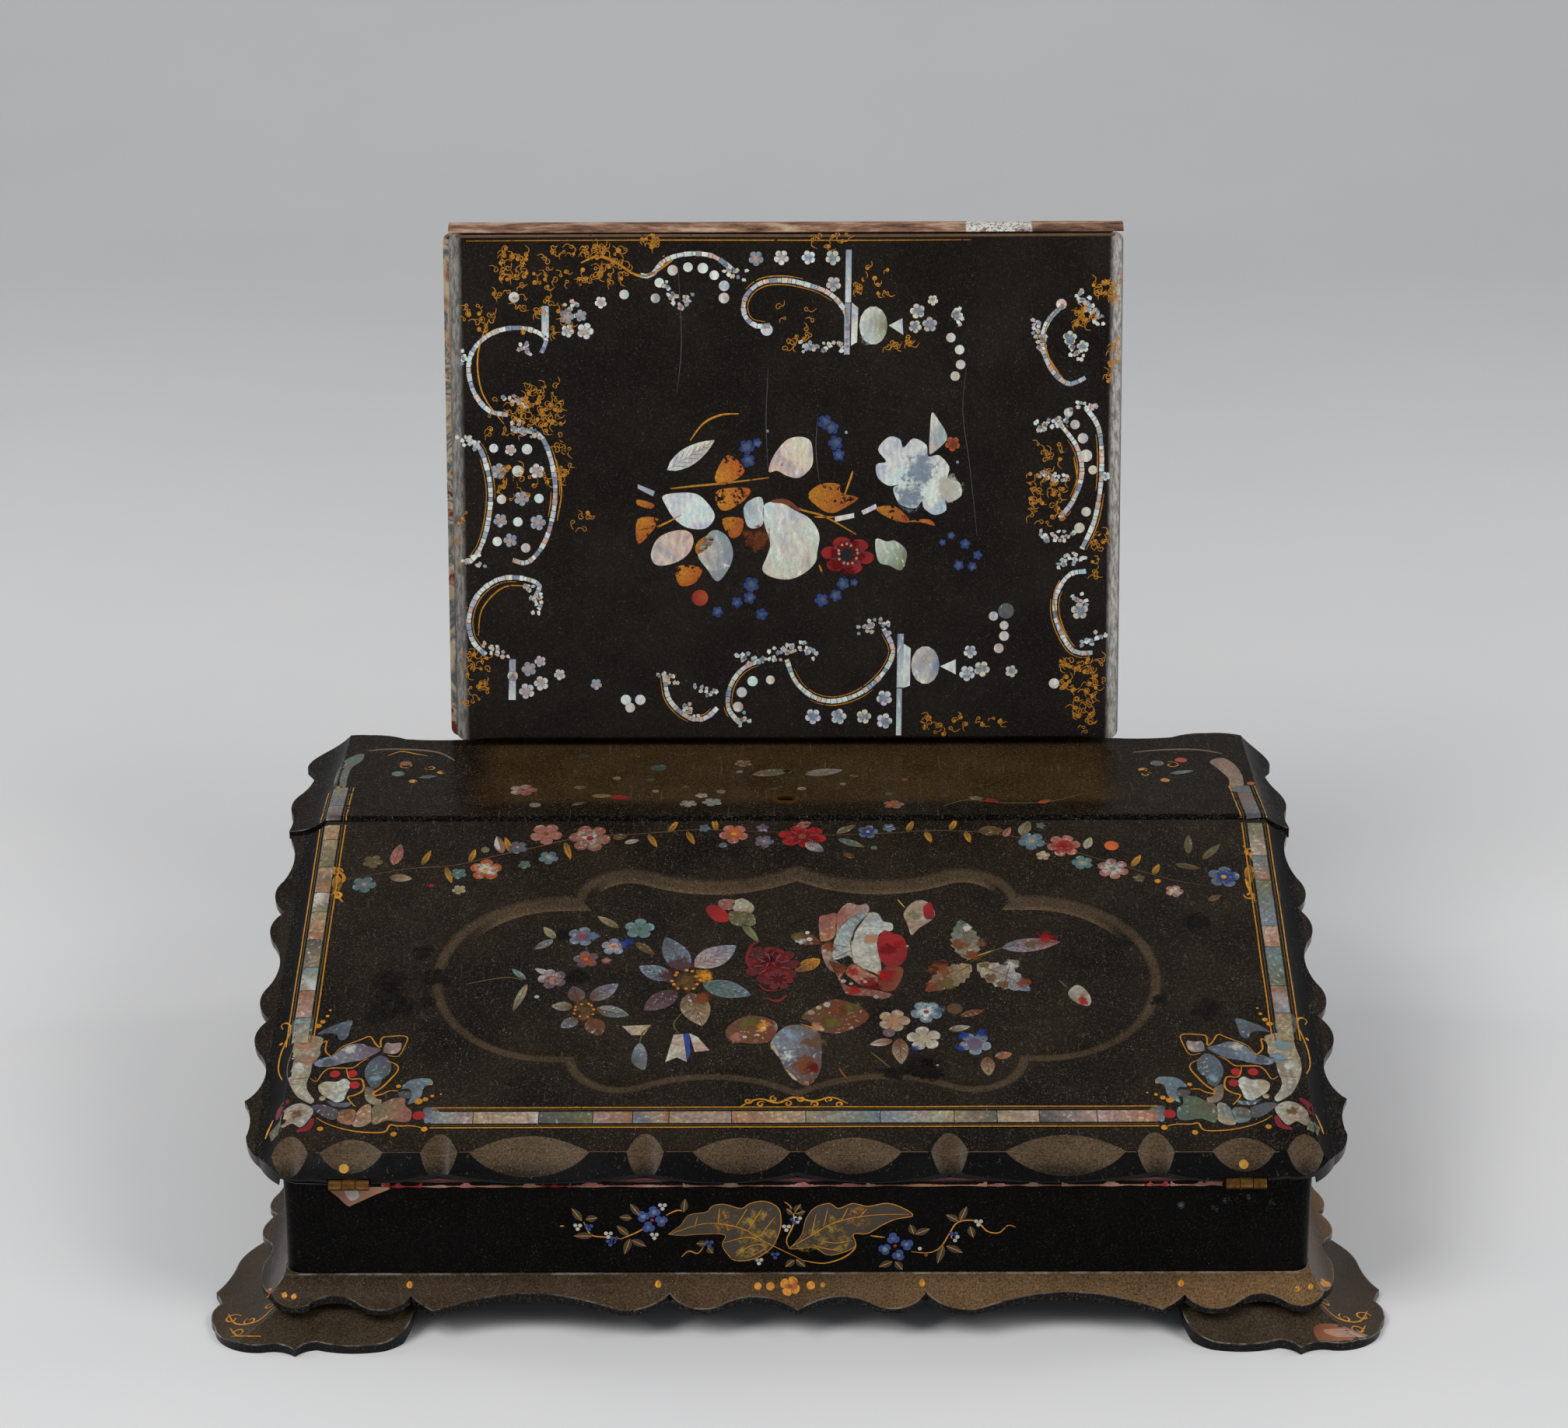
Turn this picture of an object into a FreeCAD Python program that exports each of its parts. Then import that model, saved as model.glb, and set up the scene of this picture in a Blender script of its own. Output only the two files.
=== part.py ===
import FreeCAD, Part
import os
from math import sin, cos, tan, radians, sqrt

V = FreeCAD.Vector

# ---------------------------------------------------------------------------
# Driving dimensions, in millimetres and degrees.
# Building frame: X across, Y backwards from the front face of the case,
# Z up from the table. Everything is centred on its bounding box at the end.
# ---------------------------------------------------------------------------
CASE_WIDTH = 360.0
CASE_DEPTH = 260.0
CASE_BOTTOM = 10.5
CASE_CORNER = 6.0
FRONT_WALL_TOP = 58.7
SLOPE_ANGLE = 16.1
FLAP_LONG = 81.3
WALL = 7.0
FLOOR = 5.0

LEAF_THICK = 7.1
FLAP_THICK = 8.6
LID_GAP = 0.3
LEAF_TO_FLAP = 0.6
MARGIN_START = 1.5
MARGIN_REACH = 19.0
MARGIN_LOW = 10.4
MARGIN_SWELL = 15.8
MARGIN_DROP = 5.4
MARGIN_EDGE = 3.0
LIP_INSIDE = 0.9
LIP_DROP = 3.4
FLAP_NOSE = 2.5
LID_ASKEW = 2.8
RIDGE_BACK = 7.2
FACET_ANGLE = 70.0

PANEL_SHARE = 0.70
PANEL_DEPTH = 1.4
PANEL_BEVEL = 8.0

SKIRT_TOP = 21.5
SKIRT_LOW = 7.0
SKIRT_EDGE = 3.8
SKIRT_REACH = 16.0
FOOT_REACH = 29.0
FOOT_LAND = 12.0

HINGE_INSET = 24.0
REAR_HINGE_INSET = 60.0
HINGE_WIDTH = 14.0
HINGE_OUT = 2.6
HINGE_PLATE = 1.1
HINGE_PLATE_LONG = 5.6
BARREL_R = 1.9
PIN_R = 0.8
FIT = 0.06
ROD_SIDES = 12
DISC_SIDES = 24

DIVIDER_THICK = 5.0
BOARD_THICK = 4.0
PAD_THICK = 1.2
BOARD_DOWN = 1.0
BOARD_START = 8.4
RUNNER_WIDE = 6.0
RUNNER_DEEP = 4.7

TRAY_BOTTOM = 58.0
TRAY_BELOW_LOCK = 3.3
TRAY_WALL = 3.0
BEARER = 5.0
INK_CELL = 42.0
PEN_TROUGH_DEEP = 17.0
PEN_TROUGH_SIDE = 14.0

BOTTLE = 38.0
BOTTLE_TALL = 28.0
NECK = 25.0
NECK_TALL = 5.0
INK_BORE_R = 10.0
COLLAR = 30.0
CAP_TALL = 5.0
CAP_KNUCKLE_R = 1.3

LOCK_X = -4.0
LOCK_BACK = 18.0
LOCK_WIDE = 42.0
LOCK_LONG = 24.0
LOCK_DEEP = 9.0
LOCK_WALL = 1.0
BOLT_WIDE = 11.4
BOLT_HIGH = 3.8
BOLT_THROW = 9.6
STAPLE_THICK = 2.5
ESCUTCHEON_R = 5.5
ESCUTCHEON_SUNK = 0.6
KEYHOLE_R = 2.0
KEYHOLE_LONG = 3.2

FOLIO_WIDE = 267.5
FOLIO_TALL = 203.5
FOLIO_ASIDE = 3.4
FOLIO_PILLOW = 16.0
FOLIO_FALL = 1.2
FOLIO_COVER = 3.4
FOLIO_LEAVES = 6.8
FOLIO_GAP = 0.3
FOLIO_LEAN = 12.0
FOLIO_BEHIND = 5.0
FOLIO_SHIFT = 3.0
SPINE_BULGE = 3.8

# ---------------------------------------------------------------------------
# Sizes that follow from the ones above.
# ---------------------------------------------------------------------------
slope = radians(SLOPE_ANGLE)
half_case = CASE_WIDTH / 2
slope_end = CASE_DEPTH - FLAP_LONG
leaf_long = slope_end / cos(slope)
flat_top = FRONT_WALL_TOP + slope_end * tan(slope)
flap_top = flat_top + FLAP_THICK
divider_front = slope_end - DIVIDER_THICK / 2
divider_back = slope_end + DIVIDER_THICK / 2
board_end = leaf_long - 10.0
tray_top = flat_top - LOCK_DEEP - TRAY_BELOW_LOCK
hinge_x = half_case - HINGE_INSET
rear_hinge_x = half_case - REAR_HINGE_INSET
far_x = half_case + 60
inner_x = half_case - WALL
folio_thick = 2 * FOLIO_COVER + FOLIO_LEAVES + 2 * FOLIO_GAP


# ---------------------------------------------------------------------------
# Helpers
# ---------------------------------------------------------------------------
def box(x0, x1, y0, y1, z0, z1):
    return Part.makeBox(x1 - x0, y1 - y0, z1 - z0, V(x0, y0, z0))


def round_outline(radius, x, y, sides):
    """Corners of a many-sided outline that stands for a small circle."""
    turns = [radians(360.0 * i / sides) for i in range(sides)]
    return [(x + radius * cos(a), y + radius * sin(a)) for a in turns]


def rod(radius, x0, x1, y, z):
    """Thin bar along X."""
    return across(round_outline(radius, y, z, ROD_SIDES), x0, x1)


def disc(radius, x, y, z0, z1, sides=DISC_SIDES):
    """Small upright round piece."""
    return upright(round_outline(radius, x, y, sides), z0, z1)


def chain(points, at):
    """Edges through the points; a triple (a, 'arc', b) bends through its middle point."""
    edges = []
    i = 0
    while i < len(points) - 1:
        here = at(points[i])
        if len(points[i + 1]) == 3:
            edges.append(Part.Arc(here, at(points[i + 1]), at(points[i + 2])).toShape())
            i += 2
        else:
            edges.append(Part.LineSegment(here, at(points[i + 1])).toShape())
            i += 1
    return edges


def face(points, at):
    """Closed flat face from a chain of points; a point with a third item is the middle of an arc."""
    closed = points + [points[0]]
    return Part.Face(Part.Wire(chain(closed, at)))


def across(points, x0, x1):
    """Solid from a (y, z) outline, drawn out along X."""
    return face(points, lambda p: V(x0, p[0], p[1])).extrude(V(x1 - x0, 0, 0))


def along(points, y0, y1):
    """Solid from an (x, z) outline, drawn out along Y."""
    return face(points, lambda p: V(p[0], y0, p[1])).extrude(V(0, y1 - y0, 0))


def upright(points, z0, z1):
    """Solid from an (x, y) outline, drawn out along Z."""
    return face(points, lambda p: V(p[0], p[1], z0)).extrude(V(0, 0, z1 - z0))


def flipped(points, x=1, y=1, middle=0.0):
    """The outline mirrored left to right or front to back, read the other way round."""
    out = []
    for p in reversed(points):
        out.append((x * p[0], middle + y * (p[1] - middle)) + tuple(p[2:]))
    return out


def whole(right_half):
    """Closed outline from its right half, which starts and ends on the centre line."""
    return right_half + flipped(right_half, x=-1)[1:-1]


def on_slope(shape):
    """From the flat working plane of the slope to its place on the case."""
    moved = shape.copy()
    moved.rotate(V(0, 0, 0), V(1, 0, 0), SLOPE_ANGLE)
    moved.translate(V(0, 0, FRONT_WALL_TOP))
    return moved


def shifted(shape, x=0.0, y=0.0, z=0.0):
    moved = shape.copy()
    moved.translate(V(x, y, z))
    return moved


def one(shapes):
    """Several separate solids of one kind under one name."""
    return Part.makeCompound(shapes)


# ---------------------------------------------------------------------------
# Hinges: small brass butts, three knuckles on one pin
# ---------------------------------------------------------------------------
def butt_hinge():
    """Lying on the plane z = 0 with the wall face at y = 0: fixed half with its pin, and moving half."""
    third = HINGE_WIDTH / 6
    end = HINGE_WIDTH / 2
    axis_z = -LID_GAP / 2
    slit = 0.15
    fixed = box(-end, end, 0.2, HINGE_PLATE_LONG, -LID_GAP - HINGE_PLATE, -LID_GAP)
    moving = box(-end, end, 0.2, HINGE_PLATE_LONG, 0, HINGE_PLATE)
    for x0, x1 in ((-end, -third - slit), (third + slit, end)):
        fixed = fixed.fuse(rod(BARREL_R, x0, x1, -HINGE_OUT, axis_z))
        fixed = fixed.fuse(box(x0, x1, -HINGE_OUT, 0.3, -LID_GAP - HINGE_PLATE, -LID_GAP))
    moving = moving.fuse(rod(BARREL_R, -third + slit, third - slit, -HINGE_OUT, axis_z))
    moving = moving.fuse(box(-third + slit, third - slit, -HINGE_OUT, 0.3, 0, HINGE_PLATE))
    bore = rod(PIN_R + FIT, -end, end, -HINGE_OUT, axis_z)
    pin = rod(PIN_R, -third - slit, third + slit, -HINGE_OUT, axis_z)
    return fixed.fuse(pin), moving.cut(bore)


def hinge_bed(depth):
    """Room that a lid leaves for the barrel and for its plate."""
    end = HINGE_WIDTH / 2 + 0.2
    barrel = rod(BARREL_R + 0.4, -end - 0.4, end + 0.4, -HINGE_OUT, -LID_GAP / 2)
    plate = box(-end, end, -HINGE_OUT, HINGE_PLATE_LONG + 0.2, 0, depth)
    return barrel.fuse(plate)


def front_pair(shape):
    """The same piece at both front hinges."""
    return [on_slope(shifted(shape, x)) for x in (-hinge_x, hinge_x)]


def rear_pair(shape):
    """The same piece at both rear hinges, turned to face forwards."""
    turned = shape.copy()
    turned.rotate(V(0, 0, 0), V(0, 0, 1), 180)
    return [shifted(turned, x, CASE_DEPTH, flat_top) for x in (-rear_hinge_x, rear_hinge_x)]


# ---------------------------------------------------------------------------
# Case: wedge-shaped body, skirt and feet
# ---------------------------------------------------------------------------
def rounded_block(inset, z0, z1, corner):
    """Upright block with rounded corners, set in from the faces of the case."""
    x = half_case - inset
    y0 = inset
    y1 = CASE_DEPTH - inset
    block = box(-x, x, y0, y1, z0, z1)
    posts = [e for e in block.Edges if abs(e.tangentAt(e.FirstParameter).z) > 0.9]
    return block.makeFillet(corner, posts)


def below_lid(down):
    """Everything under the lid line, lowered by the given amount."""
    drop = down / cos(slope)
    return across([
        (-30, -10), (CASE_DEPTH + 30, -10), (CASE_DEPTH + 30, flat_top - drop),
        (slope_end, flat_top - drop), (-30, FRONT_WALL_TOP - 30 * tan(slope) - drop),
    ], -half_case - 30, half_case + 30)


def case_shell():
    body = rounded_block(0, CASE_BOTTOM, flat_top + 5, CASE_CORNER).common(below_lid(LID_GAP))
    body = body.cut(rounded_block(WALL, CASE_BOTTOM + FLOOR, flat_top + 10, 2.0))
    end = HINGE_WIDTH / 2 + 0.2
    bed = box(-end, end, -1, HINGE_PLATE_LONG + 0.2, -LID_GAP - HINGE_PLATE - 0.05, 1)
    for cutter in front_pair(bed) + rear_pair(bed):
        body = body.cut(cutter)
    return body.cut(on_slope(lining_bed()))


def lining_bed():
    """Shallow rebate along the top of the front wall, between the hinges."""
    end = hinge_x - HINGE_WIDTH
    return box(-end, end, -3, WALL - 0.6, -1.25, 1)


def front_lining():
    """Strip of velvet that shows as a red line along the hinge joint."""
    end = hinge_x - HINGE_WIDTH - 0.3
    return on_slope(box(-end, end, 0.1, WALL - 0.9, -1.25, -0.35))


def flare(profile, middle_y):
    """Flared ring with mitred corners: profile holds (reach, z) points from the edge to the top."""
    def mirrored(half_span, centre):
        near = [(centre - half_span - p[0], p[1]) + tuple(p[2:]) for p in profile]
        far = [(centre + half_span + p[0], p[1]) + tuple(p[2:]) for p in reversed(profile)]
        return near + far
    sides = along(mirrored(half_case, 0), -60, CASE_DEPTH + 60)
    ends = across(mirrored(CASE_DEPTH / 2, middle_y), -half_case - 60, half_case + 60)
    return sides.common(ends)


def spread(points):
    """Front edge points given as (share of the half width, reach forwards)."""
    return [(p[0] * half_case, -p[1]) + tuple(p[2:]) for p in points]


def beside(points):
    """Side points given as (reach beyond the case side, place along it)."""
    return [(half_case + p[0], p[1]) + tuple(p[2:]) for p in points]


def skirt_outline():
    """Scalloped edge of the skirt seen from above, one quarter mirrored twice.

    Along the front each point is a share of the half width and one of the skirt's reach; along
    the side, a share of the reach and one of the half depth.
    """
    middle = CASE_DEPTH / 2
    along_front = [
        (0, 0.66), (0.08, 0.375, 'arc'), (0.14, 0.49), (0.195, 0.625, 'arc'), (0.25, 0.31),
        (0.30, 0.60, 'arc'), (0.345, 0.66), (0.53, 0.31, 'arc'), (0.71, 0.66), (0.735, 0.50, 'arc'),
        (0.755, 0.35), (0.81, 0.64, 'arc'), (0.86, 0.475), (0.905, 0.34, 'arc'), (0.945, 0.45),
    ]
    along_side = [
        (-0.06, -0.069, 'arc'), (0.28, -0.042), (0.625, 0.06, 'arc'), (0.705, 0.18),
        (0.59, 0.25, 'arc'), (0.78, 0.31), (0.94, 0.36, 'arc'), (0.71, 0.455),
        (0.925, 0.515, 'arc'), (0.78, 0.585), (0.60, 0.73, 'arc'), (0.78, 0.86),
        (0.94, 0.93, 'arc'), (0.71, 1.0),
    ]
    quarter = spread([(p[0], p[1] * SKIRT_REACH) + tuple(p[2:]) for p in along_front])
    quarter += beside([(p[0] * SKIRT_REACH, p[1] * middle) + tuple(p[2:]) for p in along_side])
    return whole(quarter + flipped(quarter, y=-1, middle=middle)[1:])


def base_skirt():
    middle = CASE_DEPTH / 2
    rise = SKIRT_TOP - SKIRT_LOW
    wide = 1.25 * SKIRT_REACH
    outside = flare([(SKIRT_REACH, SKIRT_LOW), (SKIRT_REACH, SKIRT_LOW + SKIRT_EDGE),
                     (0.375 * SKIRT_REACH, SKIRT_LOW + 0.57 * rise, 'arc'),
                     (0.05 * SKIRT_REACH, SKIRT_TOP)], middle)
    hollow = flare([(wide, SKIRT_LOW - 1), (wide, SKIRT_LOW),
                    (0.5 * SKIRT_REACH, SKIRT_LOW + 0.29 * rise), (0, SKIRT_LOW + 0.58 * rise)], middle)
    ring = outside.cut(hollow).common(upright(skirt_outline(), 0, SKIRT_TOP + 1))
    return ring.cut(rounded_block(-FIT, 0, SKIRT_TOP + 1, CASE_CORNER + FIT))


def foot_outline():
    """Scalloped bracket foot at the front right corner, in shares of its reach, seen from above."""
    shares = [
        (-1.55, -0.035), (-1.45, -0.38, 'arc'), (-1.21, -0.59), (-0.86, -0.64, 'arc'),
        (-0.41, -0.56), (-0.25, -0.61, 'arc'), (-0.155, -0.71), (0.02, -0.61, 'arc'),
        (0.24, -0.615), (0.67, -0.5, 'arc'), (0.89, -0.14), (0.965, 0.14, 'arc'),
        (0.88, 0.415), (0.93, 0.54, 'arc'), (0.985, 0.67), (0.86, 1.0, 'arc'),
        (0.81, 1.31), (0.58, 1.79, 'arc'), (0.035, 2.0), (-0.275, 1.965),
        (-0.83, 0.83, 'arc'), (-1.585, 0.275),
    ]
    return beside([(p[0] * FOOT_REACH, p[1] * FOOT_REACH) + tuple(p[2:]) for p in shares])


def foot_front_right():
    middle = CASE_DEPTH / 2
    outside = flare([(FOOT_REACH, 0.0), (FOOT_REACH, 2.4), (13.0, 4.7, 'arc'), (4.0, 9.0),
                     (0.0, CASE_BOTTOM)], middle)
    hollow = flare([(FOOT_LAND, -1.0), (FOOT_LAND, 0.0), (4.0, 5.0), (-8.0, 6.0)], middle)
    return outside.cut(hollow).common(upright(foot_outline(), -1, 20))


def feet():
    first = foot_front_right()
    left = first.mirror(V(0, 0, 0), V(1, 0, 0))
    middle = V(0, CASE_DEPTH / 2, 0)
    return {
        "foot_front_right": first,
        "foot_front_left": left,
        "foot_rear_right": first.mirror(middle, V(0, 1, 0)),
        "foot_rear_left": left.mirror(middle, V(0, 1, 0)),
    }


# ---------------------------------------------------------------------------
# Lid: sloping leaf with its sunken cartouche, and flat rear flap
# ---------------------------------------------------------------------------
def margin_section(thick):
    """Section across a lid: flat middle and coved margins that sweep down to a thin edge."""
    edge = thick - MARGIN_DROP
    right = beside([
        (MARGIN_START, thick), (MARGIN_START + 5.7, thick - 3.9, 'arc'), (MARGIN_REACH, edge),
        (MARGIN_REACH, edge - MARGIN_EDGE), (8.0, edge - MARGIN_EDGE - 1.0),
        (LIP_INSIDE, -LIP_DROP), (LIP_INSIDE, 0),
    ])
    return right + flipped(right, x=-1)


def wave(centre, span):
    """Two rounded lobes with a sharp notch between, as side points around the centre."""
    return beside([
        (MARGIN_LOW + 3.0, centre - 0.3 * span), (MARGIN_SWELL, centre - 0.15 * span, 'arc'),
        (MARGIN_LOW + 0.8, centre), (MARGIN_SWELL, centre + 0.15 * span, 'arc'),
        (MARGIN_LOW + 3.0, centre + 0.3 * span),
    ])


def leaf_outline():
    """Scalloped edge of the slope leaf in its own plane."""
    span = leaf_long / 3.1
    right = spread([
        (0, -0.9), (0.145, 2.2, 'arc'), (0.295, -0.9), (0.495, 2.2, 'arc'), (0.695, -0.9),
        (0.83, 2.0, 'arc'), (0.945, 0.6),
    ])
    right += beside([
        (1.5, 1.2, 'arc'), (8, 8), (12.2, 13.5, 'arc'), (14, 20), (13.3, 28, 'arc'),
        (16.3, 38), (10.0, 0.85 * span, 'arc'),
    ])
    right += wave(1.35 * span, span)
    right += beside([(MARGIN_LOW, 1.85 * span, 'arc')])
    right += wave(2.35 * span, span)
    right += beside([(MARGIN_LOW, 2.85 * span, 'arc'), (12.8, 3.07 * span), (12.8, 3.5 * span)])
    right += [(0, 3.5 * span)]
    return askew(whole(right))


def askew(points):
    """The scalloped edges drift a little to the left towards the back, as handwork does."""
    return [(p[0] - LID_ASKEW * min(p[1] / leaf_long, 1.0),) + tuple(p[1:]) for p in points]


def flap_outline():
    """Scalloped edge of the rear flap, seen from above."""
    start = slope_end
    back = CASE_DEPTH
    right = [(0, start - 20)] + beside([
        (13.4, start - 20), (13.8, start + 0.02 * FLAP_LONG),
        (13.3, start + 0.11 * FLAP_LONG, 'arc'), (13.9, start + 0.19 * FLAP_LONG),
        (MARGIN_SWELL, start + 0.33 * FLAP_LONG, 'arc'), (13.9, start + 0.45 * FLAP_LONG),
        (MARGIN_LOW, start + 0.60 * FLAP_LONG, 'arc'), (10.0, start + 0.71 * FLAP_LONG),
        (14.2, start + 0.80 * FLAP_LONG), (12.6, start + 0.91 * FLAP_LONG, 'arc'),
        (6.5, back + 1), (-1, back + 4.6, 'arc'), (-9, back + 4.9), (-18, back + 3.6, 'arc'),
        (-24, back + 0.4), (-38, back - 0.9, 'arc'), (-52, back + 0.4), (-60, back + 7, 'arc'),
        (-70, back + 8.4),
    ])
    far = [(0.40, 10.2, 'arc'), (0.22, 7.4), (0.11, 10.2, 'arc'), (0, 7.4)]
    right += [(p[0] * half_case, back + p[1]) + tuple(p[2:]) for p in far]
    return askew(whole(right))


def cartouche(inset, z):
    """Wire of the sunken panel: round ends, humps with a step, and pointed middles."""
    unit = PANEL_SHARE * leaf_long / 2
    lobe_x = 0.49 * half_case
    hump_x = 0.35 * half_case
    hollow_x = 0.172 * half_case
    hump_y = 0.622 * unit
    lobe = 0.714 * unit - inset
    hump_full = 0.338 * unit
    hollow_full = 0.865 * unit
    hump = hump_full - inset
    hollow = hollow_full + inset
    hollow_y = hump_y + sqrt((hump_full + hollow_full) ** 2 - (hump_x - hollow_x) ** 2)
    turn = hump / (hump_full + hollow_full)
    meet = (hump_x + turn * (hollow_x - hump_x), hump_y + turn * (hollow_y - hump_y))
    step = hump_x + sqrt(hump ** 2 - (lobe - hump_y) ** 2)
    crest = (hump_x + hump * 0.4, hump_y + hump * sqrt(1 - 0.16), 'arc')
    sag = hollow_x - 0.1 * hollow
    dip = (sag, hollow_y - sqrt(hollow ** 2 - (hollow_x - sag) ** 2), 'arc')
    point = (0, hollow_y - sqrt(hollow ** 2 - hollow_x ** 2))
    quarter = [(lobe_x, lobe), (step, lobe), crest, meet, dip, point]
    upper = quarter + flipped(quarter, x=-1)[1:]
    left_end = [(-lobe_x - lobe, 0, 'arc')]
    right_end = [(lobe_x + lobe, 0, 'arc')]
    ring = upper + left_end + flipped(upper, y=-1) + right_end + [upper[0]]
    centre = 0.525 * leaf_long
    return Part.Wire(chain(ring, lambda p: V(p[0], centre + p[1], z)))


def sunken_panel():
    """Cutter for the cartouche: a shallow pan with wide sloping sides."""
    above = 0.35
    widen = PANEL_BEVEL * above / PANEL_DEPTH
    top = cartouche(-widen, LEAF_THICK + above)
    floor = cartouche(PANEL_BEVEL, LEAF_THICK - PANEL_DEPTH)
    return Part.makeLoft([top, floor], True, True)


def slope_leaf():
    beyond = leaf_long + 30
    sides = along(margin_section(LEAF_THICK), -12, beyond)
    front = across([
        (beyond, -12), (beyond, LEAF_THICK), (2.1 * RIDGE_BACK, LEAF_THICK), (RIDGE_BACK, 6.0),
        (2.4, 3.4, 'arc'), (-1.6, 0.9), (-2.6, 0), (-2.6, -12),
    ], -far_x, far_x)
    leaf = sides.common(front).common(upright(leaf_outline(), -12, 12))
    leaf = leaf.cut(sunken_panel())
    for facet in front_facets():
        leaf = leaf.cut(facet)
    leaf = leaf.cut(leaf_pad_bed())
    for x in (-hinge_x, hinge_x):
        leaf = leaf.cut(shifted(hinge_bed(HINGE_PLATE + 0.1), x))
    placed = on_slope(leaf)
    in_front = box(-far_x, far_x, -60, slope_end - LEAF_TO_FLAP / 2, -20, flap_top + 60)
    return placed.common(in_front).cut(staple_flange(0.1))


def front_facet(x, half_long, bite):
    """Hollow that cuts a lens out of the ridge along the front edge of the leaf."""
    radius = (half_long ** 2 + bite ** 2) / (2 * bite)
    bar = Part.makeCylinder(radius, 40, V(0, 0, -20))
    bar.translate(V(0, bite - radius, 0))
    bar = bar.common(box(-half_long - 1, half_long + 1, -3, 2, -10, 10))
    bar.rotate(V(0, 0, 0), V(1, 0, 0), -FACET_ANGLE)
    return shifted(bar, x, RIDGE_BACK, 6.0)


def front_facets():
    """Long lenses over the lobes of the front edge and short ones over its notches."""
    cuts = []
    for share, half_long, bite in ((0.108, 17, 1.3), (0.52, 21, 1.5), (0.865, 11, 1.2),
                                   (0.295, 6.5, 1.7), (0.695, 6.5, 1.7), (0.985, 6.5, 1.5)):
        for side in (-1, 1):
            cuts.append(front_facet(side * share * half_case, half_long, bite))
    return cuts


def leaf_pad_bed():
    side = inner_x - 5
    return box(-side, side, 12, leaf_long - 20, -1, PAD_THICK)


def leaf_velvet():
    side = inner_x - 5.1
    return on_slope(box(-side, side, 12.1, leaf_long - 20.1, 0.15, PAD_THICK))


def rear_flap():
    front = slope_end + LEAF_TO_FLAP / 2
    behind = CASE_DEPTH + 30
    sides = along(margin_section(FLAP_THICK), front, behind)
    section = across([
        (front, -12), (front, FLAP_THICK - FLAP_NOSE), (front + 0.75, FLAP_THICK - 0.75, 'arc'),
        (front + FLAP_NOSE, FLAP_THICK), (behind, FLAP_THICK), (behind, 0), (CASE_DEPTH + 1, 0),
        (CASE_DEPTH + 1, -12),
    ], -far_x, far_x)
    flap = sides.common(section).common(upright(flap_outline(), -12, 12))
    flap = shifted(flap, z=flat_top)
    for cutter in rear_pair(hinge_bed(HINGE_PLATE + 0.1)):
        flap = flap.cut(cutter)
    recess = disc(ESCUTCHEON_R + 0.05, LOCK_X, lock_y(), flap_top - ESCUTCHEON_SUNK, flap_top + 1)
    return flap.cut(recess).cut(keyhole(flat_top - 1, flap_top + 1, 0.3))


# ---------------------------------------------------------------------------
# Lock under the flap: one turn of the key shuts flap and leaf onto the case
# ---------------------------------------------------------------------------
def lock_y():
    return slope_end + LOCK_BACK


def keyhole(z0, z1, ease):
    """Slot of a keyhole, longer across than deep."""
    y = lock_y()
    r = KEYHOLE_R + ease
    left = LOCK_X - KEYHOLE_LONG / 2
    right = LOCK_X + KEYHOLE_LONG / 2
    slot = box(left, right, y - r, y + r, z0, z1)
    return slot.fuse(disc(r, left, y, z0, z1, ROD_SIDES)).fuse(disc(r, right, y, z0, z1, ROD_SIDES))


def escutcheon():
    z = flap_top - ESCUTCHEON_SUNK
    plate = disc(ESCUTCHEON_R, LOCK_X, lock_y(), z, z + 1.0)
    return plate.cut(keyhole(z - 1, z + 2, 0.0))


def lock_case():
    x0 = LOCK_X - LOCK_WIDE / 2
    y0 = divider_back + 0.7
    z0 = flat_top - LOCK_DEEP
    shell = box(x0, x0 + LOCK_WIDE, y0, y0 + LOCK_LONG, z0, flat_top)
    w = LOCK_WALL
    room = box(x0 + w, x0 + LOCK_WIDE - w, y0 + w, y0 + LOCK_LONG - w, z0 + w, flat_top - w)
    shell = shell.cut(room).cut(keyhole(flat_top - 2 * w, flat_top + 1, 0.0))
    mouth = bolt_mouth(y0 - 1, y0 + 3)
    pin = shifted(square(1.6, z0, z0 + LOCK_DEEP - w, 0.45), LOCK_X, lock_y())
    return shell.cut(mouth).fuse(pin)


def bolt_mouth(y0, y1):
    z = bolt_z()
    x = BOLT_WIDE / 2 + 0.35
    return box(LOCK_X - x, LOCK_X + x, y0, y1, z - BOLT_HIGH / 2 - 0.3, z + BOLT_HIGH / 2 + 0.3)


def bolt_z():
    return flat_top - LOCK_DEEP / 2


def lock_bolt():
    y0 = divider_back + 1.1
    z = bolt_z()
    half = BOLT_HIGH / 2
    shoulder = y0 + BOLT_THROW + 0.8
    bar = box(LOCK_X - BOLT_WIDE / 2, LOCK_X + BOLT_WIDE / 2, y0, shoulder + 0.6, z - half, z + half)
    tail = box(LOCK_X + 3.2, LOCK_X + 13, shoulder, y0 + LOCK_LONG - 3, z - 0.8, z + 0.8)
    talon = disc(2.6, LOCK_X + 3.2, lock_y(), z - 2, z + 2, ROD_SIDES)
    return bar.fuse(tail).cut(talon)


def staple_flange(ease):
    """Foot of the staple, let into the underside of the leaf."""
    x = 9.0 + ease
    y0 = divider_front - 0.5 - 12.0 - ease
    lower = below_lid(0.0)
    upper = below_lid(-1.2 - ease)
    patch = box(LOCK_X - x, LOCK_X + x, y0, divider_front - 0.5 + ease, 0, flap_top)
    return upper.cut(lower).common(patch)


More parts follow.
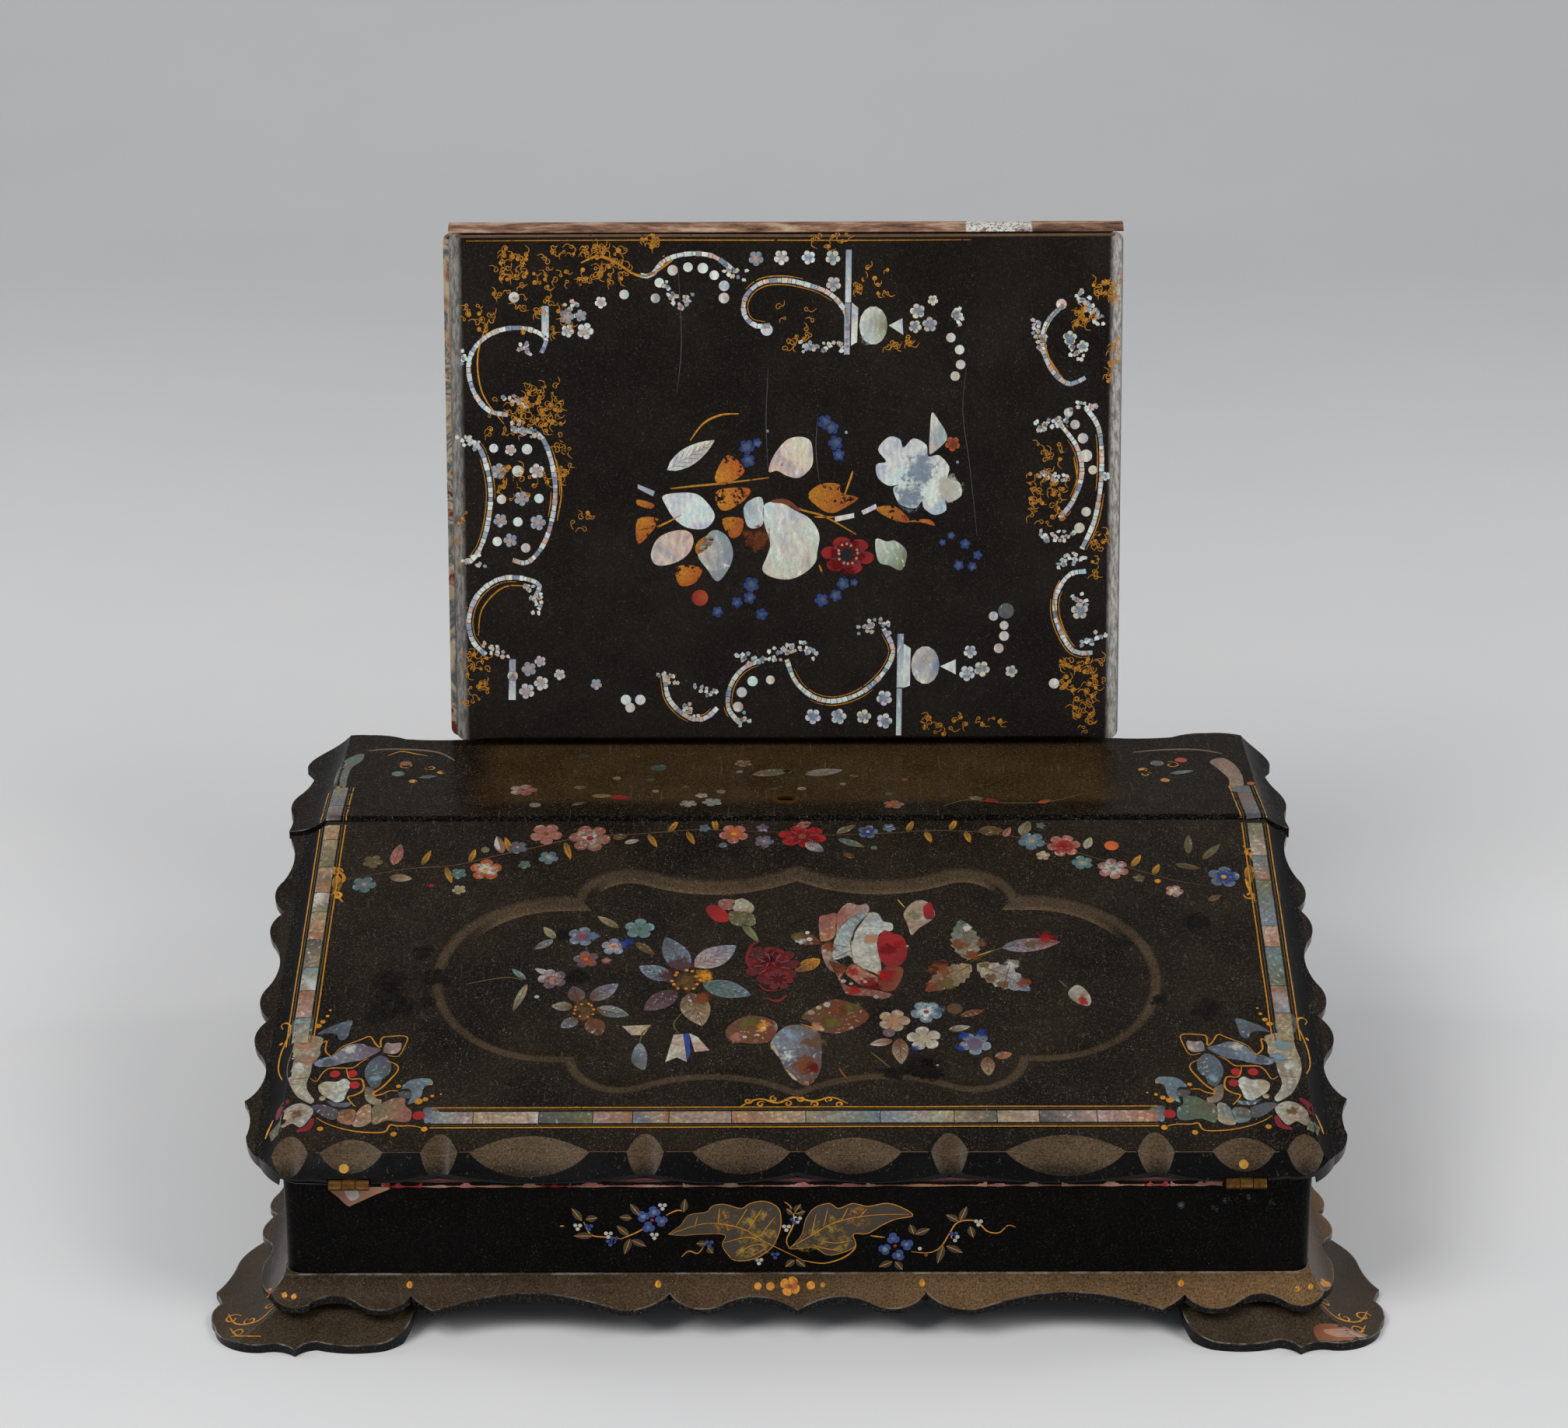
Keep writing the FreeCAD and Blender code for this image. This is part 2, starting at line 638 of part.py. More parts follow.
def lock_staple():
    back = divider_front - 0.5
    plate = box(LOCK_X - 9, LOCK_X + 9, back - STAPLE_THICK, back, flat_top - LOCK_DEEP + 0.6, flap_top)
    plate = plate.common(below_lid(-1.0))
    return plate.fuse(staple_flange(0.0)).cut(bolt_mouth(back - 10, back + 5))


# ---------------------------------------------------------------------------
# Inside: divider, writing board, ink tray, pen tray and inkwells
# ---------------------------------------------------------------------------
def compartment_divider():
    """Board under the lid joint; the paper store runs on below it, under the ink tray."""
    wall = box(-inner_x, inner_x, divider_front, divider_back, TRAY_BOTTOM - BEARER, flap_top)
    return wall.common(below_lid(LID_GAP)).cut(bolt_mouth(divider_front - 1, divider_back + 1))


def board_runners():
    """Two strips on the side walls that carry the writing board."""
    under = -BOARD_DOWN - PAD_THICK - BOARD_THICK - 0.3
    strip = box(inner_x - RUNNER_WIDE, inner_x, 11, board_end - 1, under - RUNNER_DEEP, under)
    return one([on_slope(strip), on_slope(strip).mirror(V(0, 0, 0), V(1, 0, 0))])


def writing_board():
    top = -BOARD_DOWN - PAD_THICK
    x = inner_x - 0.6
    return on_slope(box(-x, x, BOARD_START, board_end, top - BOARD_THICK, top))


def board_velvet():
    x = inner_x - 0.8
    return on_slope(box(-x, x, BOARD_START + 0.1, board_end - 0.2,
                        -BOARD_DOWN - PAD_THICK, -BOARD_DOWN))


def tray_bearers():
    top = TRAY_BOTTOM
    near = box(-inner_x, inner_x, divider_back, divider_back + BEARER, top - BEARER, top)
    back = CASE_DEPTH - WALL
    far = box(-inner_x + 2.2, inner_x - 2.2, back - BEARER, back, top - BEARER, top)
    return one([near, far])


def ink_cell_centre():
    """X and Y of the right-hand inkwell."""
    x = inner_x - 0.5 - TRAY_WALL - INK_CELL / 2
    y = divider_back + 0.8 + TRAY_WALL + INK_CELL / 2
    return x, y


def ink_tray():
    x = inner_x - 0.5
    y0 = divider_back + 0.8
    y1 = CASE_DEPTH - WALL - 0.8
    t = TRAY_WALL
    tray = box(-x, x, y0, y1, TRAY_BOTTOM, tray_top)
    floor = TRAY_BOTTOM + t
    part_x = x - t - INK_CELL
    tray = tray.cut(box(-part_x + t, part_x - t, y0 + t, y1 - t, floor, tray_top + 1))
    cell_back = y0 + t + INK_CELL
    for side in (-1, 1):
        near = min(side * part_x, side * (x - t))
        far = max(side * part_x, side * (x - t))
        tray = tray.cut(box(near, far, y0 + t, cell_back, floor, tray_top + 1))
        tray = tray.cut(box(near, far, cell_back + t, y1 - t, floor + 14, tray_top + 1))
        tray = tray.cut(box(near, far, cell_back - 1, y1 - t, tray_top - 12, tray_top + 1))
    return tray


def pen_tray():
    """Long block with a sloping-sided trough for the pens."""
    x = inner_x - 0.5 - 2 * TRAY_WALL - INK_CELL - 0.3
    y0 = divider_back + 0.8 + TRAY_WALL + 0.3
    y1 = CASE_DEPTH - WALL - 0.8 - TRAY_WALL - 0.3
    top = tray_top - 2
    block = box(-x, x, y0, y1, TRAY_BOTTOM + TRAY_WALL, top)
    floor = top - PEN_TROUGH_DEEP
    side = PEN_TROUGH_SIDE
    trough = across([
        (y0 + 6, top + 1), (y0 + 6, top), (y0 + 6 + side, floor), (y1 - 6 - side, floor),
        (y1 - 6, top), (y1 - 6, top + 1),
    ], -x + 8, x - 8)
    return block.cut(trough)


def octagon(side, corner):
    """Square outline with cut corners, centred on the origin."""
    h = side / 2
    c = h - corner
    return [(c, -h), (h, -c), (h, c), (c, h), (-c, h), (-h, c), (-h, -c), (-c, -h)]


def square(side, z0, z1, corner):
    """Upright block on that outline."""
    return upright(octagon(side, corner), z0, z1)


def inkwell_bottle():
    """Square glass bottle with cut corners and a round well for the ink."""
    body = square(BOTTLE, 0, BOTTLE_TALL, 3.0)
    body = body.fuse(square(NECK, BOTTLE_TALL, BOTTLE_TALL + NECK_TALL, 2.0))
    return body.cut(Part.makeCylinder(INK_BORE_R, BOTTLE_TALL + 10, V(0, 0, 4)))


def cap_axis():
    """Y and Z of the cap hinge, from the foot of the bottle."""
    return COLLAR / 2 + 1.6, BOTTLE_TALL + NECK_TALL + 0.7


def inkwell_collar():
    """Square brass collar with two knuckles and the pin of the cap."""
    z0 = BOTTLE_TALL
    z1 = BOTTLE_TALL + NECK_TALL + 0.3
    y, z = cap_axis()
    r = CAP_KNUCKLE_R
    ring = square(COLLAR, z0, z1, 2.5)
    lug = box(-4.6, 4.6, COLLAR / 2 - 0.5, y, z0 + 2, z1)
    gap = box(-1.7, 1.7, y - 1.8, y + 3, z - 1.7, z + 3)
    body = ring.fuse(lug).cut(gap)
    for x0, x1 in ((-4.6, -1.7), (1.7, 4.6)):
        body = body.fuse(rod(r, x0, x1, y, z))
    body = body.fuse(rod(0.6, -1.7, 1.7, y, z))
    return body.cut(square(NECK, z0 - 1, z1 + 1, 2.0))


def inkwell_cap():
    """Square brass cap with sloping top and one knuckle at the back."""
    z0 = BOTTLE_TALL + NECK_TALL + 0.6
    y, z = cap_axis()
    r = CAP_KNUCKLE_R
    half = COLLAR / 2
    slant = [(-half, z0), (half, z0), (half, z0 + 2.0), (0.6 * half, z0 + CAP_TALL),
             (-0.6 * half, z0 + CAP_TALL), (-half, z0 + 2.0)]
    body = square(COLLAR, z0, z0 + CAP_TALL, 2.5)
    body = body.common(across(slant, -half, half)).common(along(slant, -half, half))
    tongue = box(-1.5, 1.5, half - 0.5, y, z0, z0 + 1.2)
    body = body.fuse(tongue).fuse(rod(r, -1.5, 1.5, y, z))
    return body.cut(rod(0.6 + FIT, -6, 6, y, z))


def inkwells():
    x, y = ink_cell_centre()
    z = TRAY_BOTTOM + TRAY_WALL
    nodes = {}
    for side, word in ((-1, "left"), (1, "right")):
        nodes["inkwell_bottle_" + word] = shifted(inkwell_bottle(), side * x, y, z)
        nodes["inkwell_collar_" + word] = shifted(inkwell_collar(), side * x, y, z)
        nodes["inkwell_cap_" + word] = shifted(inkwell_cap(), side * x, y, z)
    return nodes


# ---------------------------------------------------------------------------
# Blotter folio that stands on the rear flap and leans back
# ---------------------------------------------------------------------------
def on_stand(shape):
    """From the folio's own frame (front face at y = 0, foot at z = 0) to its place."""
    moved = shape.copy()
    moved.translate(V(0, -folio_thick, 0))
    moved.rotate(V(0, 0, 0), V(1, 0, 0), -FOLIO_LEAN)
    moved.translate(V(-FOLIO_ASIDE, CASE_DEPTH + FOLIO_BEHIND, flap_top + LID_GAP))
    return moved


def folio_board():
    """Papier-mache cover, outer face at y = 0: rounded corners, sides that fall away in a long curve."""
    half = FOLIO_WIDE / 2
    flat = half - FOLIO_PILLOW
    bend = half - FOLIO_PILLOW / 2
    low = FOLIO_FALL / 4
    outline = [
        (flat, 0), (bend, low, 'arc'), (half - 0.6, FOLIO_FALL), (half, FOLIO_FALL + 0.6),
        (half, FOLIO_COVER), (-half, FOLIO_COVER), (-half, FOLIO_FALL + 0.6),
        (0.6 - half, FOLIO_FALL), (-bend, low, 'arc'), (-flat, 0),
    ]
    board = upright(outline, 0, FOLIO_TALL)
    side = across([
        (1.0, 0), (FOLIO_COVER, 0), (FOLIO_COVER, FOLIO_TALL), (1.0, FOLIO_TALL),
        (0.3, FOLIO_TALL - 0.4, 'arc'), (0, FOLIO_TALL - 1.2), (0, 1.2), (0.3, 0.4, 'arc'),
    ], -half, half)
    block = box(-half, half, 0, FOLIO_COVER, 0, FOLIO_TALL)
    corners = [e for e in block.Edges if abs(e.tangentAt(e.FirstParameter).y) > 0.9]
    return board.common(side).common(block.makeFillet(3.5, corners))


def folio_front_cover():
    return on_stand(folio_board())


def folio_back_cover():
    turned = folio_board().mirror(V(0, 0, 0), V(0, 1, 0))
    return on_stand(shifted(turned, -FOLIO_SHIFT, folio_thick, 0))


def blotting_leaves():
    half = FOLIO_WIDE / 2 - 3.5
    y0 = FOLIO_COVER + FOLIO_GAP
    return on_stand(box(-half, half, y0, y0 + FOLIO_LEAVES, 3, FOLIO_TALL - 3))


def folio_spine():
    """Leather back of the folio: a low roll over the top, with a tongue down to the leaves."""
    z = FOLIO_TALL + 0.3
    y0 = 0.5
    half = FOLIO_WIDE / 2
    roll = across([(y0, z), (folio_thick / 2, z + SPINE_BULGE, 'arc'), (folio_thick, z)],
                  -half, half)
    leaves = FOLIO_COVER + FOLIO_GAP
    tongue = box(-half + 4, half - 4, leaves + 0.4, leaves + FOLIO_LEAVES - 0.4, z - 3.0, z + 0.5)
    return on_stand(roll.fuse(tongue))


# ---------------------------------------------------------------------------
# All nodes
# ---------------------------------------------------------------------------
def all_nodes():
    fixed, moving = butt_hinge()
    nodes = {
        "case_shell": case_shell(),
        "base_skirt": base_skirt(),
        "front_lining": front_lining(),
        "compartment_divider": compartment_divider(),
        "board_runners": board_runners(),
        "tray_bearers": tray_bearers(),
        "ink_tray": ink_tray(),
        "pen_tray": pen_tray(),
        "front_hinge_case_plates": one(front_pair(fixed)),
        "front_hinge_leaf_plates": one(front_pair(moving)),
        "rear_hinge_case_plates": one(rear_pair(fixed)),
        "rear_hinge_flap_plates": one(rear_pair(moving)),
        "slope_leaf": slope_leaf(),
        "leaf_velvet": leaf_velvet(),
        "lock_staple": lock_staple(),
        "rear_flap": rear_flap(),
        "escutcheon": escutcheon(),
        "lock_case": lock_case(),
        "lock_bolt": lock_bolt(),
        "writing_board": writing_board(),
        "board_velvet": board_velvet(),
        "folio_front_cover": folio_front_cover(),
        "folio_back_cover": folio_back_cover(),
        "blotting_leaves": blotting_leaves(),
        "folio_spine": folio_spine(),
    }
    nodes.update(feet())
    nodes.update(inkwells())
    return nodes


nodes = all_nodes()
extent = Part.makeCompound(list(nodes.values())).BoundBox
middle_y = (extent.YMin + extent.YMax) / 2
os.makedirs("parts", exist_ok=True)
for name, shape in nodes.items():
    shape.translate(V(0, -middle_y, 0))
    shape.exportStep("parts/" + name + ".step")
print("nodes", len(nodes), "shift back", round(middle_y, 3))
print("size", round(extent.XLength, 2), round(extent.YLength, 2), round(extent.ZLength, 2))
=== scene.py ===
from math import sin, cos, radians, pi, hypot
import random
import bpy
from mathutils import Vector, Matrix
from mathutils.bvhtree import BVHTree
from mathutils.geometry import tessellate_polygon


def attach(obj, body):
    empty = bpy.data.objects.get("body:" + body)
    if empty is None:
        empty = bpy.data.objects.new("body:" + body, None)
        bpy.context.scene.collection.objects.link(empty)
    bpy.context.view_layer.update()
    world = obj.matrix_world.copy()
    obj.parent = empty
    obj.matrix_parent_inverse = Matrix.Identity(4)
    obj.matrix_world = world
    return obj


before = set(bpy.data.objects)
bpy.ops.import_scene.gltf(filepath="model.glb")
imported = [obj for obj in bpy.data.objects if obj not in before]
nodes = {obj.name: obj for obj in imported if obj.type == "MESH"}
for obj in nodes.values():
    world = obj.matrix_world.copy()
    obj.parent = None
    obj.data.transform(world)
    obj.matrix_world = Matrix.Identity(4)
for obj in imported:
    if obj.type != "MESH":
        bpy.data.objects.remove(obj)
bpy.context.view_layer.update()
MM = 0.001
BACK = 143.391  # how far the building frame of the case lies behind the row frame, mm

# the camera, fitted to the photograph
PITCH, YAW, ROLL = radians(21.65), radians(-0.1), radians(-0.18)
EYE = (-0.0022, -1.2855, 0.6862)
LENS, FILM = 85.25, 36  # mm

# the paper sweep behind the object, m
SWEEP_FROM, SWEEP_RADIUS = 1.3, 1.2
SWEEP_STEPS = 24


# ---------------------------------------------------------------- camera, floor, light
def camera():
    """Pinhole camera where the photographer stood."""
    ahead = Vector((sin(YAW) * cos(PITCH), cos(YAW) * cos(PITCH), -sin(PITCH)))
    level = ahead.cross(Vector((0, 0, 1))).normalized()
    upright = level.cross(ahead)
    right = level * cos(ROLL) + upright * sin(ROLL)
    up = upright * cos(ROLL) - level * sin(ROLL)
    data = bpy.data.cameras.new("camera")
    data.sensor_width = FILM
    data.lens = LENS
    data.clip_end = 50
    cam = bpy.data.objects.new("camera", data)
    bpy.context.scene.collection.objects.link(cam)
    place = Matrix((right, up, -ahead)).transposed().to_4x4()
    place.translation = EYE
    cam.matrix_world = place
    bpy.context.scene.camera = cam


def lamp(name, place, target, size, power):
    """White rectangular lamp that looks at the target."""
    data = bpy.data.lights.new(name, "AREA")
    data.shape = "RECTANGLE"
    data.size, data.size_y = size
    data.energy = power
    o = bpy.data.objects.new(name, data)
    bpy.context.scene.collection.objects.link(o)
    o.location = place
    o.rotation_mode = "QUATERNION"
    o.rotation_quaternion = (Vector(target) - Vector(place)).to_track_quat("-Z", "Y")


class Nodes:
    """Short way to write a node material."""

    def __init__(self, name):
        self.mat = bpy.data.materials.new(name)
        self.mat.use_nodes = True
        self.tree = self.mat.node_tree
        self.bsdf = self.tree.nodes["Principled BSDF"]
        self._coord = None

    def new(self, kind, **props):
        n = self.tree.nodes.new("ShaderNode" + kind)
        for k, v in props.items():
            setattr(n, k, v)
        return n

    def put(self, socket, value):
        if isinstance(value, bpy.types.NodeSocket):
            self.tree.links.new(value, socket)
        elif isinstance(value, tuple) and len(value) == 3 and len(socket.default_value) == 4:
            socket.default_value = (*value, 1)
        else:
            socket.default_value = value

    def coord(self, kind="Object"):
        if self._coord is None:
            self._coord = self.new("TexCoord")
        return self._coord.outputs[kind]

    def math(self, op, a, b=0.0, clamp=False):
        n = self.new("Math", operation=op, use_clamp=clamp)
        self.put(n.inputs[0], a)
        self.put(n.inputs[1], b)
        return n.outputs[0]

    def mul(self, a, b, clamp=False):
        return self.math("MULTIPLY", a, b, clamp)

    def add(self, a, b):
        return self.math("ADD", a, b)

    def sub(self, a, b, clamp=False):
        return self.math("SUBTRACT", a, b, clamp)

    def larger(self, a, b):
        return self.math("MAXIMUM", a, b)

    def absolute(self, a):
        return self.math("ABSOLUTE", a)

    def axis(self, vector, which):
        n = self.new("SeparateXYZ")
        self.put(n.inputs[0], vector)
        return n.outputs[which]

    def dot(self, vector, direction):
        n = self.new("VectorMath", operation="DOT_PRODUCT")
        self.put(n.inputs[0], vector)
        n.inputs[1].default_value = direction
        return n.outputs["Value"]

    def noise(self, scale, detail=3.0, rough=0.55, vector=None, distort=0.0):
        n = self.new("TexNoise")
        self.put(n.inputs["Vector"], vector or self.coord())
        n.inputs["Scale"].default_value = scale
        n.inputs["Detail"].default_value = detail
        n.inputs["Roughness"].default_value = rough
        n.inputs["Distortion"].default_value = distort
        return n.outputs["Fac"]

    def spots(self, scale, low, high):
        n = self.new("TexVoronoi")
        self.put(n.inputs["Vector"], self.coord())
        n.inputs["Scale"].default_value = scale
        return self.step(n.outputs["Distance"], high, low)

    def stretched(self, scale):
        n = self.new("Mapping")
        self.put(n.inputs["Vector"], self.coord())
        n.inputs["Scale"].default_value = scale
        return n.outputs[0]

    def step(self, value, low, high, a=0.0, b=1.0):
        """Smooth change from a at low to b at high."""
        n = self.new("MapRange", interpolation_type="SMOOTHSTEP")
        self.put(n.inputs["Value"], value)
        flip = low > high
        n.inputs["From Min"].default_value = high if flip else low
        n.inputs["From Max"].default_value = low if flip else high
        n.inputs["To Min"].default_value = b if flip else a
        n.inputs["To Max"].default_value = a if flip else b
        return n.outputs["Result"]

    def mix(self, fac, a, b, blend="MIX"):
        n = self.new("Mix", data_type="RGBA", blend_type=blend)
        self.put(n.inputs[0], fac)
        self.put(n.inputs[6], a)
        self.put(n.inputs[7], b)
        return n.outputs[2]

    def ramp(self, fac, *stops):
        n = self.new("ValToRGB")
        self.put(n.inputs[0], fac)
        e = n.color_ramp.elements
        while len(e) < len(stops):
            e.new(0.5)
        for item, (place, colour) in zip(e, stops):
            item.position = place
            item.color = (*colour, 1)
        return n.outputs[0]

    def bump(self, height, strength, distance, normal=None):
        n = self.new("Bump")
        n.inputs["Strength"].default_value = strength
        n.inputs["Distance"].default_value = distance
        self.put(n.inputs["Height"], height)
        if normal is not None:
            self.put(n.inputs["Normal"], normal)
        return n.outputs[0]

    def surface(self, **sockets):
        for k, v in sockets.items():
            self.put(self.bsdf.inputs[k.replace("_", " ")], v)
        return self.mat


def rgb(r, g, b):
    """Colour as seen on a screen, 0 to 255, to the shader's own scale."""
    return tuple(((c / 255 + 0.055) / 1.055) ** 2.4 if c > 10 else c / 3294.6 for c in (r, g, b))


def dress(material, *names):
    """Gives the material to the CAD pieces of these names."""
    for name in names:
        mesh = nodes[name].data
        mesh.materials.clear()
        mesh.materials.append(material)


# ---------------------------------------------------------------- materials
SLOPE = radians(16.1)
SLOPE_UP = (0.0, -sin(SLOPE), cos(SLOPE))
LEAN = radians(12)  # the folio leans back by this much
FOLIO_IN = (0.0, cos(LEAN), -sin(LEAN))  # the way the inner face of its front cover looks
DUST = rgb(98, 84, 68)
BLACK = rgb(7, 6, 6)
HINGE_UP = 58.7  # height of the leaf's hinge line, mm
LEAF_THICK = 7.1  # mm
PLANE = (HINGE_UP * cos(SLOPE) + BACK * sin(SLOPE)) * MM  # the slope's own plane, measured along SLOPE_UP
LEAF_TOP = PLANE + LEAF_THICK * MM
FLAP_TOP = 118.88  # mm
INK_LEVEL = 0.080  # m
FOLIO_FOOT = (0, 251.11, 122.13)  # lower front edge of the folio's cover, mm
MIRROR = -2.2  # twice the x of the line between the two corner designs, mm
FLAP_FRONT = min(v.co.y for v in nodes["rear_flap"].data.vertices)
cover_x = [v.co.x for v in nodes["folio_front_cover"].data.vertices]
FOLIO_MID = -(max(cover_x) + min(cover_x)) / 2
FOLIO_HALF = (max(cover_x) - min(cover_x)) / 2


def lacquer(name, dust, film=DUST, gloss=0.16, shine=0.3, coat=0.1, specks=0.3, under=BLACK, wear_and_sheen=None,
            lined=None, clean=None):
    """Black varnish; dust(n) says where the brown film lies (on the leaf also painted light), and the edge
    function where the colour goes pale: rubbed varnish on the flap, painted highlight on other rims.

    lined: the way the paper-lined inner face looks; clean(n): 0 where no specks settle.
    """
    n = Nodes(name)
    cloud = n.noise(38, 4, 0.6)
    fine = n.noise(1500, 2, 0.7)
    cover = n.mul(dust(n), n.step(cloud, 0.25, 0.7, 0.6, 1.0))
    cover = n.mul(cover, n.step(fine, 0.34, 0.66, 0.45, 1.25), clamp=True)
    base = n.mix(n.step(cloud, 0.3, 0.8, 0.0, 0.6), under, tuple(c * 2.2 for c in under))
    colour = n.mix(cover, base, film)
    here = n.step(n.noise(120, 2), 0.42, 0.66, 0.15, 1.0)
    settled = clean(n) if clean else 1.0
    here = n.mul(here, settled)
    crumbs = n.larger(n.spots(520, 0.05, 0.14), n.mul(n.spots(1250, 0.08, 0.22), 0.6))
    crumbs = n.mul(n.mul(crumbs, here), specks * 1.6, clamp=True)
    grit = n.mul(n.step(n.noise(1150, 4, 0.75), 0.5, 0.78, 0.0, 0.55 * specks), settled)
    colour = n.mix(grit, colour, rgb(150, 138, 118))
    colour = n.mix(crumbs, colour, rgb(168, 154, 134))
    hair = n.noise(1, 2, 0.5, n.stretched((900, 40, 900)))
    scratch = n.step(hair, 0.66, 0.72)
    colour = n.mix(n.mul(scratch, 0.3 * specks), colour, rgb(140, 126, 108))
    rough = n.add(n.step(cloud, 0.3, 0.8, gloss, gloss + 0.14), n.mul(cover, 0.35))
    # pale edges: rubbed varnish on the flap's front edge, painted highlight on the rims of the skirt and
    # feet and along the folio's side edges
    if wear_and_sheen is not None:
        colour = n.mix(wear_and_sheen(n), colour, rgb(196, 192, 184))
    if lined is not None:
        inner = n.step(n.dot(n.coord("Normal"), lined), 0.9, 0.97)
        colour = n.mix(inner, colour, marbled(n))
        rough = n.larger(rough, n.mul(inner, 0.85))
    relief = n.add(n.mul(fine, 0.25), n.mul(scratch, -0.5))
    normal = n.bump(relief, 0.25, 0.0002, n.bump(n.noise(90, 2), 0.12, 0.0012))
    film_free = n.mul(n.sub(1.0, cover, clamp=True), coat)
    return n.surface(Base_Color=colour, Roughness=rough, IOR=1.42, Specular_IOR_Level=shine,
                     Normal=normal, Coat_Weight=film_free, Coat_Roughness=0.1, Coat_IOR=1.4)


def brass(name, dull):
    """Old brass; dull: how far its shine has browned."""
    n = Nodes(name)
    cloud = n.noise(420, 4, 0.65)
    colour = n.ramp(cloud, (0.25, rgb(70, 44, 18)), (0.5, rgb(158, 112, 48)), (0.75, rgb(206, 164, 84)))
    colour = n.mix(dull, colour, rgb(70, 46, 24))
    return n.surface(Base_Color=colour, Metallic=0.9, Roughness=n.step(cloud, 0.2, 0.8, 0.5, 0.28),
                     Normal=n.bump(n.noise(2200, 3), 0.25, 0.0002))


def velvet(name, colour, worn):
    """Red velvet, worn in patches."""
    n = Nodes(name)
    pile = n.noise(2600, 3, 0.7)
    patch = n.noise(45, 3)
    shade = n.mix(n.step(patch, 0.35, 0.7), colour, tuple(c * 0.55 for c in colour))
    shade = n.mix(n.mul(n.step(patch, 0.55, 0.72), worn), shade, rgb(176, 120, 104))
    colour = n.mix(n.step(pile, 0.3, 0.7, 0, 0.5), shade, rgb(40, 4, 6))
    return n.surface(Base_Color=colour, Roughness=0.95, Sheen_Weight=0.6, Sheen_Roughness=0.4,
                     Normal=n.bump(pile, 0.7, 0.0005))


def wood(name, dark, pale):
    """Polished hardwood with its grain along x."""
    n = Nodes(name)
    grain = n.noise(1, 5, 0.6, n.stretched((18, 420, 420)), distort=0.6)
    pores = n.noise(1, 2, 0.6, n.stretched((60, 2600, 2600)))
    colour = n.ramp(grain, (0.3, dark), (0.55, pale), (0.75, dark))
    colour = n.mix(n.step(pores, 0.6, 0.75, 0, 0.6), colour, tuple(c * 0.3 for c in dark))
    return n.surface(Base_Color=colour, Roughness=n.step(grain, 0.3, 0.7, 0.42, 0.6),
                     Normal=n.bump(n.add(grain, pores), 0.3, 0.0004))


def paper(name):
    """Block of blotting leaves: soft fibres and ink stains on the face, thin layers on the edges."""
    n = Nodes(name)
    layers = n.noise(1, 2, 0.6, n.stretched((20, 3800, 20)))
    fibres = n.noise(900, 4, 0.75)
    fox = n.noise(60, 3)
    face = n.step(n.absolute(n.dot(n.coord("Normal"), (0.0, -cos(LEAN), sin(LEAN)))), 0.7, 0.9)
    edge = n.mix(n.step(layers, 0.35, 0.65), rgb(196, 178, 150), rgb(132, 112, 88))
    sheet = n.mix(n.step(fibres, 0.35, 0.65), rgb(204, 170, 154), rgb(186, 148, 134))
    ink = n.mul(n.step(n.noise(34, 5, 0.7), 0.62, 0.66), 0.75)
    sheet = n.mix(ink, sheet, rgb(52, 52, 84))
    colour = n.mix(face, edge, sheet)
    colour = n.mix(n.step(fox, 0.55, 0.75, 0, 0.5), colour, rgb(120, 84, 52))
    return n.surface(Base_Color=colour, Roughness=0.9,
                     Normal=n.bump(n.mix(face, layers, fibres), 0.4, 0.0004))


def glass(name):
    """Clear bottle glass, dark below the level of the ink."""
    n = Nodes(name)
    ink = n.step(n.axis(n.coord(), 2), INK_LEVEL, INK_LEVEL + 0.003)
    tint = n.mix(ink, rgb(38, 44, 60), rgb(226, 236, 232))
    return n.surface(Base_Color=tint, Roughness=n.step(n.noise(300, 2), 0.3, 0.7, 0.04, 0.1),
                     Transmission_Weight=0.85, IOR=1.5, Normal=n.bump(n.noise(160, 2), 0.15, 0.0006))


def flat_dust(amount):
    """The same thin dust everywhere."""
    return lambda n: n.step(n.noise(14, 3), 0.3, 0.75, amount * 0.4, amount)


def up_dust(low, high, most):
    """Dust where the surface looks upwards."""
    return lambda n: n.step(n.axis(n.coord("Normal"), 2), low, high, 0.0, most)


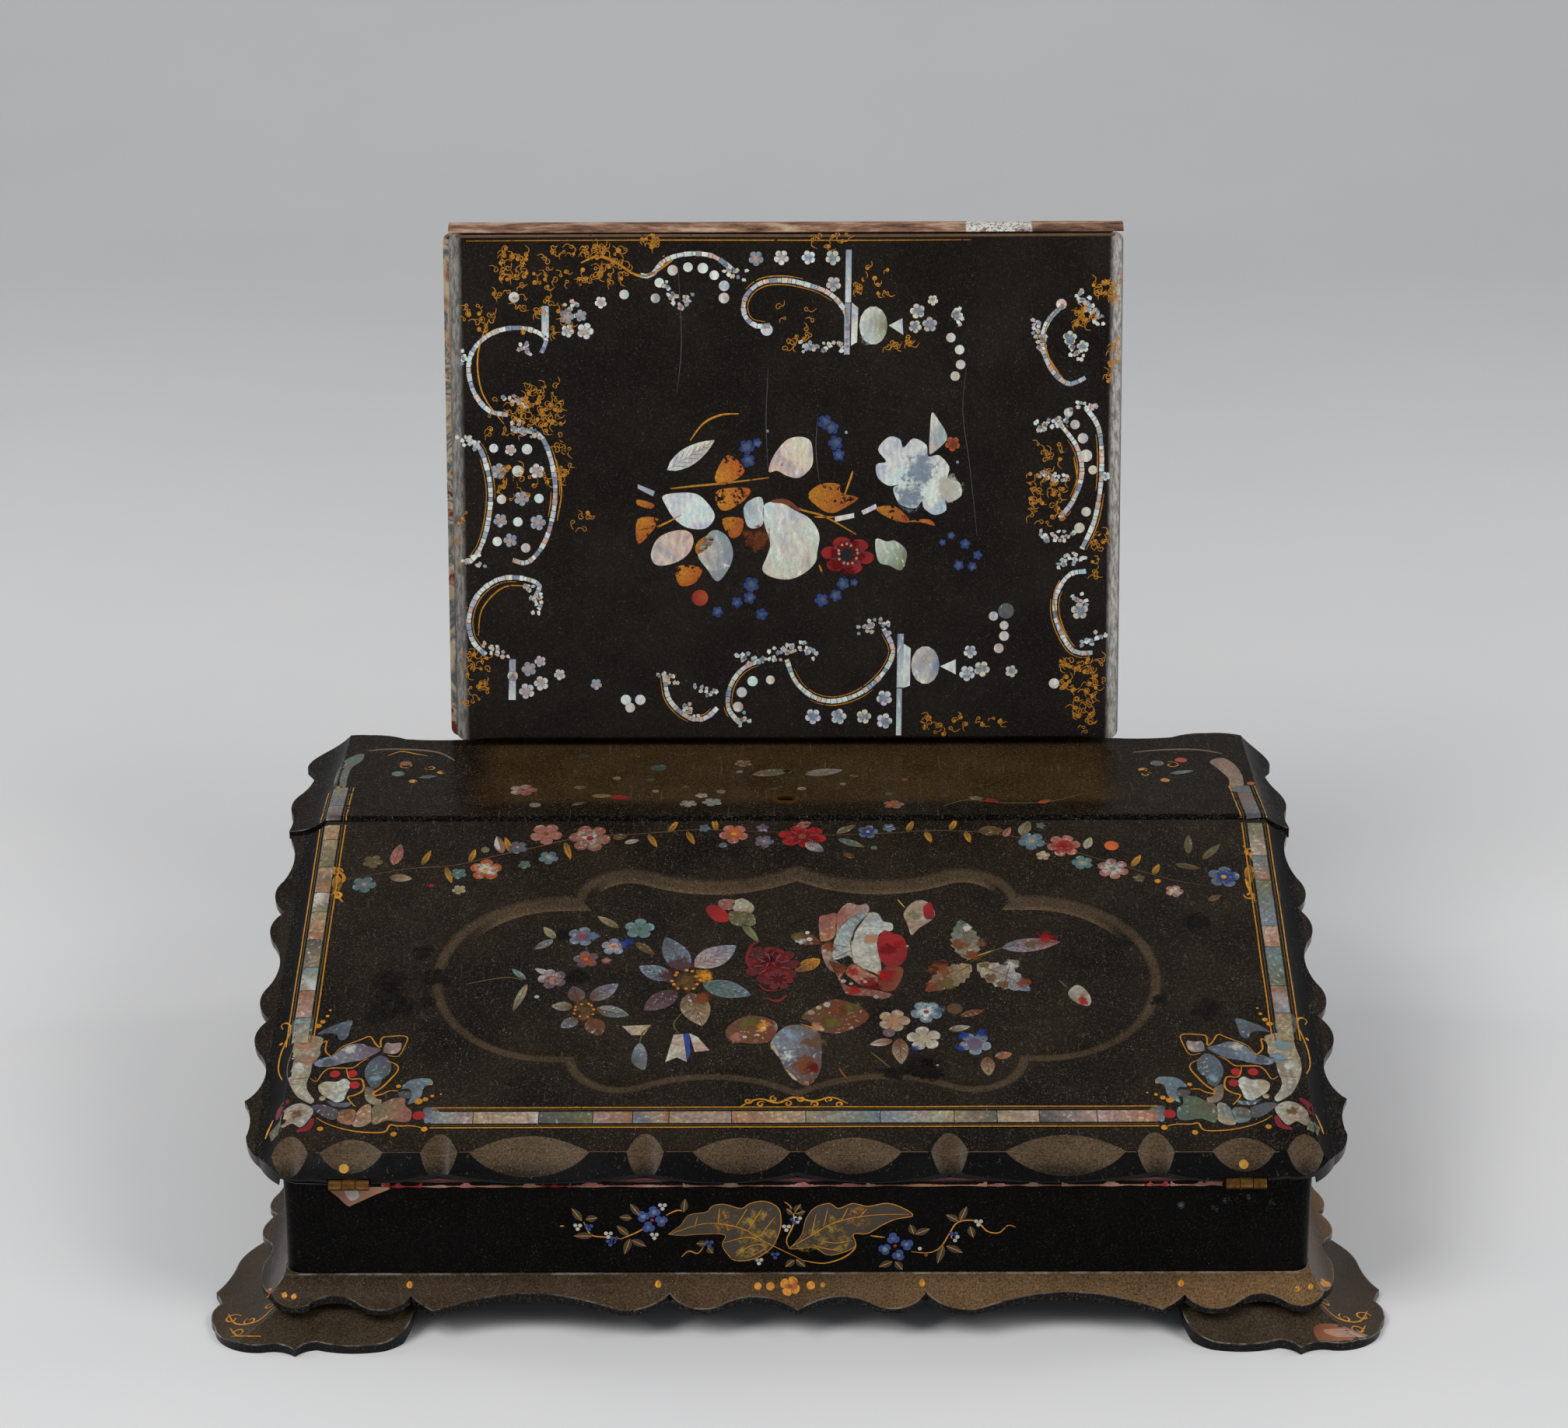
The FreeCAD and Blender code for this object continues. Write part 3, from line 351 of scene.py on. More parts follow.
def leaf_dust_and_light(n):
    """On the leaf: a brown dust film on the flat; on the cartouche bevel, painted highlight lines and dust;
    lens facets dusty and painted lit.
    """
    floor, foot, ridge, brow, rim = (PLANE + h for h in (0.0057, 0.0062, 0.0065, 0.0066, 0.0068))
    near = -0.127  # where the cartouche ends towards the front
    lean = n.dot(n.coord("Normal"), SLOPE_UP)
    ahead = n.axis(n.coord("Normal"), 1)
    height = n.dot(n.coord(), SLOPE_UP)
    x = n.absolute(n.axis(n.coord(), 0))
    y = n.axis(n.coord(), 1)
    tilt = n.math("SQRT", n.larger(n.sub(1.0, n.mul(lean, lean)), 0.0001))
    facing = n.math("DIVIDE", n.add(ahead, sin(SLOPE)), tilt)
    far_side = n.step(facing, -0.45, -0.85)
    # painted highlight: a thin bright line high on the bevel, on the near side and the ends
    line = n.mul(n.step(height, foot, ridge), n.step(height, LEAF_TOP, rim))
    # painted light: the far bevel, which faces the viewer, lit brightest at its inner edge
    lit_band = n.mul(n.step(height, floor, foot, 0.72, 0.36), n.step(height, LEAF_TOP, brow))
    raised = n.step(height, floor, floor + 0.00005)
    bevel = n.add(n.mul(n.sub(1.0, far_side), n.mul(line, 0.36)), n.mul(far_side, n.mul(lit_band, raised)))
    bevel = n.mul(bevel, n.step(x, 0.172, 0.168))
    bevel = n.mul(bevel, n.step(y, near, near + 0.003))
    # lens facets on the front edge: dust and painted light where they face forward, more film higher up
    lens = n.mul(n.step(ahead, -0.66, -0.62), n.step(ahead, -0.46, -0.50))
    lens = n.mul(lens, n.step(y, near, near - 0.0015))
    lens = n.mul(lens, n.step(height, PLANE + 0.0016, PLANE + 0.0046, 0.12, 0.66))
    flat = n.mul(n.step(lean, 0.95, 0.97), n.step(n.noise(22, 3), 0.3, 0.6, 0.03, 0.11))
    return n.add(n.larger(bevel, lens), flat)


def leaf_top(n):
    """The coved rims of the leaf stay clean and glossy."""
    return n.step(n.dot(n.coord("Normal"), SLOPE_UP), 0.9, 0.93, 0.15, 1.0)


def flap_dust(n):
    """On the flap: a browned field in the middle, where the folio has lain."""
    x = n.absolute(n.axis(n.coord(), 0))
    y = n.axis(n.coord(), 1)
    field = n.mul(n.step(x, 0.132, 0.116), n.step(y, 0.046, 0.056))
    top = n.step(n.axis(n.coord("Normal"), 2), 0.93, 0.995)
    return n.mul(top, n.add(n.mul(field, 0.24), 0.06))


def skirt_dust(n):
    """On the skirt: the ledge keeps more dust towards the right."""
    ledge = n.step(n.axis(n.coord("Normal"), 2), 0.15, 0.75, 0.0, 0.62)
    ends = n.step(n.absolute(n.axis(n.coord("Normal"), 0)), 0.25, 0.55, 1.0, 0.35)
    shelf = n.mul(ledge, ends)
    return n.mul(shelf, n.step(n.axis(n.coord(), 0), -0.12, 0.17, 0.4, 1.5))


def folio_edge_highlight(n):
    """Painted highlight: a soft streaked band of light just inside the two side edges of the cover."""
    off = n.absolute(n.add(n.axis(n.coord(), 0), FOLIO_MID))
    ridge = n.mul(n.step(off, FOLIO_HALF - 0.0056, FOLIO_HALF - 0.0028),
                  n.step(off, FOLIO_HALF, FOLIO_HALF - 0.0010))
    grain = n.step(n.noise(1, 3, 0.7, n.stretched((900, 900, 90))), 0.35, 0.65, 0.35, 1.0)
    # the painted highlight is brighter along the right edge
    right = n.step(n.axis(n.coord(), 0), -0.05, 0.05, 0.55, 1.0)
    return n.mul(n.mul(ridge, grain), right)


def rim_glint(n):
    """Painted highlight: light caught along the rounded upper rim of the scallops, broken where worn."""
    soft = n.new("Bevel", samples=4)
    soft.inputs["Radius"].default_value = 0.0009
    turn = n.new("VectorMath", operation="DOT_PRODUCT")
    n.put(turn.inputs[0], soft.outputs[0])
    n.put(turn.inputs[1], n.new("NewGeometry").outputs["True Normal"])
    rim = n.step(turn.outputs["Value"], 0.97, 0.84)
    rim = n.mul(rim, n.step(n.axis(soft.outputs[0], 2), 0.25, 0.55))
    return n.mul(rim, n.step(n.noise(130, 3, 0.7), 0.42, 0.62, 0.1, 0.85))


def flap_edge(n):
    """Rubbed pale along the front edge of the flap, where the joint is."""
    line = n.step(n.axis(n.coord(), 1), FLAP_FRONT + 0.0011, FLAP_FRONT + 0.0005)
    top = n.step(n.axis(n.coord("Normal"), 2), 0.93, 0.98)
    return n.mul(n.mul(line, top), n.step(n.noise(70, 3), 0.3, 0.6, 0.15, 0.6))


def marbled(n):
    """Marbled lining paper: veined rust, grey-blue and cream."""
    swirl = n.noise(26, 5, 0.6, distort=2.6)
    vein = n.noise(60, 3, 0.6, distort=3.0)
    colour = n.ramp(swirl, (0.36, rgb(122, 52, 38)), (0.44, rgb(196, 174, 140)), (0.5, rgb(84, 96, 104)),
                    (0.58, rgb(204, 188, 158)), (0.66, rgb(70, 44, 34)))
    return n.mix(n.step(vein, 0.52, 0.62, 0.0, 0.6), colour, rgb(214, 204, 180))


def leather(name):
    """Torn spine leather: tan where worn, marbled paper where it has come away."""
    n = Nodes(name)
    cloud = n.noise(1, 4, 0.65, n.stretched((60, 260, 260)))
    hide = n.ramp(cloud, (0.32, rgb(58, 34, 24)), (0.5, rgb(140, 100, 76)), (0.66, rgb(192, 164, 138)))
    vein = n.noise(420, 3, 0.7, distort=2.0)
    marbled = n.ramp(vein, (0.4, rgb(96, 88, 80)), (0.5, rgb(214, 210, 200)), (0.7, rgb(232, 228, 220)))
    tear = n.absolute(n.sub(n.axis(n.coord(), 0), 0.081))  # distance from the middle of the tear, m
    bare = n.mul(n.step(tear, 0.0135, 0.0125), n.step(n.noise(150, 3), 0.34, 0.44))
    return n.surface(Base_Color=n.mix(bare, hide, marbled), Roughness=0.85,
                     Normal=n.bump(n.add(cloud, n.noise(1400, 3)), 0.6, 0.0006))


def pile(name):
    """Worn velvet squeezed out of the front joint."""
    n = Nodes(name)
    tint = n.new("Attribute", attribute_name="tint").outputs["Color"]
    hair = n.noise(2600, 3, 0.7)
    worn = n.step(n.noise(150, 3), 0.5, 0.66, 0.0, 0.7)
    colour = n.mix(n.step(hair, 0.3, 0.7, 0, 0.5), n.mix(worn, tint, rgb(190, 160, 146)), rgb(60, 10, 10))
    return n.surface(Base_Color=colour, Roughness=0.95, Sheen_Weight=0.4, Sheen_Roughness=0.4,
                     Normal=n.bump(hair, 0.7, 0.0005))


def cad_materials():
    """Dresses every CAD piece."""
    feet = [f"foot_{end}_{side}" for end in ("front", "rear") for side in ("left", "right")]
    dress(lacquer("lacquer_case", up_dust(0.3, 0.9, 0.3), gloss=0.2, shine=0.04, coat=0, specks=0.12),
          "case_shell")
    dress(lacquer("lacquer_skirt", skirt_dust, film=rgb(132, 100, 64), gloss=0.2, shine=0.2, coat=0,
                  specks=0.5, wear_and_sheen=rim_glint), "base_skirt")
    dress(lacquer("lacquer_feet", up_dust(0.3, 0.9, 0.5), film=rgb(100, 82, 60), gloss=0.2, shine=0.24,
                  coat=0, wear_and_sheen=rim_glint), *feet)
    dress(lacquer("lacquer_leaf", leaf_dust_and_light, film=rgb(114, 92, 66), shine=0.2, coat=0.04, specks=0.42,
                  clean=leaf_top), "slope_leaf")
    dress(lacquer("lacquer_flap", flap_dust, film=rgb(112, 84, 44), shine=0.03, coat=0, specks=0.45,
                  wear_and_sheen=flap_edge), "rear_flap")
    for side, name in ((1, "folio_front_cover"), (-1, "folio_back_cover")):
        dress(lacquer("lacquer_" + name, flat_dust(0.1), film=rgb(112, 86, 58), gloss=0.2, shine=0.26,
                      specks=0.2, wear_and_sheen=folio_edge_highlight, lined=tuple(side * c for c in FOLIO_IN)), name)
    dress(wood("lining_wood", rgb(66, 36, 20), rgb(112, 66, 36)), "compartment_divider",
          "board_runners", "tray_bearers", "ink_tray", "pen_tray", "writing_board")
    metal = brass("brass", 0.25)
    dress(brass("brass_dull", 0.6), "front_hinge_case_plates", "front_hinge_leaf_plates")
    dress(metal, "rear_hinge_case_plates", "rear_hinge_flap_plates", "lock_staple", "lock_case",
          "lock_bolt", "inkwell_collar_left", "inkwell_collar_right", "inkwell_cap_left",
          "inkwell_cap_right")
    dress(brass("brass_escutcheon", 0.45), "escutcheon")
    dress(velvet("velvet", rgb(150, 22, 30), 0.0), "leaf_velvet", "board_velvet")
    dress(velvet("velvet_edge", rgb(104, 24, 26), 0.8), "front_lining")
    dress(paper("leaves"), "blotting_leaves")
    dress(leather("spine_leather"), "folio_spine")
    dress(glass("glass"), "inkwell_bottle_left", "inkwell_bottle_right")


def sweep():
    """Pale paper that runs from the floor up behind the object."""
    n = Nodes("floor")
    n.surface(Base_Color=n.mix(n.noise(6, 2), rgb(226, 226, 226), rgb(233, 232, 231)), Roughness=0.8)
    n.bsdf.inputs["Specular IOR Level"].default_value = 0.1
    line = [(-5.0, 0.0)]
    for i in range(SWEEP_STEPS + 1):
        a = i / SWEEP_STEPS * pi / 2
        line.append((SWEEP_FROM + SWEEP_RADIUS * sin(a), SWEEP_RADIUS - SWEEP_RADIUS * cos(a)))
    line.append((SWEEP_FROM + SWEEP_RADIUS, 6.0))
    verts = [(x, y, z) for y, z in line for x in (-6, 6)]
    faces = [(2 * i, 2 * i + 1, 2 * i + 3, 2 * i + 2) for i in range(len(line) - 1)]
    mesh = bpy.data.meshes.new("floor")
    mesh.from_pydata(verts, [], faces)
    mesh.materials.append(n.mat)
    for p in mesh.polygons:
        p.use_smooth = True
    floor = bpy.data.objects.new("floor", mesh)
    bpy.context.scene.collection.objects.link(floor)


def set_stage():
    """Backdrop, sky and four lamps: a key from the left, a fill and two low strips for the edges."""
    sweep()
    world = bpy.data.worlds.new("world")
    bpy.context.scene.world = world
    world.use_nodes = True
    sky = world.node_tree.nodes["Background"]
    sky.inputs["Color"].default_value = (0.9, 0.93, 1.0, 1)
    sky.inputs["Strength"].default_value = 0.24
    for name, place, target, size, power in (
            ("key", (-1.3, -1.0, 1.9), (0, 0, 0.1), (1.2, 1.2), 27),
            ("fill", (1.5, -0.9, 1.5), (0, 0, 0.1), (1.0, 1.2), 16),
            ("left_strip", (-1.5, 0.3, 0.5), (0, 0.1, 0.2), (0.35, 1.2), 6),
            ("right_strip", (1.5, 0.3, 0.5), (0, 0.1, 0.2), (0.35, 1.2), 6)):
        lamp(name, place, target, size, power)


# ---------------------------------------------------------------- decoration
SHELL = ("pearl", "ice", "white", "steel", "blush")
TINT = {
    "blue": (96, 118, 136), "sky": (124, 154, 164), "teal": (88, 126, 118), "mauve": (112, 92, 110),
    "rose": (170, 108, 96), "cream": (186, 168, 136), "white": (206, 202, 188), "brown": (108, 78, 48),
    "plum": (84, 54, 54), "green": (118, 124, 90), "slate": (84, 92, 96), "peach": (186, 132, 100),
    "olive": (104, 92, 46), "rust": (128, 66, 34), "pink": (190, 124, 112), "yellow": (196, 160, 70),
    "pearl": (206, 214, 220), "ice": (214, 224, 222), "steel": (140, 156, 176), "blush": (204, 178, 168),
    "red": (164, 22, 24), "crimson": (120, 16, 22), "orange": (196, 92, 34), "cobalt": (34, 60, 132),
    "gold": (226, 152, 44), "ink": (7, 6, 6), "moss": (54, 40, 10), "wine": (84, 12, 16),
}


def brushed(tint):
    """The layer of a brushed line or dot: gilding for gold, oil colour for the rest."""
    return "gold" if tint == "gold" else "paint"


def smooth(points, closed=False, steps=4):
    """Rounded line through the points."""
    n = len(points)
    out = []
    for i in range(n if closed else n - 1):
        ids = [(i + k) % n if closed else min(max(i + k, 0), n - 1) for k in (-1, 0, 1, 2)]
        a, b, c, d = (points[k] for k in ids)
        for s in range(steps):
            t = s / steps
            out.append(tuple(
                b[j] + 0.5 * t * (c[j] - a[j] + t * (2 * a[j] - 5 * b[j] + 4 * c[j] - d[j]
                                  + t * (3 * (b[j] - c[j]) + d[j] - a[j]))) for j in (0, 1)))
    return out if closed else out + [points[-1]]


# all in mm
RAY_START, RAY_LENGTH = 12, 50  # rays start above the panel and look for the solids below it
LIFT, LIFT_STEP = 0.05, 0.035  # height of level 0 above the lacquer, and of each level above the last
VEINED = 4.5  # wider leaves have side veins
CREASED = 2.5  # larger flowers have creased petals
TILE_WIDTH, HEAP_SIZE = 1.9, 4.2
BAND_HALF = 2.9  # half the width of the inlaid bands
BAND_TINTS = ("cream", "steel", "blush", "sky", "cream", "slate", "peach", "green")
FIRST_SEED = 149  # of the scattered gilt tendrils


class Panel:
    """A lacquered surface with its own flat coordinates in mm; motifs are laid down onto the solids."""

    def __init__(self, name, body, solids, origin, across, up, materials, cell=4.5):
        self.name, self.body, self.materials, self.cell = name, body, materials, cell
        self.mirror, self.swap = None, {}
        self.origin = Vector(origin) * MM - Vector((0, BACK * MM, 0))
        self.across, self.up = Vector(across), Vector(up)
        self.out = self.across.cross(self.up).normalized()
        verts, faces = [], []
        for solid in solids:
            mesh = nodes[solid].data
            start = len(verts)
            verts += [v.co.copy() for v in mesh.vertices]
            faces += [[start + k for k in p.vertices] for p in mesh.polygons]
        self.tree = BVHTree.FromPolygons(verts, faces)
        self.layers = {}
        self.dice = random.Random(name)

    def drop(self, p, level):
        """The point on the solids under p, lifted to the level of its layer; None beside them."""
        start = self.origin + (self.across * p[0] + self.up * p[1] + self.out * RAY_START) * MM
        hit = self.tree.ray_cast(start, -self.out, RAY_LENGTH * MM)
        if hit[0] is None:
            return None
        return hit[0] + self.out * (LIFT + LIFT_STEP * level) * MM

    def patch(self, layer, outline, tint, tint2=None, level=1, seed=None):
        """One closed piece; its colour runs from tint at the first point to tint2 at the far end."""
        verts, faces, tones = self.layers.setdefault(layer, ([], [], []))
        seed = self.dice.random() if seed is None else seed
        tint, tint2 = (self.swap.get(t, t) for t in (tint, tint2 or tint))
        a, b = rgb(*TINT[tint]), rgb(*TINT[tint2])
        if self.mirror is not None:
            outline = [(self.mirror - x, y) for x, y in outline]
        x0, y0 = outline[0]
        far = max(hypot(p[0] - x0, p[1] - y0) for p in outline) or 1.0
        tri = [tuple(outline[k] for k in t)
               for t in tessellate_polygon([[Vector((p[0], p[1], 0)) for p in outline]])]
        light = 0.86 + 0.28 * seed
        seen = {}
        while tri:
            t = tri.pop()
            sides = [(hypot(t[i][0] - t[i - 2][0], t[i][1] - t[i - 2][1]), i) for i in range(3)]
            longest, i = max(sides)
            if longest > self.cell:
                p, q, r = t[i], t[i - 2], t[i - 1]
                m = ((p[0] + q[0]) / 2, (p[1] + q[1]) / 2)
                tri += [(p, m, r), (m, q, r)]
                continue
            ids = []
            for p in t:
                if p not in seen:
                    place = self.drop(p, level)
                    if place is not None:
                        k = hypot(p[0] - x0, p[1] - y0) / far
                        tones.append([(u * (1 - k) + v * k) * light for u, v in zip(a, b)] + [seed])
                        verts.append(place)
                        place = len(verts) - 1
                    seen[p] = place
                ids.append(seen[p])
            if None not in ids and len(set(ids)) == 3:
                faces.append(ids)

    def poly(self, points, tint, tint2=None, layer="pearl", level=1):
        """Piece with straight sides."""
        self.patch(layer, points, tint, tint2, level)

    def blob(self, points, tint, tint2=None, layer="pearl", level=1):
        """Piece with a rounded outline through the points."""
        self.patch(layer, smooth(points, True), tint, tint2, level)

    def disc(self, x, y, r, tint, tint2=None, layer="pearl", level=1, squash=1.0):
        ring = [(x + r * cos(a * pi / 7), y + r * squash * sin(a * pi / 7)) for a in range(14)]
        self.patch(layer, ring, tint, tint2, level)

    def ribbon(self, points, width, tint, layer=None, level=1, taper=True):
        """Brushed line through the points, thinner at its ends unless taper is off."""
        line = smooth(points)
        seed = self.dice.random()
        last = len(line) - 1
        rows = []
        for i, (x, y) in enumerate(line):
            (ax, ay), (bx, by) = line[max(i - 1, 0)], line[min(i + 1, last)]
            run = hypot(bx - ax, by - ay) or 1.0
            half = width / 2 * (0.4 + 0.6 * sin(pi * i / last) if taper else 1.0)
            dx, dy = (by - ay) / run * half, (bx - ax) / run * half
            rows.append(((x - dx, y + dy), (x + dx, y - dy)))
        for (a, b), (c, d) in zip(rows, rows[1:]):
            self.patch(layer or brushed(tint), [a, b, d, c], tint, None, level, seed)

    def spot(self, x, y, r, tint, level=2, strength=0.8):
        """Soft touch of colour, thinning out to nothing at its edge."""
        r *= 1.2
        verts, faces, tones = self.layers.setdefault("glaze", ([], [], []))
        colour = rgb(*TINT[self.swap.get(tint, tint)])
        if self.mirror is not None:
            x = self.mirror - x
        turn = self.dice.uniform(0, 6)
        places = [(self.drop((x, y), level), strength)]
        for reach, fade in ((0.5, 0.62 * strength), (1.0, 0.0)):
            for k in range(12):
                q = r * reach * self.dice.uniform(0.8, 1.15)
                a = turn + k * pi / 6
                places.append((self.drop((x + q * cos(a), y + q * sin(a)), level), fade))
        if any(place is None for place, _ in places):
            return
        start = len(verts)
        verts += [place for place, _ in places]
        tones += [[*colour, fade] for _, fade in places]
        for k in range(12):
            a, b = 1 + k, 1 + (k + 1) % 12
            faces.append([start, start + a, start + b])
            faces.append([start + a, start + a + 12, start + b + 12, start + b])

    def ring(self, x, y, r, tint, count=10, level=4):
        """Circle of small painted dots, such as the stamens of a flower."""
        layer = brushed(tint)
        for k in range(count):
            a = 2 * pi * k / count + self.dice.uniform(-0.15, 0.15)
            q = r * self.dice.uniform(0.85, 1.1)
            self.disc(x + q * cos(a), y + q * sin(a), r * 0.11 + 0.12, tint, layer=layer, level=level)

    def berries(self, x, y, tint):
        """Three painted berries close together."""
        for k in range(3):
            a = 0.5 + 2.1 * k
            self.disc(x + 0.95 * cos(a), y + 0.95 * sin(a), 0.72, tint, layer="paint", level=2)

    def leaf(self, x0, y0, x1, y1, width, tint, tint2=None, layer="pearl", teeth=0, level=1):
        """Leaf from its stalk to its tip, in two halves with a dark midrib between."""
        dx, dy = x1 - x0, y1 - y0
        long = hypot(dx, dy) or 1.0
        nx, ny = -dy / long, dx / long
        steps = 3 * teeth if teeth else 8
        spine = [(x0 + dx * k / steps, y0 + dy * k / steps) for k in range(steps + 1)]
        for side in (1, -1):
            edge = []
            for k in range(1, steps):
                t = k / steps
                half = width / 2 * sin(pi * t ** 0.85) ** 0.8
                if teeth:
                    half *= 0.8 + 0.2 * ((k % 3) / 2)
                edge.append((spine[k][0] + side * nx * half, spine[k][1] + side * ny * half))
            rib = [(p[0] + side * nx * 0.07, p[1] + side * ny * 0.07) for p in spine]
            self.patch(layer, rib + edge[::-1], tint, tint2, level)
            if width <= VEINED:
                continue
            for k in range(1, steps - 1, max(1, steps // 5)):
                tip = edge[min(k + steps // 8, steps - 2)]
                foot = spine[k]
                end = (foot[0] + 0.8 * (tip[0] - foot[0]), foot[1] + 0.8 * (tip[1] - foot[1]))
                self.ribbon([foot, end], 0.14, "plum", "paint", level + 2)

    def flower(self, x, y, r, petals, tint, tint2=None, eye="gold", layer="pearl", level=1, squash=1.0):
        """Round flower cut from one piece, its colour deepening to the heart."""
        turn = self.dice.random() * 2
        n = petals * 8
        edge = []
        for k in range(n):
            a = 2 * pi * k / n
            size = r * (0.62 + 0.38 * abs(sin(petals * a / 2)) ** 0.5)
            edge.append((x + size * cos(a + turn), y + squash * size * sin(a + turn)))
        self.patch(layer, edge, tint, None, level)
        if tint2:
            self.spot(x, y, 0.72 * r, tint2, level + 1, 0.75)
        for k in range(petals if r > CREASED else 0):
            a = turn + 2 * pi * k / petals
            crease = [(x + q * r * cos(a), y + squash * q * r * sin(a)) for q in (0.3, 0.66)]
            self.ribbon(crease, 0.035 * r + 0.1, "slate", level=level + 2)
        if eye:
            self.disc(x, y, 0.16 * r + 0.1, eye, layer=brushed(eye), level=level + 3)

    def curl(self, x, y, r, turn=0.0, width=0.8):
        """Gilt tendril rolled up to either hand."""
        hand = 1 if self.dice.random() < 0.5 else -1
        line = []
        for k in range(10):
            q, a = r * (1 - 0.75 * k / 9), turn + hand * 0.75 * k
            line.append((x + q * cos(a), y + q * sin(a)))
        self.ribbon(line, width, "gold", "gold", 2)

    def scribble(self, x0, y0, x1, y1, count, seed):
        """Worn gilt tendrils scattered over a field."""
        d = random.Random(seed)
        for _ in range(count):
            x, y, a = d.uniform(x0, x1), d.uniform(y0, y1), d.uniform(0, 6)
            self.curl(x, y, d.uniform(0.6, 1.5), a, 0.32)
            if d.random() < 0.3:
                self.disc(x, y, d.uniform(0.4, 0.9), "gold", layer="gold")
            far = d.uniform(1.2, 2.4)
            self.ribbon([(x, y), (x + far * cos(a), y + far * sin(a)),
                         (x + 1.7 * far * cos(a + 0.6), y + 1.7 * far * sin(a + 0.6))], 0.3, "gold")

    def tiles(self, points, width):
        """Scroll of small shell tiles laid end to end, a thin gilt line beside it."""
        line = smooth(points, steps=12)
        run = [0.0]
        for (ax, ay), (bx, by) in zip(line, line[1:]):
            run.append(run[-1] + hypot(bx - ax, by - ay))

        def at(s, t):
            i = max(k for k in range(len(line) - 1) if run[k] <= max(s, 0))
            (ax, ay), (bx, by) = line[i], line[i + 1]
            step = run[i + 1] - run[i] or 1.0
            k = (s - run[i]) / step
            return (ax + (bx - ax) * k - (by - ay) / step * t, ay + (by - ay) * k + (bx - ax) / step * t)

        s, long = 0.0, run[-1]
        while s < long - 0.4:
            e = min(s + self.dice.uniform(1.4, 3.4), long)
            half = width / 2 * self.dice.uniform(0.85, 1.1)
            tint = self.dice.choice(("pearl", *SHELL))
            self.patch("pearl", [at(s + 0.1, -half), at(e - 0.1, -half * 0.95), at(e - 0.1, half * 0.95),
                                 at(s + 0.1, half)], tint)
            s = e
        for t in (width / 2 + 0.75, -width / 2 - 0.75):
            a, b = sorted(self.dice.uniform(0, long) for _ in range(2))
            rows = [at(a + (b - a) * k / 8, t) for k in range(9)]
            self.ribbon(rows, 0.4, "gold")

    def crush(self, points, size):
        """Heap of small broken shell chips along a line."""
        line = smooth(points, steps=8)
        gap = 9.0
        for (ax, ay), (bx, by) in zip(line, line[1:]):
            gap += hypot(bx - ax, by - ay)
            if gap < size * 0.3:
                continue
            gap = 0.0
            for _ in range(3):
                x = ax + self.dice.uniform(-0.5, 0.5) * size
                y = ay + self.dice.uniform(-0.5, 0.5) * size
                turn = self.dice.uniform(0, 6)
                chip = [(x + size * self.dice.uniform(0.13, 0.3) * cos(turn + k * 1.257),
                         y + size * self.dice.uniform(0.13, 0.3) * sin(turn + k * 1.257))
                        for k in range(5)]
                self.patch("pearl", chip, self.dice.choice(SHELL))

    def band(self, x0, y0, x1, y1):
        """Inlaid strip of short pearl lengths between gilt lines."""
        half = BAND_HALF
        long = hypot(x1 - x0, y1 - y0)
        ux, uy = (x1 - x0) / long, (y1 - y0) / long

        def at(s, t):
            return (x0 + ux * s - uy * t, y0 + uy * s + ux * t)

        cell, self.cell = self.cell, 1.6
        s = 0.0
        while s < long - 0.5:
            e = min(s + self.dice.uniform(11, 27), long)
            if long - e < 6:
                e = long
            a, b = self.dice.sample(BAND_TINTS, 2)
            self.patch("pearl", [at(s + 0.15, -half), at(e - 0.15, -half), at(e - 0.15, half),
                                 at(s + 0.15, half)], a, b, 5)
            s = e
        for side in (-1, 1):
            for t, width, tint in ((1.0, 0.3, "olive"), (2.1, 0.5, "gold")):
                t = side * (half + t)
                line = [at(long * k / 12, t + self.dice.uniform(-0.08, 0.08)) for k in range(13)]
                self.ribbon(line, width, tint, "gold", 6, False)
        self.cell = cell

    def done(self):
        """Makes one mesh of each layer and lets it ride on the body."""
        for layer, (verts, faces, tones) in self.layers.items():
            mesh = bpy.data.meshes.new(self.name + "_" + layer)
            mesh.from_pydata(verts, [], faces)
            tone = mesh.color_attributes.new("tint", "FLOAT_COLOR", "POINT")
            tone.data.foreach_set("color", [c for t in tones for c in t])
            mesh.materials.append(self.materials[layer])
            for p in mesh.polygons:
                p.use_smooth = True
            o = bpy.data.objects.new(mesh.name, mesh)
            bpy.context.scene.collection.objects.link(o)
            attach(o, self.body)


# ---------------------------------------------------------------- materials of the decoration
def tinted(n):
    """The colour of a piece, and its seed or its fading."""
    a = n.new("Attribute", attribute_name="tint")
    return a.outputs["Color"], a.outputs["Alpha"]


def dirt(n, colour, film):
    """Film of old dirt over a colour."""
    return n.mix(n.mul(n.step(n.noise(900, 3, 0.7), 0.42, 0.8), film), colour, rgb(92, 78, 60))


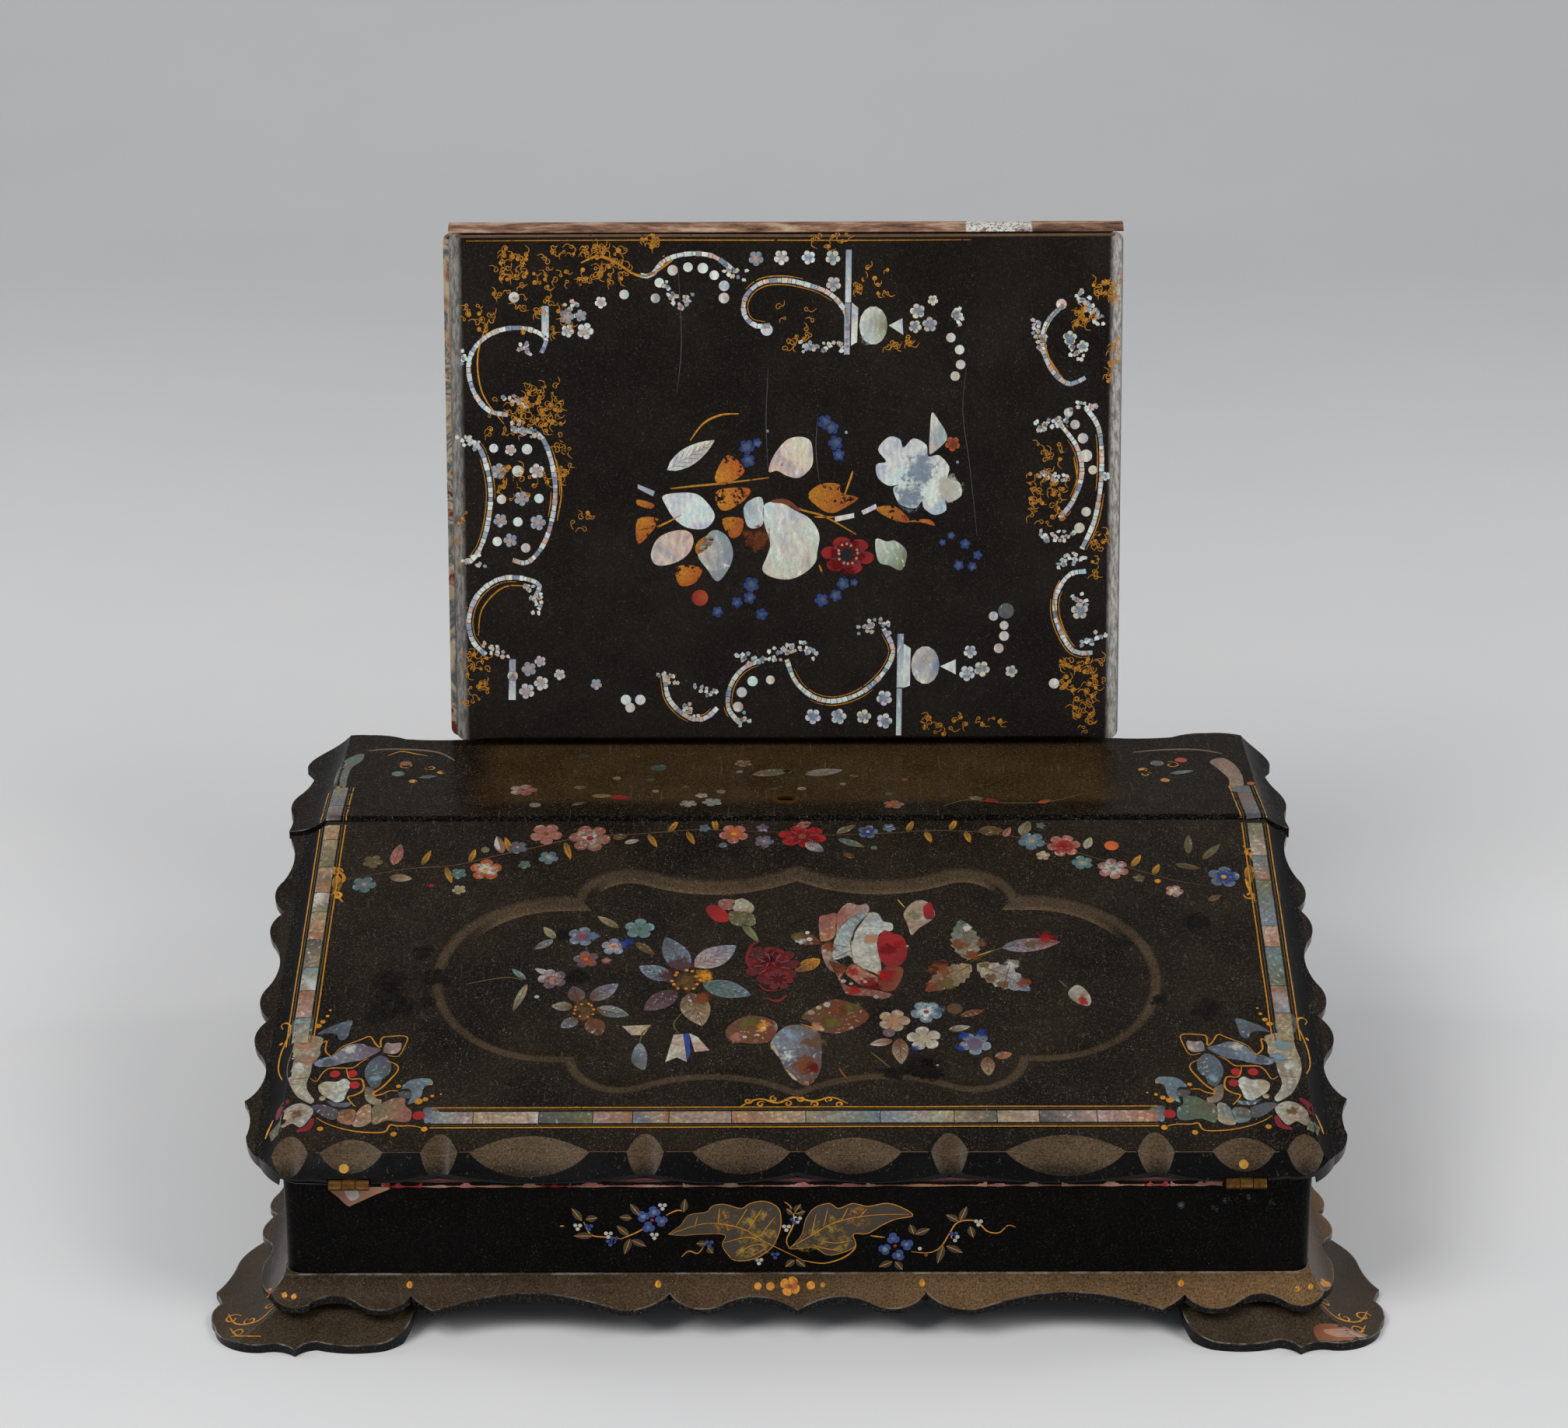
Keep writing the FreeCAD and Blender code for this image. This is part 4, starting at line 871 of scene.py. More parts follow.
def pearl(name, film, gain, aged):
    """Mother of pearl: growth lines, cloudy colours, painted glints and a soft sheen, under a film of old
    varnish.
    """
    n = Nodes(name)
    tint, seed = tinted(n)
    push = n.new("CombineXYZ")
    n.put(push.inputs[0], n.mul(seed, 7.0))
    n.put(push.inputs[1], n.mul(seed, 3.0))
    turn = n.new("VectorRotate", rotation_type="Z_AXIS")
    n.put(turn.inputs["Vector"], n.coord())
    n.put(turn.inputs["Angle"], n.mul(seed, 40.0))
    place = n.new("Mapping")
    n.put(place.inputs["Vector"], turn.outputs[0])
    n.put(place.inputs["Location"], push.outputs[0])
    place.inputs["Scale"].default_value = (1, 2.0, 1)
    cloud = n.noise(60, 3, 0.55, place.outputs[0], 1.0)
    fine = n.noise(420, 3, 0.6, place.outputs[0], 2.0)
    wave = n.new("TexWave")
    n.put(wave.inputs["Vector"], place.outputs[0])
    for key, value in (("Scale", 130), ("Distortion", 7), ("Detail", 3), ("Detail Scale", 1.4)):
        wave.inputs[key].default_value = value
    lines = wave.outputs["Fac"]
    level = n.add(n.step(cloud, 0.25, 0.75, 0.72, 1.18), n.step(lines, 0.1, 0.9, -0.05, 0.09))
    level = n.mul(level, gain)
    play = n.ramp(cloud, (0.30, rgb(214, 228, 240)), (0.42, rgb(240, 230, 234)),
                  (0.52, rgb(252, 246, 230)), (0.62, rgb(224, 240, 230)), (0.72, rgb(250, 236, 228)))
    colour = n.mix(1.0, tint, play, "MULTIPLY")
    stain = n.noise(150, 4, 0.65, place.outputs[0], 1.5)
    colour = n.mix(n.step(stain, 0.45, 0.58, 0.0, aged), colour, n.mix(0.35, rgb(92, 54, 32), tint))
    glints = n.mul(n.step(lines, 0.8, 1.0, 0.0, 0.55), n.step(stain, 0.46, 0.36))
    colour = n.mix(glints, colour, rgb(240, 238, 226))
    grey = n.new("CombineXYZ")
    for i in range(3):
        n.put(grey.inputs[i], level)
    colour = n.mix(1.0, colour, grey.outputs[0], "MULTIPLY")
    # painted glints: pale patches on the brighter pieces
    spot = n.mul(n.step(n.noise(30, 2, 0.5, place.outputs[0]), 0.62, 0.74), 0.7)
    colour = n.mix(n.mul(spot, n.step(seed, 0.35, 0.9)), colour, rgb(230, 236, 228))
    crack = n.step(n.noise(140, 2, 0.5, place.outputs[0], 3.0), 0.485, 0.5)
    crack = n.mul(crack, n.step(n.noise(140, 2, 0.5, place.outputs[0], 3.0), 0.515, 0.5))
    colour = n.mix(n.mul(crack, 0.3), colour, rgb(60, 46, 34))
    colour = dirt(n, colour, film)
    relief = n.add(lines, n.mul(fine, 0.8))
    return n.surface(Base_Color=colour, Metallic=n.step(cloud, 0.3, 0.7, 0.15, 0.35), IOR=1.5,
                     Roughness=n.step(fine, 0.3, 0.7, 0.24, 0.42), Coat_Weight=0.3, Coat_Roughness=0.12,
                     Normal=n.bump(relief, 0.15, 0.0002))


def glaze(name, film):
    """Thin oil colour brushed out to nothing at its edge."""
    n = Nodes(name)
    tint, fade = tinted(n)
    streak = n.noise(600, 3, 0.6, distort=1.5)
    shade = n.mix(n.step(n.noise(220, 3), 0.3, 0.7, 0.0, 0.4), tint, n.mix(0.5, tint, rgb(14, 10, 10)))
    shade = dirt(n, shade, film)
    ragged = n.add(fade, n.step(n.noise(330, 4, 0.7), 0.3, 0.7, -0.35, 0.35))
    cover = n.mul(n.mul(n.step(ragged, 0.05, 0.7), n.step(fade, 0.0, 0.12)),
                  n.step(streak, 0.25, 0.6, 0.6, 0.9))
    return n.surface(Base_Color=shade, Roughness=n.step(streak, 0.3, 0.7, 0.36, 0.5), IOR=1.45,
                     Specular_IOR_Level=0.25, Alpha=cover, Normal=n.bump(streak, 0.2, 0.0002))


def paint(name, film):
    """Oil colours with brush streaks."""
    n = Nodes(name)
    tint, _ = tinted(n)
    streak = n.noise(500, 3, 0.6, distort=2.0)
    shade = n.mix(n.step(n.noise(160, 3), 0.3, 0.7, 0.0, 0.55), tint, n.mix(0.5, tint, rgb(14, 10, 10)))
    shade = n.mix(n.step(streak, 0.6, 0.8, 0.0, 0.12), shade, rgb(226, 176, 120))
    shade = dirt(n, shade, film)
    return n.surface(Base_Color=shade, Roughness=n.step(streak, 0.3, 0.7, 0.34, 0.5), IOR=1.45,
                     Coat_Weight=0.25, Coat_Roughness=0.15, Normal=n.bump(streak, 0.35, 0.0003))


def gilt(name, worn, film):
    """Gold leaf on size, rubbed through in places."""
    n = Nodes(name)
    tint, _ = tinted(n)
    wear_and_sheen = n.noise(300, 4, 0.7)
    shade = n.mix(n.step(n.noise(900, 2), 0.35, 0.65, 0.0, 0.5), tint, n.mix(0.62, tint, rgb(60, 30, 10)))
    shade = dirt(n, shade, film)
    return n.surface(Base_Color=shade, Metallic=n.step(wear_and_sheen, 0.3, 0.7, 0.2, 0.4),
                     Roughness=n.step(wear_and_sheen, 0.3, 0.7, 0.5, 0.34), Alpha=n.step(wear_and_sheen, worn, worn + 0.05),
                     Normal=n.bump(wear_and_sheen, 0.35, 0.0002))


# ---------------------------------------------------------------- designs
def corner_art(art):
    """Front corner of the leaf: a tulip cut from shell, red berries and gilt scrollwork."""
    art.spot(-151.3, 78.6, 6.6, "ink", level=0)
    art.spot(-134.5, 84.1, 3.6, "ink", level=0)
    art.blob([(-183.5, 73.1), (-181.8, 76.4), (-180.6, 79.8), (-177.2, 80), (-175.4, 72.7),
             (-175.4, 67.4), (-177.3, 66.2), (-182.1, 66.7)], "teal", "slate")
    art.disc(-179.9, 69.9, 2.3, "crimson", layer="paint", level=2)
    art.blob([(-180.6, 65.3), (-177.9, 66.6), (-174.3, 66), (-170.9, 64.4), (-171.5, 59.4),
             (-171.2, 55.8), (-173.4, 52.1), (-173.7, 46.4), (-174.6, 40.6), (-173.3, 36.3),
             (-171.1, 32.6), (-172, 30.7), (-174.3, 32), (-177.6, 34.9), (-180.5, 40.7), (-182.2, 46.4),
             (-182.5, 52.2), (-181.5, 58)], "cream", "white")
    art.spot(-177.3, 61.6, 4, "peach")
    art.spot(-178.5, 63.1, 2, "rose")
    art.spot(-178.6, 49.3, 3, "white")
    art.spot(-174.5, 52.9, 3, "peach")
    art.ribbon([(-181.1, 52.6), (-176.9, 52), (-173.4, 52.1)], 0.3, "brown", level=3)
    art.ribbon([(-180.5, 42.7), (-177.5, 43.5), (-174, 44.1)], 0.3, "brown", level=3)
    art.blob([(-171.6, 29.3), (-168.7, 30.3), (-165.2, 29.2), (-162, 27.1), (-162.5, 22.9),
             (-165.1, 22.9), (-168.8, 25.7)], "mauve", "slate")
    art.blob([(-161.6, 27), (-156.7, 27.7), (-155.3, 24.3), (-156.9, 20.1), (-160.4, 20.8),
             (-162.1, 22.8)], "brown", "peach")
    art.ring(-158.4, 24.9, 1.3, "brown", count=9)
    art.blob([(-155.1, 26.9), (-152.5, 30.2), (-150.6, 29.2), (-149.9, 22), (-153, 19), (-156.4, 19.9)],
             "peach", "cream")
    art.blob([(-150.2, 28.3), (-146.2, 31.3), (-143, 33.3), (-139, 33.4), (-138.6, 29.7), (-136.2, 27),
             (-136.2, 22.1), (-139.5, 21.3), (-144.5, 22.1), (-149.2, 20.1)], "green", "rose")
    art.disc(-133.4, 24.5, 2.2, "red", layer="paint", level=2)
    art.blob([(-131.8, 28.3), (-126.8, 27.6), (-126.3, 22.6), (-128.8, 21.3), (-131.1, 21.1)], "slate",
             "steel")
    art.blob([(-172.8, 52.1), (-169.6, 54.3), (-166.3, 55.8), (-163.6, 59.2), (-160.8, 61.4),
             (-156.8, 61.6), (-153.7, 60.1), (-150.4, 59.2), (-150, 57.7), (-153.2, 55), (-156, 53),
             (-160.9, 52), (-164.8, 50.5), (-168.7, 49.6), (-172.2, 50.1)], "steel", "mauve")
    art.spot(-160.8, 59, 2.6, "white")
    art.spot(-167.9, 52.1, 2.5, "slate")
    art.blob([(-148.8, 58.5), (-147.9, 62.1), (-145.8, 61.7), (-142.7, 62.1), (-142.6, 58.6),
             (-144.4, 56.4), (-147.9, 56.8)], "mauve", "blush")
    art.blob([(-153.8, 50.6), (-151.7, 54.1), (-148.8, 55.5), (-145.5, 51.9), (-145.4, 46.3),
             (-147.7, 43.3), (-148.4, 39.8), (-150.8, 38.4), (-153, 41.8), (-154.4, 46.3)], "blue",
             "slate")
    art.spot(-150.1, 43.3, 2.4, "sky")
    art.blob([(-153.4, 39.5), (-150.2, 37.6), (-149.4, 33.6), (-147.2, 32.6), (-147.6, 30.4),
             (-150.1, 30.2), (-152.7, 32.6), (-153.6, 37)], "slate", "cream")
    art.blob([(-170.2, 39.9), (-167.9, 42), (-164, 41.9), (-161.1, 43.5), (-158.8, 40.6), (-159.9, 36.3),
             (-160.6, 32.6), (-163, 31.3), (-166.1, 33.3), (-169.3, 36.3)], "cream", "ice")
    art.spot(-165.1, 38.8, 1.5, "white")
    for x, y in ((-164.9, 45.8), (-158.8, 45.9), (-157.4, 40.1)):
        art.disc(x, y, 1.9, "red", layer="paint", level=3)
    art.disc(-168.2, 33.3, 1.2, "cream", level=3)
    art.blob([(-166.5, 32.1), (-162.4, 31), (-158, 31.3), (-158.8, 29.2), (-163.7, 29.2)], "slate",
             "blue")
    art.blob([(-140.7, 38.2), (-138.7, 41.9), (-135.4, 43.4), (-130.9, 43.3), (-129.6, 40.8),
             (-132.6, 39.1), (-133.2, 34.8), (-135, 31.8), (-137.8, 30.4), (-136.6, 34.8),
             (-137.9, 38.2)], "blue", "sky")
    art.blob([(-141.7, 36.1), (-139.3, 36.9), (-136.8, 36.2), (-137.1, 33.4), (-140.5, 33.8)], "slate")
    art.blob([(-173.3, 66.6), (-170.6, 69.6), (-165.9, 72.5), (-161.4, 74.1), (-161.6, 69.7),
             (-162.6, 64.5), (-165, 63.7), (-166.3, 66.6), (-169.9, 67.3)], "slate", "blue")
    art.blob([(-182, 21.9), (-181.8, 26.1), (-178.5, 30), (-174.7, 30.7), (-170.9, 27.7), (-171.5, 23.6),
             (-174.3, 18.8), (-177.6, 20.7), (-180.8, 18.6)], "cream", "white")
    art.spot(-176.6, 25.8, 2.5, "brown")
    art.ribbon([(-183.3, 24.1), (-182.7, 28.8), (-179.8, 32.4)], 2.4, "crimson", layer="paint", level=3)
    art.ribbon([(-170.6, 23.3), (-171.8, 18.6), (-175.7, 16.7)], 2.4, "crimson", layer="paint", level=3)
    art.poly([(-185.8, 19), (-182.1, 22.5), (-180.9, 16.7), (-184.4, 14)], "slate", "green")
    for line, width in (
            ([(-186.6, 73.1), (-187.6, 75.7), (-185.9, 76.2), (-183.8, 73.3), (-183.6, 69), (-184.8, 65),
              (-186, 59.5), (-186.2, 53.6), (-185.5, 49.3), (-183.8, 44.8)], 0.7),
            ([(-166.1, 56.1), (-163.7, 60), (-159.9, 62.3), (-157, 63.9), (-154.1, 65.4), (-151.8, 61.5),
              (-149.9, 59.7), (-149.9, 64.3), (-147.1, 65.4), (-140.8, 65.2), (-141.4, 59.3),
              (-143.2, 54.9), (-147, 55.5)], 0.6),
            ([(-147.1, 52.6), (-143.4, 50.6), (-142.6, 47.7), (-144.7, 43.3), (-147.4, 39),
              (-150.1, 36.1), (-149.9, 34.7), (-147.1, 35.4), (-144.7, 37), (-141.7, 37)], 0.7),
            ([(-169.4, 23.5), (-165.8, 20.7), (-159.7, 17.9), (-152.7, 16.2), (-144.9, 16.2),
              (-143.1, 19.7), (-140.3, 19.2), (-135.9, 19.3), (-132.5, 18.5), (-130.4, 17.1)], 0.6),
            ([(-173.5, 43.5), (-171.1, 42.1), (-169.3, 46.4), (-167.1, 48.7), (-162.6, 48.9),
              (-158.7, 49.1), (-156, 52.1), (-153.6, 53.9)], 0.6),
            ([(-161.2, 49.2), (-159.5, 43.4), (-155.2, 43.1), (-154.1, 37.7), (-156.9, 34.9),
              (-159.2, 33.8), (-156.9, 29.9), (-155.9, 29.2)], 0.7),
            ([(-171.3, 61.6), (-169.5, 63.1), (-169.5, 58), (-167.2, 55), (-166.3, 55.8)], 0.6),
            ([(-184.9, 25.1), (-186.3, 20.2), (-186.9, 16.7)], 0.8)):
        art.ribbon(line, width, "gold", level=4)
    for x, y, r in (
            (-173.3, 71.1, 1.2), (-171.9, 73.3, 1), (-170.5, 76.4, 0.7), (-169.8, 79.5, 0.5),
            (-134, 31.6, 1.5), (-131.6, 32.7, 1), (-129.3, 34.3, 0.7), (-126.3, 35.3, 0.4),
            (-167.5, 17.9, 1.1), (-141.5, 15.2, 1.1), (-130.9, 17.6, 1.2), (-141.7, 39.4, 0.9),
            (-186.5, 65.3, 0.7), (-130.2, 40.5, 0.6)):
        art.disc(x, y, r, "gold", layer="gold", level=4)


def forget_me_nots(art):
    """Forget-me-nots and their leaves, left of the middle."""
    art.spot(-86.1, 122.8, 4.4, "ink", level=0)
    art.spot(-81.2, 99.3, 4.7, "ink", level=0)
    art.leaf(-89.9, 120.4, -94.6, 127.1, 3.4, "green", "cream")
    art.leaf(-90.7, 119.9, -97.8, 114.2, 3.7, "steel", "brown")
    art.leaf(-66.4, 126.3, -74.7, 133.2, 3.4, "olive", "cream")
    art.leaf(-59.9, 118.2, -52.6, 111.1, 3.7, "olive", "brown")
    art.flower(-80, 121.6, 5.4, 5, "steel", "mauve", eye="red")
    art.spot(-76, 121.9, 2.8, "blue")
    art.flower(-58.7, 126, 5.7, 5, "sky", "teal", eye="olive")
    art.flower(-68, 115.8, 4.7, 5, "steel", "blush", eye="orange")
    art.spot(-63.7, 117.8, 3.1, "cobalt")
    art.flower(-78, 108.8, 4.8, 5, "mauve", "rose", eye="orange")
    art.spot(-77.5, 108.1, 3.1, "orange")
    art.flower(-89.9, 98, 5.4, 5, "mauve", "blush", eye="rose")
    art.leaf(-91.2, 100.6, -96.7, 103.7, 2.7, "pearl", "white")
    art.spot(-90.2, 97.4, 3, "rust")
    art.flower(-70.3, 107.9, 2.2, 5, "plum", "rose", eye=None)
    art.leaf(-99.7, 97.6, -105.2, 103.7, 2.6, "teal", "sky")
    art.leaf(-99.2, 95.1, -103.5, 80.3, 3.1, "cream", "green")
    art.ribbon([(-121.8, 95.1), (-112.8, 97.7), (-105.7, 98.9), (-100.8, 97.2)], 0.5, "olive")
    art.disc(-95.2, 88.2, 0.9, "blue")


def star_flowers(art):
    """Two star-shaped flowers of long shell petals."""
    art.leaf(-40.7, 101.8, -48.9, 121.3, 9.7, "steel", "blue")
    art.leaf(-37.8, 104.4, -22.4, 116.3, 10.6, "blush", "steel")
    art.leaf(-34.7, 95.2, -16.6, 88.8, 9.3, "teal", "sky")
    art.leaf(-39.3, 90.4, -34.3, 72.2, 11, "brown", "cream")
    art.leaf(-43.7, 91.3, -55.8, 80.6, 8.7, "plum", "mauve")
    art.leaf(-45.8, 97.8, -58.3, 104.9, 7.9, "blue", "steel")
    art.spot(-43.1, 104.4, 5.6, "plum")
    art.spot(-46.7, 99.1, 4.7, "plum")
    art.spot(-34.2, 99.1, 3.5, "gold")
    art.spot(-40.9, 96.9, 5.5, "brown")
    art.spot(-34.6, 86.9, 3.5, "rust")
    art.ring(-40.9, 96.9, 5.1, "gold", count=12)
    art.leaf(-75.7, 86.2, -65.6, 95.3, 7, "brown", "steel")
    art.leaf(-73.2, 81.9, -61, 78, 6.1, "brown", "sky")
    art.leaf(-75.3, 76.3, -70.8, 67.3, 7.5, "rust", "brown")
    art.leaf(-79.7, 76.4, -85.6, 71.5, 5.2, "brown", "steel")
    art.leaf(-81.7, 82.8, -89.6, 83.2, 4.9, "brown", "white")
    art.leaf(-79.5, 85.4, -82.2, 94, 6.4, "brown", "mauve")
    art.spot(-77.5, 80.9, 5.2, "brown")
    art.ring(-77.5, 80.9, 3.8, "gold")


def bells_and_bud(art):
    """Bell flowers below the stars and a red bud above them."""
    art.poly([(-63.5, 72.3), (-53, 72.9), (-55.3, 67.5), (-59.8, 67.4)], "blush", "cream")
    art.ribbon([(-42.8, 68.2), (-44.7, 73.3), (-41.9, 79.2)], 0.6, "olive")
    art.poly([(-47.3, 53.2), (-44.6, 67.6), (-41.2, 68), (-39.5, 53.2), (-43.2, 55.7)], "white", "blush")
    art.poly([(-41.2, 68), (-39, 68.4), (-38.2, 58.1), (-39.5, 54)], "cobalt", layer="paint")
    art.poly([(-39, 68.4), (-35.8, 66.3), (-31.5, 59.3), (-36.8, 58.5)], "cream", "blush")
    art.blob([(-59.3, 53.3), (-58.7, 60.2), (-56.3, 63.1), (-53.9, 57.3), (-54.7, 49.2)], "slate",
             "steel")
    art.ribbon([(-56.8, 62.2), (-55.9, 68.4), (-52.6, 72.6)], 0.5, "olive")
    art.blob([(-34.1, 137.1), (-31.2, 139.6), (-26.4, 135.7), (-25.7, 130.3), (-30.7, 130.3)], "crimson",
             "red", layer="paint")
    art.blob([(-28.9, 142.2), (-23.4, 142.3), (-24.5, 136.8), (-28.9, 137.7)], "pink", "rose")
    art.blob([(-24.6, 140.1), (-20.5, 143.2), (-16.2, 139.2), (-16.9, 134.8), (-22.7, 135.5)], "white",
             "cream")
    art.blob([(-25.1, 135.5), (-16.9, 134.6), (-15.5, 128.2), (-20.4, 127.1), (-24.5, 129.2)], "olive",
             "green")
    art.leaf(-20.4, 129.3, -14.1, 118.1, 3.3, "olive", "green", layer="paint")


def carnation(art):
    """Dark red carnation beside the rose."""
    art.flower(-9, 105.1, 10.6, 9, "wine", eye=None, layer="paint")
    art.spot(-9, 105.1, 6.9, "crimson")
    art.flower(-9.8, 108.5, 6.9, 8, "crimson", eye=None, layer="paint", level=2)
    art.spot(-10.4, 109.4, 4, "ink")
    art.flower(-6.9, 97.3, 5.7, 7, "crimson", eye=None, layer="paint", level=3)
    art.spot(-6.9, 97.3, 3.7, "wine", level=4)
    art.flower(-15, 112, 3.8, 6, "wine", eye=None, layer="paint", level=3)
    art.ribbon([(-16.4, 102.1), (-18.5, 108.5), (-16.8, 115.9), (-14.2, 118.1)], 1.2, "crimson", level=4)
    art.ribbon([(-11.2, 87.1), (-6.9, 85.4), (-3.5, 88.8)], 1.2, "crimson", level=4)
    art.ribbon([(-14.1, 94.8), (-11.2, 91.3), (-6.9, 91.3)], 1, "crimson", level=4)


def rose(art):
    """Rose in the middle: shell petals washed with red."""
    art.blob([(8.7, 132.4), (12, 133.5), (14.9, 133.9), (14.6, 122.2), (9.5, 118.4), (8.5, 124)], "rose",
             "peach")
    art.blob([(15.3, 133.7), (19.4, 140.3), (23.5, 139), (26.5, 139.9), (27.3, 135.5), (21.8, 133),
             (17.6, 129), (14.6, 121.5)], "rose", "blush")
    art.blob([(9.2, 114.8), (12.2, 117.2), (13.8, 108.7), (18.1, 103.8), (14.5, 101.1), (10.9, 105)],
             "blush", "rust")
    art.blob([(12.1, 107.5), (18.1, 103.8), (16.4, 97.8), (18.8, 93.6), (24.4, 92.4), (30, 91.1),
             (34.9, 89), (31.5, 86.5), (26.7, 88.2), (20.5, 88.5), (17.6, 90.6), (15.2, 98.4)], "rust",
             "rose")
    art.blob([(30.1, 98.9), (33.5, 104.4), (37.5, 104.3), (39.4, 101.3), (36, 91.7), (30.8, 91.7)],
             "crimson", "rust", layer="paint")
    art.blob([(27.2, 134.7), (24.2, 130.2), (21.5, 124.6), (20.3, 117.2), (20.8, 112.2), (13.8, 108.4),
             (13.8, 117.2), (15.1, 122.2), (17.6, 128.4), (21.8, 132.8)], "sky", "ice")
    art.blob([(27.6, 134.7), (30.8, 134.1), (32.5, 129.9), (35.8, 128.6), (35.7, 124.6), (31.4, 123.3),
             (29.9, 117.2), (31.1, 107.4), (30.9, 100), (28.6, 101), (21.4, 106.2), (20.5, 113.5),
             (21.9, 123.4), (24.5, 129.6)], "ice", "white")
    art.blob([(18, 101.1), (20.6, 105.5), (23.8, 104.1), (26.9, 101.1), (30.2, 98), (29.2, 95.3),
             (24.4, 93.9), (20.5, 97.5)], "pink", "peach")
    art.blob([(30.3, 118.4), (32.7, 124.6), (36, 123), (39.5, 121.1), (41.2, 114.7), (40.4, 108.6),
             (37.5, 104.3), (33.8, 104), (30.7, 109.2)], "red", "crimson", layer="paint", level=2)
    art.spot(15.2, 130.9, 3.7, "rose")
    art.spot(12.2, 114.8, 3.6, "rust")
    art.spot(23.1, 113.5, 4.9, "white")
    art.spot(28.1, 119.6, 3.3, "peach")
    for x, y, r, tint in (
            (33.7, 114.1, 3.6, "crimson"), (37.8, 117.2, 2.4, "red"), (20.5, 101.4, 2.8, "red"),
            (26.8, 94.7, 4.4, "crimson"), (16.1, 102.6, 3.2, "rust"), (33.3, 99.5, 3.6, "red"),
            (21.2, 91.2, 2.8, "red")):
        art.spot(x, y, r, tint, level=3)
    art.spot(27.5, 133.3, 2, "cream")
    for x, y, r, tint in (
            (17.2, 96.3, 1, "white"), (20, 94.8, 0.8, "cream"), (18.3, 90, 0.6, "cream"),
            (29.1, 87.6, 1, "cream"), (25.2, 95.9, 0.8, "blush"), (41.2, 115.6, 0.6, "blush")):
        art.disc(x, y, r, tint, level=4)
    for line in (
            [(27.1, 134.4), (21.7, 123.4), (20.1, 117.2), (21, 106.8)],
            [(12.5, 108.1), (17, 111.1), (20.5, 113.5)], [(13.8, 116.6), (17.1, 115.7), (19.9, 114.8)],
            [(17.7, 101.4), (21, 106.1), (25.3, 102), (29.7, 98.9)],
            [(15.2, 133.4), (14.5, 122.2), (11, 117.2)]):
        art.ribbon(line, 0.3, "brown", level=5)


def rose_leaves(art):
    """Buds and leaves of the rose."""
    art.blob([(40.3, 133.9), (43.3, 140), (47.5, 142), (51.1, 138.3), (51.7, 132), (45.8, 125.8),
             (42.9, 121.9), (41.7, 127.6)], "cream", "blush")
    art.blob([(48, 138.3), (50.8, 140.6), (51.7, 132), (48.6, 131.2), (47.7, 135.4)], "red", "crimson",
             layer="paint", level=2)
    art.spot(44.3, 133.3, 2.9, "green")
    art.ribbon([(38.2, 142.4), (40.8, 137.7)], 0.5, "yellow")
    art.leaf(-2, 122.2, 9.2, 117.3, 7.3, "brown", "rust", teeth=6)
    art.spot(1.3, 121, 2.4, "olive")
    art.disc(4.9, 119.7, 1.1, "ice", level=3)
    art.disc(4.1, 123.4, 0.9, "white", level=3)
    art.leaf(8.7, 108.7, -0.8, 101.5, 6.1, "gold", "brown", layer="leafgold")
    art.ribbon([(62.8, 107.7), (69.2, 111.4), (76.9, 114.9)], 0.5, "yellow")
    art.ribbon([(79.4, 115.7), (74.3, 113.8), (68.5, 110), (64, 106.7)], 0.4, "olive")
    art.leaf(64.1, 108, 61.5, 130.8, 11.9, "cream", "teal", teeth=7)
    art.leaf(64.5, 105.3, 47.2, 90.5, 11.8, "cream", "rust", teeth=7)
    art.leaf(66.8, 105.8, 85.7, 90.9, 12.8, "cream", "steel", teeth=7)
    art.leaf(76.2, 114.7, 98.3, 118, 7.5, "steel", "rose")
    for x, y, r, tint in (
            (61, 116.7, 3.4, "rust"), (65.1, 110.5, 2.8, "rust"), (68.8, 117.6, 2.8, "brown"),
            (63.5, 126.2, 2.2, "white"), (53.3, 103, 4.4, "rust"), (55.5, 95.1, 3.7, "olive"),
            (49.9, 93.3, 2.8, "rust"), (83.4, 95, 3.2, "rust"), (71.4, 97.8, 2.8, "brown"),
            (75.9, 94.1, 2.8, "brown"), (68.9, 105.3, 2.5, "olive"), (92.8, 120.4, 3.9, "red"),
            (87.6, 116.1, 2.8, "olive"), (79.5, 105.3, 3.1, "white")):
        art.spot(x, y, r, tint)
    for line in (
            [(63.8, 109.1), (62.7, 120.5), (61.7, 129.1)], [(63.9, 105.2), (56.9, 98.8), (48.6, 91.9)],
            [(67.1, 105.5), (76.1, 99.7), (85, 91.5)], [(78.9, 105.3), (77.3, 98.8), (75.7, 90.4)],
            [(76.9, 114.9), (87, 117.5), (97.7, 117.9)]):
        art.ribbon(line, 0.3, "brown", level=3)
    art.blob([(99.5, 90.2), (103.1, 94), (106.6, 90.1), (107.6, 84.8), (105.5, 82.5), (100.7, 85.8)],
             "olive", "blush")
    art.spot(104.7, 85.6, 2.6, "red")
    art.ribbon([(96.5, 96.6), (99.6, 92.2)], 0.5, "olive")


